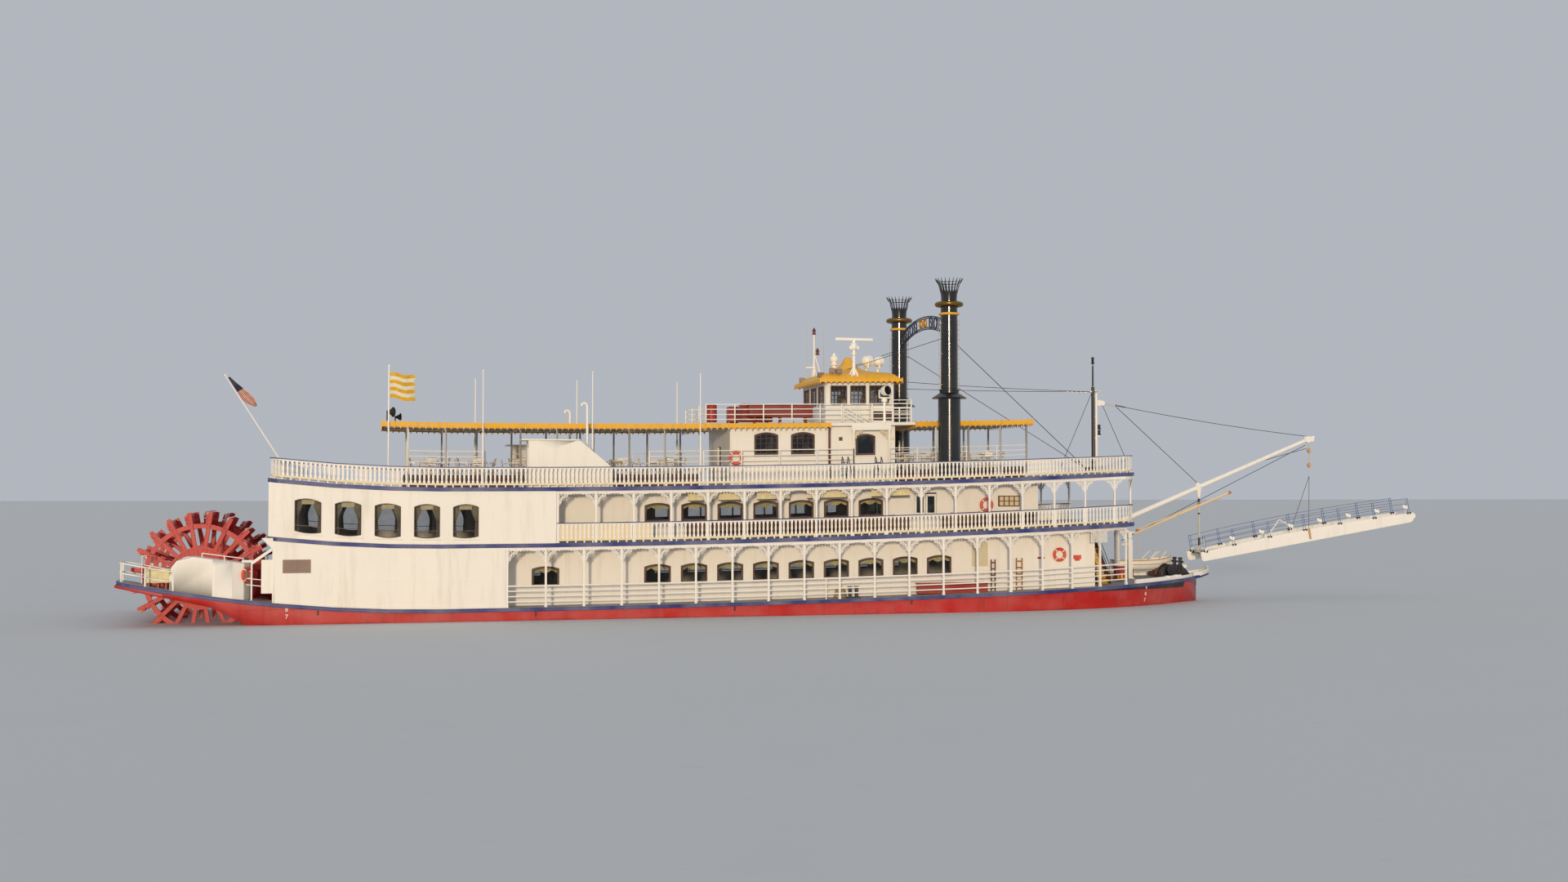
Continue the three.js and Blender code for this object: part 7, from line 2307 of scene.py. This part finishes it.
# lattice panel at the head of the bay where the stair stands
slats, lowZ, highZ, x0, x1 = [], 3.6, 4.13, 20.24, 21.15
for k in range(-4, 9):
    for way in (1, -1):
        start = x0 + 0.115 * k if way == 1 else x1 - 0.115 * k
        line = [(start + way * t, lowZ + t) for t in (0.0, highZ - lowZ)]
        clipped = [(min(max(x, x0), x1), lowZ + (min(max(x, x0), x1) - start) * way) for x, z in line]
        if abs(clipped[0][0] - clipped[1][0]) > 0.03:
            slats.append([(x, -5.2, z) for x, z in clipped])
slats.append([(x0, -5.2, lowZ), (x1, -5.2, lowZ), (x1, -5.2, highZ), (x0, -5.2, highZ), (x0, -5.2, lowZ)])
launchPair(pipes(slats, 0.014, 1), "bow_lattice", "railWhite")
print("bow is done")


# Doors, engine, flags, curtains and what stands along the decks

saloonDoor = {"centre": 11.1, "low": deck["second"] + 0.13 + sheerAt(11.1, deck["second"]), "height": 1.9,
              "sheet": 0.07}


def doorLeaf(hingeX, meetX, side):  # stiles and rails round a dark pane above and a panel below
    x0, x1 = min(hingeX, meetX) + 0.004, max(hingeX, meetX) - 0.004
    low, high = saloonDoor["low"], saloonDoor["low"] + saloonDoor["height"]
    y0, y1 = (-4.4, -4.33) if side < 0 else (4.33, 4.4)
    parts = [timber((x, y0, low), (x + 0.1, y1, high), 0.008) for x in (x0, x1 - 0.1)]
    parts += [timber((x0 + 0.09, y0 + 0.002, z), (x1 - 0.09, y1 - 0.002, z + tall), 0.008)
              for z, tall in ((low, 0.18), (low + 0.8, 0.1), (high - 0.12, 0.12))]
    parts.append(timber((x0 + 0.09, y0 + 0.025, low + 0.16), (x1 - 0.09, y1 - 0.025, low + 0.82), 0.006))
    parts.append(timber((x0 + 0.15, y0 + 0.014, low + 0.26), (x1 - 0.15, y1 - 0.014, low + 0.72), 0.012))
    pane = brick((x0 + 0.09, y0 + 0.03, low + 0.88), (x1 - 0.09, y1 - 0.03, high - 0.1))
    way = 1 if meetX > hingeX else -1
    handle = [(meetX - way * 0.07, side * (4.4 + 0.002), low + 0.98),
              (meetX - way * 0.07, side * 4.43, low + 0.98), (meetX - way * 0.18, side * 4.43, low + 0.98)]
    hinges = [upright(hingeX, side * 4.4, low + up, low + up + 0.12, 0.014, sides=10)
              for up in (0.25, 1.55)]
    return joined(parts), pane, joined([pipes([handle], 0.012, 1)] + hinges)


for side, label in shipSides:
    for way, end in ((-1, "aft"), (1, "forward")):
        hingeX, meetX = saloonDoor["centre"] + way * 0.605, saloonDoor["centre"] + way * 0.008
        leaf, pane, handle = doorLeaf(hingeX, meetX, side)
        name, body = f"saloon_door_{end}_{label}", f"door_{end}_{label}"
        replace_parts(launch(leaf, name + "_frame", "houseWhite", body=body), name)
        launch(pane, name + "_pane", "glassDark", body=body)
        launch(handle, name + "_handle", "steelGrey", 50, body=body)

# engine inside the stern house: block, heads, flywheel and pipes
reworked("engine", [finishes["engineGrey"]], onlyPaint)
engineZ = deck["main"] + sheerAt(-17.0, deck["main"])
heads = [timber((-19.3 + 0.62 * i, -0.42, engineZ + 1.72), (-18.8 + 0.62 * i, 0.42, engineZ + 1.98), 0.04,
                2) for i in range(6)]
heads += [barrel((-15.3, 0, engineZ + 0.75), (-15.14, 0, engineZ + 0.75), 0.62, sides=40),
          pipes([[(-19.2, -0.75, engineZ + 1.72), (-19.2, -0.75, engineZ + 1.95),
                  (-15.6, -0.75, engineZ + 1.95), (-15.6, -0.75, engineZ + 1.7)],
                 [(-19.2, 0.75, engineZ + 1.72), (-19.2, 0.75, engineZ + 1.9), (-15.6, 0.75, engineZ + 1.9),
                  (-15.6, 0.75, engineZ + 1.7)]], 0.07, 3)]
heads += [barrel((-19.1 + 0.62 * i, -1.1, engineZ + 0.9), (-19.1 + 0.62 * i, -1.17, engineZ + 0.9), 0.16,
                 sides=20) for i in range(6)]
launch(heads, "engine_heads", "engineGrey", 40)


def cloth(across, down, place):  # a sheet of cloth as a grid, each knot set by its share across and down
    clearSelection()
    bpy.ops.mesh.primitive_grid_add(x_subdivisions=across, y_subdivisions=down, size=1)
    obj = bpy.context.object
    for vertex in obj.data.vertices:
        vertex.co = place(vertex.co.x + 0.5, vertex.co.y + 0.5)
    return obj


def foldDepth(width, clothWidth, folds):  # how deep even folds are that take up the cloth's width
    return sqrt(max((clothWidth / folds / 2) ** 2 - (width / folds / 2) ** 2, 0))


# tied curtains in the tall windows, with a small blind between them
curtain = {"folds": 5, "cloth": 0.62, "y": 5.74,
           # columns: share of the height from the foot, inner edge, outer edge
           "edges": [(0.0, 0.41, 0.6), (0.2, 0.43, 0.6), (0.4, 0.46, 0.6), (0.47, 0.47, 0.6), (0.6, 0.4, 0.6),
                     (0.78, 0.28, 0.6), (1.0, 0.17, 0.6)]}


def hangCurtain(centreX, hand, side):
    kind = windows["tall"]
    low, high = kind["sill"] - 0.02, kind["sill"] + kind["height"] - 0.02

    def place(u, v):
        inner = fromTable([(share, a) for share, a, b in curtain["edges"]], v)
        outer = fromTable([(share, b) for share, a, b in curtain["edges"]], v)
        depth = foldDepth(outer - inner, curtain["cloth"], curtain["folds"])
        wave = 0.5 - 0.5 * cos(u * curtain["folds"] * 2 * pi)
        z = low + (high - low) * v
        x = centreX + hand * (outer + (inner - outer) * u)
        return (x, side * (curtain["y"] - depth * wave), z + sheerAt(x, z))

    return cloth(4 * curtain["folds"], 8, place)


for k, centreX in enumerate(windows["tall"]["xs"]):
    for side, label in shipSides:
        for hand, end in ((-1, "aft"), (1, "forward")):
            piece = launch(hangCurtain(centreX, hand, side), f"curtain_{label}_{k}_{end}", "curtainBeige",
                           70)
        z = windows["tall"]["sill"] + windows["tall"]["height"]
        blind = cloth(6, 4, lambda u, v: (centreX - 0.3 + 0.6 * u, side * (5.78 + 0.01 * sin(v * 6)),
                                          z - 0.26 + 0.24 * v + sheerAt(centreX, z)))
        piece = launch(blind, f"short_blind_{label}_{k}", "blindCream", 70)
rods = pipes([routeAlong([(-21.2, -5.72), (-12.3, -5.72)], 5.72)], 0.02, 1)
ties = [hoop((x + hand * 0.545, -5.72, 4.84 + sheerAt(x, 4.84)), 0.06, 0.012, steps=14, sides=5)
        for x in windows["tall"]["xs"] for hand in (-1, 1)]
launchPair([rods] + ties, "curtain_rods", "frameDark", 50)


# yellow valances, hung in two swags over the saloon and main-deck windows
def swag(centreX, kind, side):
    high = kind["sill"] + kind["height"] - 0.03

    def place(u, v):
        drop = 0.13 + 0.14 * abs(cos(u * 2 * pi))
        z = high - drop * (1 - v)
        x = centreX + kind["width"] * (u - 0.5) * 0.98
        return (x, side * (4.26 + 0.02 * sin(u * 20 * pi)), z + sheerAt(x, z))

    return cloth(40, 3, place)


for name, body in (("saloon", windows["saloon"]), ("main", windows["main"])):
    for k, centreX in enumerate(body["xs"]):
        for side, label in shipSides:
            piece = launch(swag(centreX, body, side), f"{name}_valance_{label}_{k}", "valanceYellow", 70)
    rod = pipes([routeAlong([(body["xs"][0] - 0.66, -4.2), (body["xs"][-1] + 0.66, -4.2)],
                            body["sill"] + body["height"] - 0.03)], 0.014, 1)
    launchPair(rod, f"{name}_valance_rods", "frameDark", 50)

# blinds along the gallery of the second deck, rolled up under the deck above
gallery = [(-1.88, -0.61), (-0.31, 1.14), (1.70, 3.42), (4.34, 6.49), (7.82, 9.92)]
blindBars = []
for k, (x0, x1) in enumerate(gallery):
    for side, label in shipSides:
        def blindPlace(u, v):
            x = x0 + (x1 - x0) * u
            return (x, side * (5.3 + 0.012 * sin(u * 9 + v * 4)), 5.76 + 0.4 * v + sheerAt(x, 6.1))

        piece = launch(cloth(12, 3, blindPlace), f"gallery_blind_{label}_{k}", "blindCream", 70)
    blindBars.append([(x, -5.3, 5.75 + sheerAt(x, 6.1)) for x in (x0, x1)])
launchPair(pipes(blindBars, 0.026, 1), "gallery_blind_bars", "wainscotBrown", 50)

# brown wainscot and wooden benches along the saloon wall
wainscot = longStrip(-1.9, 10.3, -4.4, 3.86, 4.6, 0.03)
more = longStrip(11.9, 17.4, -4.4, 3.86, 4.6, 0.03)
launchPair([wainscot, more], "saloon_wainscot", "wainscotBrown", slot="rail_white")
benches = []
for x in (-1.2, 1.0, 3.2, 5.4, 7.6, 12.4, 14.6):
    seat = [timber((x + 0.02, -4.95 + 0.11 * i, 4.18), (x + 1.78, -4.86 + 0.11 * i, 4.21), 0.006)
            for i in range(4)]
    seat += [timber((x + 0.02, -4.5, 4.36 + 0.14 * i), (x + 1.78, -4.47, 4.46 + 0.14 * i), 0.006)
             for i in range(3)]
    seat += [brick((x + at, -4.94, 3.78), (x + at + 0.05, -4.89, 4.18)) for at in (0.1, 1.65)]
    seat += [brick((x + at, -4.53, 3.78), (x + at + 0.05, -4.48, 4.76)) for at in (0.1, 1.65)]
    benches += seat
launchPair(lifted(benches), "gallery_benches", "benchWood")


# life rings: orange with four white bands, hung flat on a wall or rail
def lifeRing(place, radius=0.3):
    turn = turnBy(pi / 2, "X")
    ring = hoop(place, radius, 0.085, turn, 36, 12)
    bands = []
    for k in range(4):
        angle = pi / 4 + pi / 2 * k
        centre = (place[0] + radius * cos(angle), place[1], place[2] + radius * sin(angle))
        wrap = hoop((0, 0, 0), 0.086, 0.012, Matrix.Diagonal((1, 1, 2.2, 1)), 14, 5)
        wrap.data.transform(moveBy(*centre) @ turnBy(-angle, "Y"))
        bands.append(wrap)
    return ring, bands


rings, ringBands = [], []
for place in ((14.5, -4.52, 5.62), (18.69, -4.52, 2.92), (1.09, -2.98, 8.09)):
    ring, bands = lifeRing(place)
    rings.append(ring)
    ringBands += bands
launch(rings, "life_rings", "ringOrange", 60)
launch(ringBands, "life_ring_bands", "railWhite", 60)

# panels, ladders, boards and boxes along the main and second decks
# columns: x ends, z ends, thickness; all stand on the starboard wall, absolute heights
def wallPlates(rows, face=-4.4):
    return [timber((x0, face - thick, z0), (x1, face + 0.01, z1), 0.008) for x0, x1, z0, z1, thick in rows]


launch(wallPlates([(13.71, 14.59, 2.34, 3.6, 0.04)]), "pale_panel", "signGrey")
launchPair(wallPlates([(17.45, 17.85, 2.7, 2.8, 0.02)]), "name_plates", "lockerRed", slot="hull_red")
launchPair(wallPlates([(19.5, 20.0, 2.66, 2.88, 0.02), (19.62, 19.9, 2.57, 2.67, 0.02)]), "wall_signs",
           "ringOrange")
launchPair(wallPlates([(15.2, 16.42, 5.53, 6.11, 0.05)]), "notice_board", "wallWood")
cells = [(15.27 + 0.29 * i, 15.5 + 0.29 * i, 5.58 + 0.26 * k, 5.8 + 0.26 * k, 0.056) for i in range(4)
         for k in range(2)]
launchPair(wallPlates(cells), "notice_cards", "signGrey", slot="rail_white")


def wallLadder(x, low, high, width, y=-4.52):
    rails = [timberOver(x + way * width / 2, y, 0.03, 0.03, low, high, 0.006)
             for way in (-1, 1)]
    count = round((high - low) / 0.36)
    rungs = [timber((x - width / 2, y - 0.04, low + (i + 0.5) * (high - low) / count - 0.035),
                    (x + width / 2, y + 0.02, low + (i + 0.5) * (high - low) / count + 0.035), 0.006)
             for i in range(count)]
    return joined(rails + rungs)


launchPair(wallLadder(16.35, deckAt(16.35), 2.76, 0.32), "short_ladder", "benchWood")
launchPair(wallLadder(14.86, deckAt(14.86), 2.7, 0.22), "dark_ladder", "wainscotBrown", slot="rail_white")
chest = [timber((10.52, -4.95, deckAt(12.0)), (14.4, -4.5, deckAt(12.0) + 0.5), 0.02),
         timber((10.48, -4.99, deckAt(12.0) + 0.5), (14.44, -4.46, deckAt(12.0) + 0.56), 0.015)]
chest += [brick((x, -4.965, deckAt(12.0) + 0.06), (x + 0.03, -4.945, deckAt(12.0) + 0.46))
          for x in (11.5, 12.45, 13.4)]
launchPair(chest, "deck_chests", "boxRed", slot="hull_red")
coilParts = [hoop((6.24, -4.9, deckAt(6.24) + 0.05 + 0.07 * i), 0.32 - 0.02 * i, 0.045, steps=28, sides=8)
             for i in range(6)]
launch(coilParts, "rope_coil", "ropeTan", 60)
sideBitts = [upright(x, -5.45, deckAt(x), deckAt(x) + 0.55, 0.09, sides=20) for x in (6.6, 6.95)]
sideBitts += [upright(x, -5.45, deckAt(x) + 0.55, deckAt(x) + 0.6, 0.13, sides=20) for x in (6.6, 6.95)]
sideBitts += [timber((6.4, -5.6, deckAt(6.8)), (7.15, -5.3, deckAt(6.8) + 0.05), 0.01)]
launchPair(sideBitts, "side_bitts", "ironBlack", 40)

# fittings round the wheel: rails, locker, pipes and brackets, at absolute heights
sternFit = {
    "casingRail": {"xs": (-25.2, -24.2, -23.35), "y": -5.5, "top": 2.35, "rise": 0.22},
    "wallBars": {"x": (-23.2, -21.92), "y": -5.7, "heights": (2.22, 1.92), "fall": 0.15},
    "bentPost": {"x": (-27.99, -27.8), "y": -4.5, "top": 3.28, "end": 3.15},
    "davit": {"x": (-23.4, -22.9), "postX": -22.95, "y": -5.66, "z": 3.02},
    "locker": {"x": (-27.7, -26.65), "y": (-5.45, -4.85), "z": (2.04, 2.62), "lid": 0.06, "over": 0.04,
               "feet": (-27.6, -27.2, -26.85)},
    "louvre": {"x": (-21.53, -20.24), "y": -5.965, "z": (2.45, 3.09), "slats": 9, "pitch": 0.06},
    "bar": 0.024,
}
rail, wallBar, post = sternFit["casingRail"], sternFit["wallBars"], sternFit["bentPost"]
casingRail = [(x, rail["y"], rail["top"] + sheerAt(x, rail["top"]) + rail["rise"]) for x in rail["xs"]]
sternPipes = [casingRail] + [[(x, y, z - rail["rise"] - 0.03), (x, y, z)] for x, y, z in casingRail]
(x0, x1), y = wallBar["x"], wallBar["y"]
sternPipes += [[(x0, y, z), (x1, y, z - wallBar["fall"])] for z in wallBar["heights"]]
(x0, x1), y = post["x"], post["y"]
sternPipes.append([(x0, y, deckAt(-28)), (x0, y, post["top"]), (x1, y, post["top"]), (x1, y, post["end"])])
launchPair(pipes(sternPipes, sternFit["bar"], 1), "stern_rails", "railWhite", 50)
(x0, x1), x, y, z = [sternFit["davit"][key] for key in ("x", "postX", "y", "z")]
davit = [barrel((x0, y, z), (x1, y, z), 0.07, sides=14),
         upright(x, y, deckAt(-23), z, 0.045, sides=14), ball((x, y, z), (0.08, 0.08, 0.08), 12)]
launchPair(davit, "stern_davits", "railWhite", 50)
(x0, x1), (y0, y1), (z0, z1), lid, over, feet = sternFit["locker"].values()
sternLocker = [timber((x0, y0, z0), (x1, y1, z1), 0.02),
               timber((x0 - over, y0 - over, z1), (x1 + over, y1 + over, z1 + lid), 0.015),
               timber((x0 + 0.5, y0 - 0.015, z0 + 0.06), (x0 + 0.53, y0 + 0.01, z1 - 0.06), 0.004)]
launchPair(sternLocker, "stern_lockers", "blindCream", slot="house_white")
lockerFeet = [timber((x, y0 + 0.05, deckAt(-27.2) - 0.12), (x + 0.1, y1 - 0.05, z0 + 0.01), 0.01)
              for x in feet]
launchPair(lockerFeet, "stern_locker_feet", "boxRed")
slant = timber((-0.56, -5.93, -0.07), (0.56, -5.84, 0.07), 0.01)
slant.data.transform(moveBy(-22.47, 0, 3.27) @ turnBy(-atan2(0.62, 0.86), "Y"))
deckBracket = sawn([(-22.5, 4.12), (-22.02, 3.62), (-21.98, 3.62), (-21.98, 4.12)], 0.08)
deckBracket.data.transform(moveBy(0, -5.88, 0))
sidePanel = timber((-22.5, -5.92, 1.5), (-21.95, -5.86, 3.1), 0.01)
launchPair([slant, deckBracket, sidePanel], "stern_brackets", "houseWhite")
(x0, x1), y, (z0, z1), slats, pitch = sternFit["louvre"].values()
ventPanel = [timber((x0, y, z0), (x1, y + 0.035, z1), 0.008)]
for i in range(slats):
    z = z0 + 0.05 + pitch * i
    ventPanel.append(brick((x0 + 0.06, y - 0.015, z), (x1 - 0.06, y + 0.015, z + 0.03)))
launchPair(ventPanel, "vent_panels", "plateGrey", slot="engine_grey")
cornerRing, cornerBands = lifeRing((0, 0, 0))
cornerTurn = moveBy(-23.16, -5.6, 2.38) @ turnBy(radians(58), "Z")
for piece in [cornerRing] + cornerBands:
    piece.data.transform(cornerTurn)
launch(cornerRing, "corner_ring", "ringOrange", 60)
launch(cornerBands, "corner_ring_bands", "railWhite", 60)

# the two flags
staffFoot = Vector((-21.4, 0, deck["top"] + sheerAt(-21.4, deck["top"]) + 0.05))
staffTip = Vector((-24.72, 0, 12.21))
staffWay = (staffTip - staffFoot).normalized()
staffSide = Vector((staffWay.z, 0, -staffWay.x))
staffParts = [barrel(staffFoot, staffTip, 0.05, 0.032, 16), ball(staffTip, (0.07, 0.07, 0.07), 14),
              barrel(staffFoot - Vector((0, 0, 0.05)), staffFoot + Vector((0, 0, 0.07)), 0.12, 0.1, 18)]
flagRows = [(0.0, 0.0, 0.1), (0.2, 0.0, 0.2), (0.45, 0.0, 0.36), (0.65, 0.0, 0.5), (0.82, 0.1, 0.55),
            (1.0, 0.34, 0.46)]


def sternFlagAt(u, v):  # limp folds that hang along the staff and leave it near the foot
    near = fromTable([(s, a) for s, a, b in flagRows], 1 - v)
    far = fromTable([(s, b) for s, a, b in flagRows], 1 - v)
    depth = 0.7 * foldDepth(far - near, 0.85, 4)
    spot = staffTip - staffWay * (0.16 + 1.95 * (1 - v)) + staffSide * (near + (far - near) * u + 0.05)
    return spot + Vector((0, depth * sin(u * 8 * pi), 0))


flagGrid = {"columns": 24, "rows": 16, "striped": 9, "stripe": 2}
sternFlag = cloth(flagGrid["columns"], flagGrid["rows"], sternFlagAt)
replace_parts(launch(staffParts, "stern_flagstaff", "railWhite", 50, slot="spar_white"), "stern_flag")
launch(sternFlag, "stern_flag_cloth", "flagBlue", 80)
for finish in ("flagRed", "flagWhite"):
    sternFlag.data.materials.append(finishes[finish])
for face in sternFlag.data.polygons:
    row, column = divmod(face.index, flagGrid["columns"])
    if row < flagGrid["striped"]:
        face.material_index = 1 + (column // flagGrid["stripe"]) % 2

pole = {"x": -16.68, "y": -3.42, "foot": deck["top"] + sheerAt(-16.68, deck["top"]), "top": 12.57,
        "flagFoot": 11.0, "hoist": 1.25, "fly": 1.2, "columns": 20, "rows": 14}
poleParts = [upright(pole["x"], pole["y"], pole["foot"], pole["top"], 0.05, 0.04, 16),
             ball((pole["x"], pole["y"], pole["top"]), (0.06, 0.06, 0.09), 14),
             timberOver(pole["x"], pole["y"], 0.11, 0.11, pole["foot"], pole["foot"] + 0.1, 0.02)]
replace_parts(launch(poleParts, "canopy_flagpole", "railWhite", 50, slot="spar_white"), "canopy_flag")


def canopyFlagAt(u, v):  # blown forward, with a ragged fly
    ragged = (1 + 0.06 * sin(v * 23) + 0.05 * sin(v * 47)) if u > 0.93 else 1
    x = pole["x"] + 0.05 + pole["fly"] * u * ragged
    z = pole["flagFoot"] + pole["hoist"] * v - 0.2 * u * (1 - v * 0.4) + 0.04 * sin(u * 8)
    return (x, pole["y"] + 0.09 * u * sin(u * 7.5 + v * 1.2), z)


canopyFlag = cloth(pole["columns"], pole["rows"], canopyFlagAt)
launch(canopyFlag, "canopy_flag_cloth", "flagYellow", 80)
canopyFlag.data.materials.append(finishes["flagWhite"])
for face in canopyFlag.data.polygons:
    face.material_index = (face.index // pole["columns"] // 2) % 2
print("doors, flags and curtains are done")
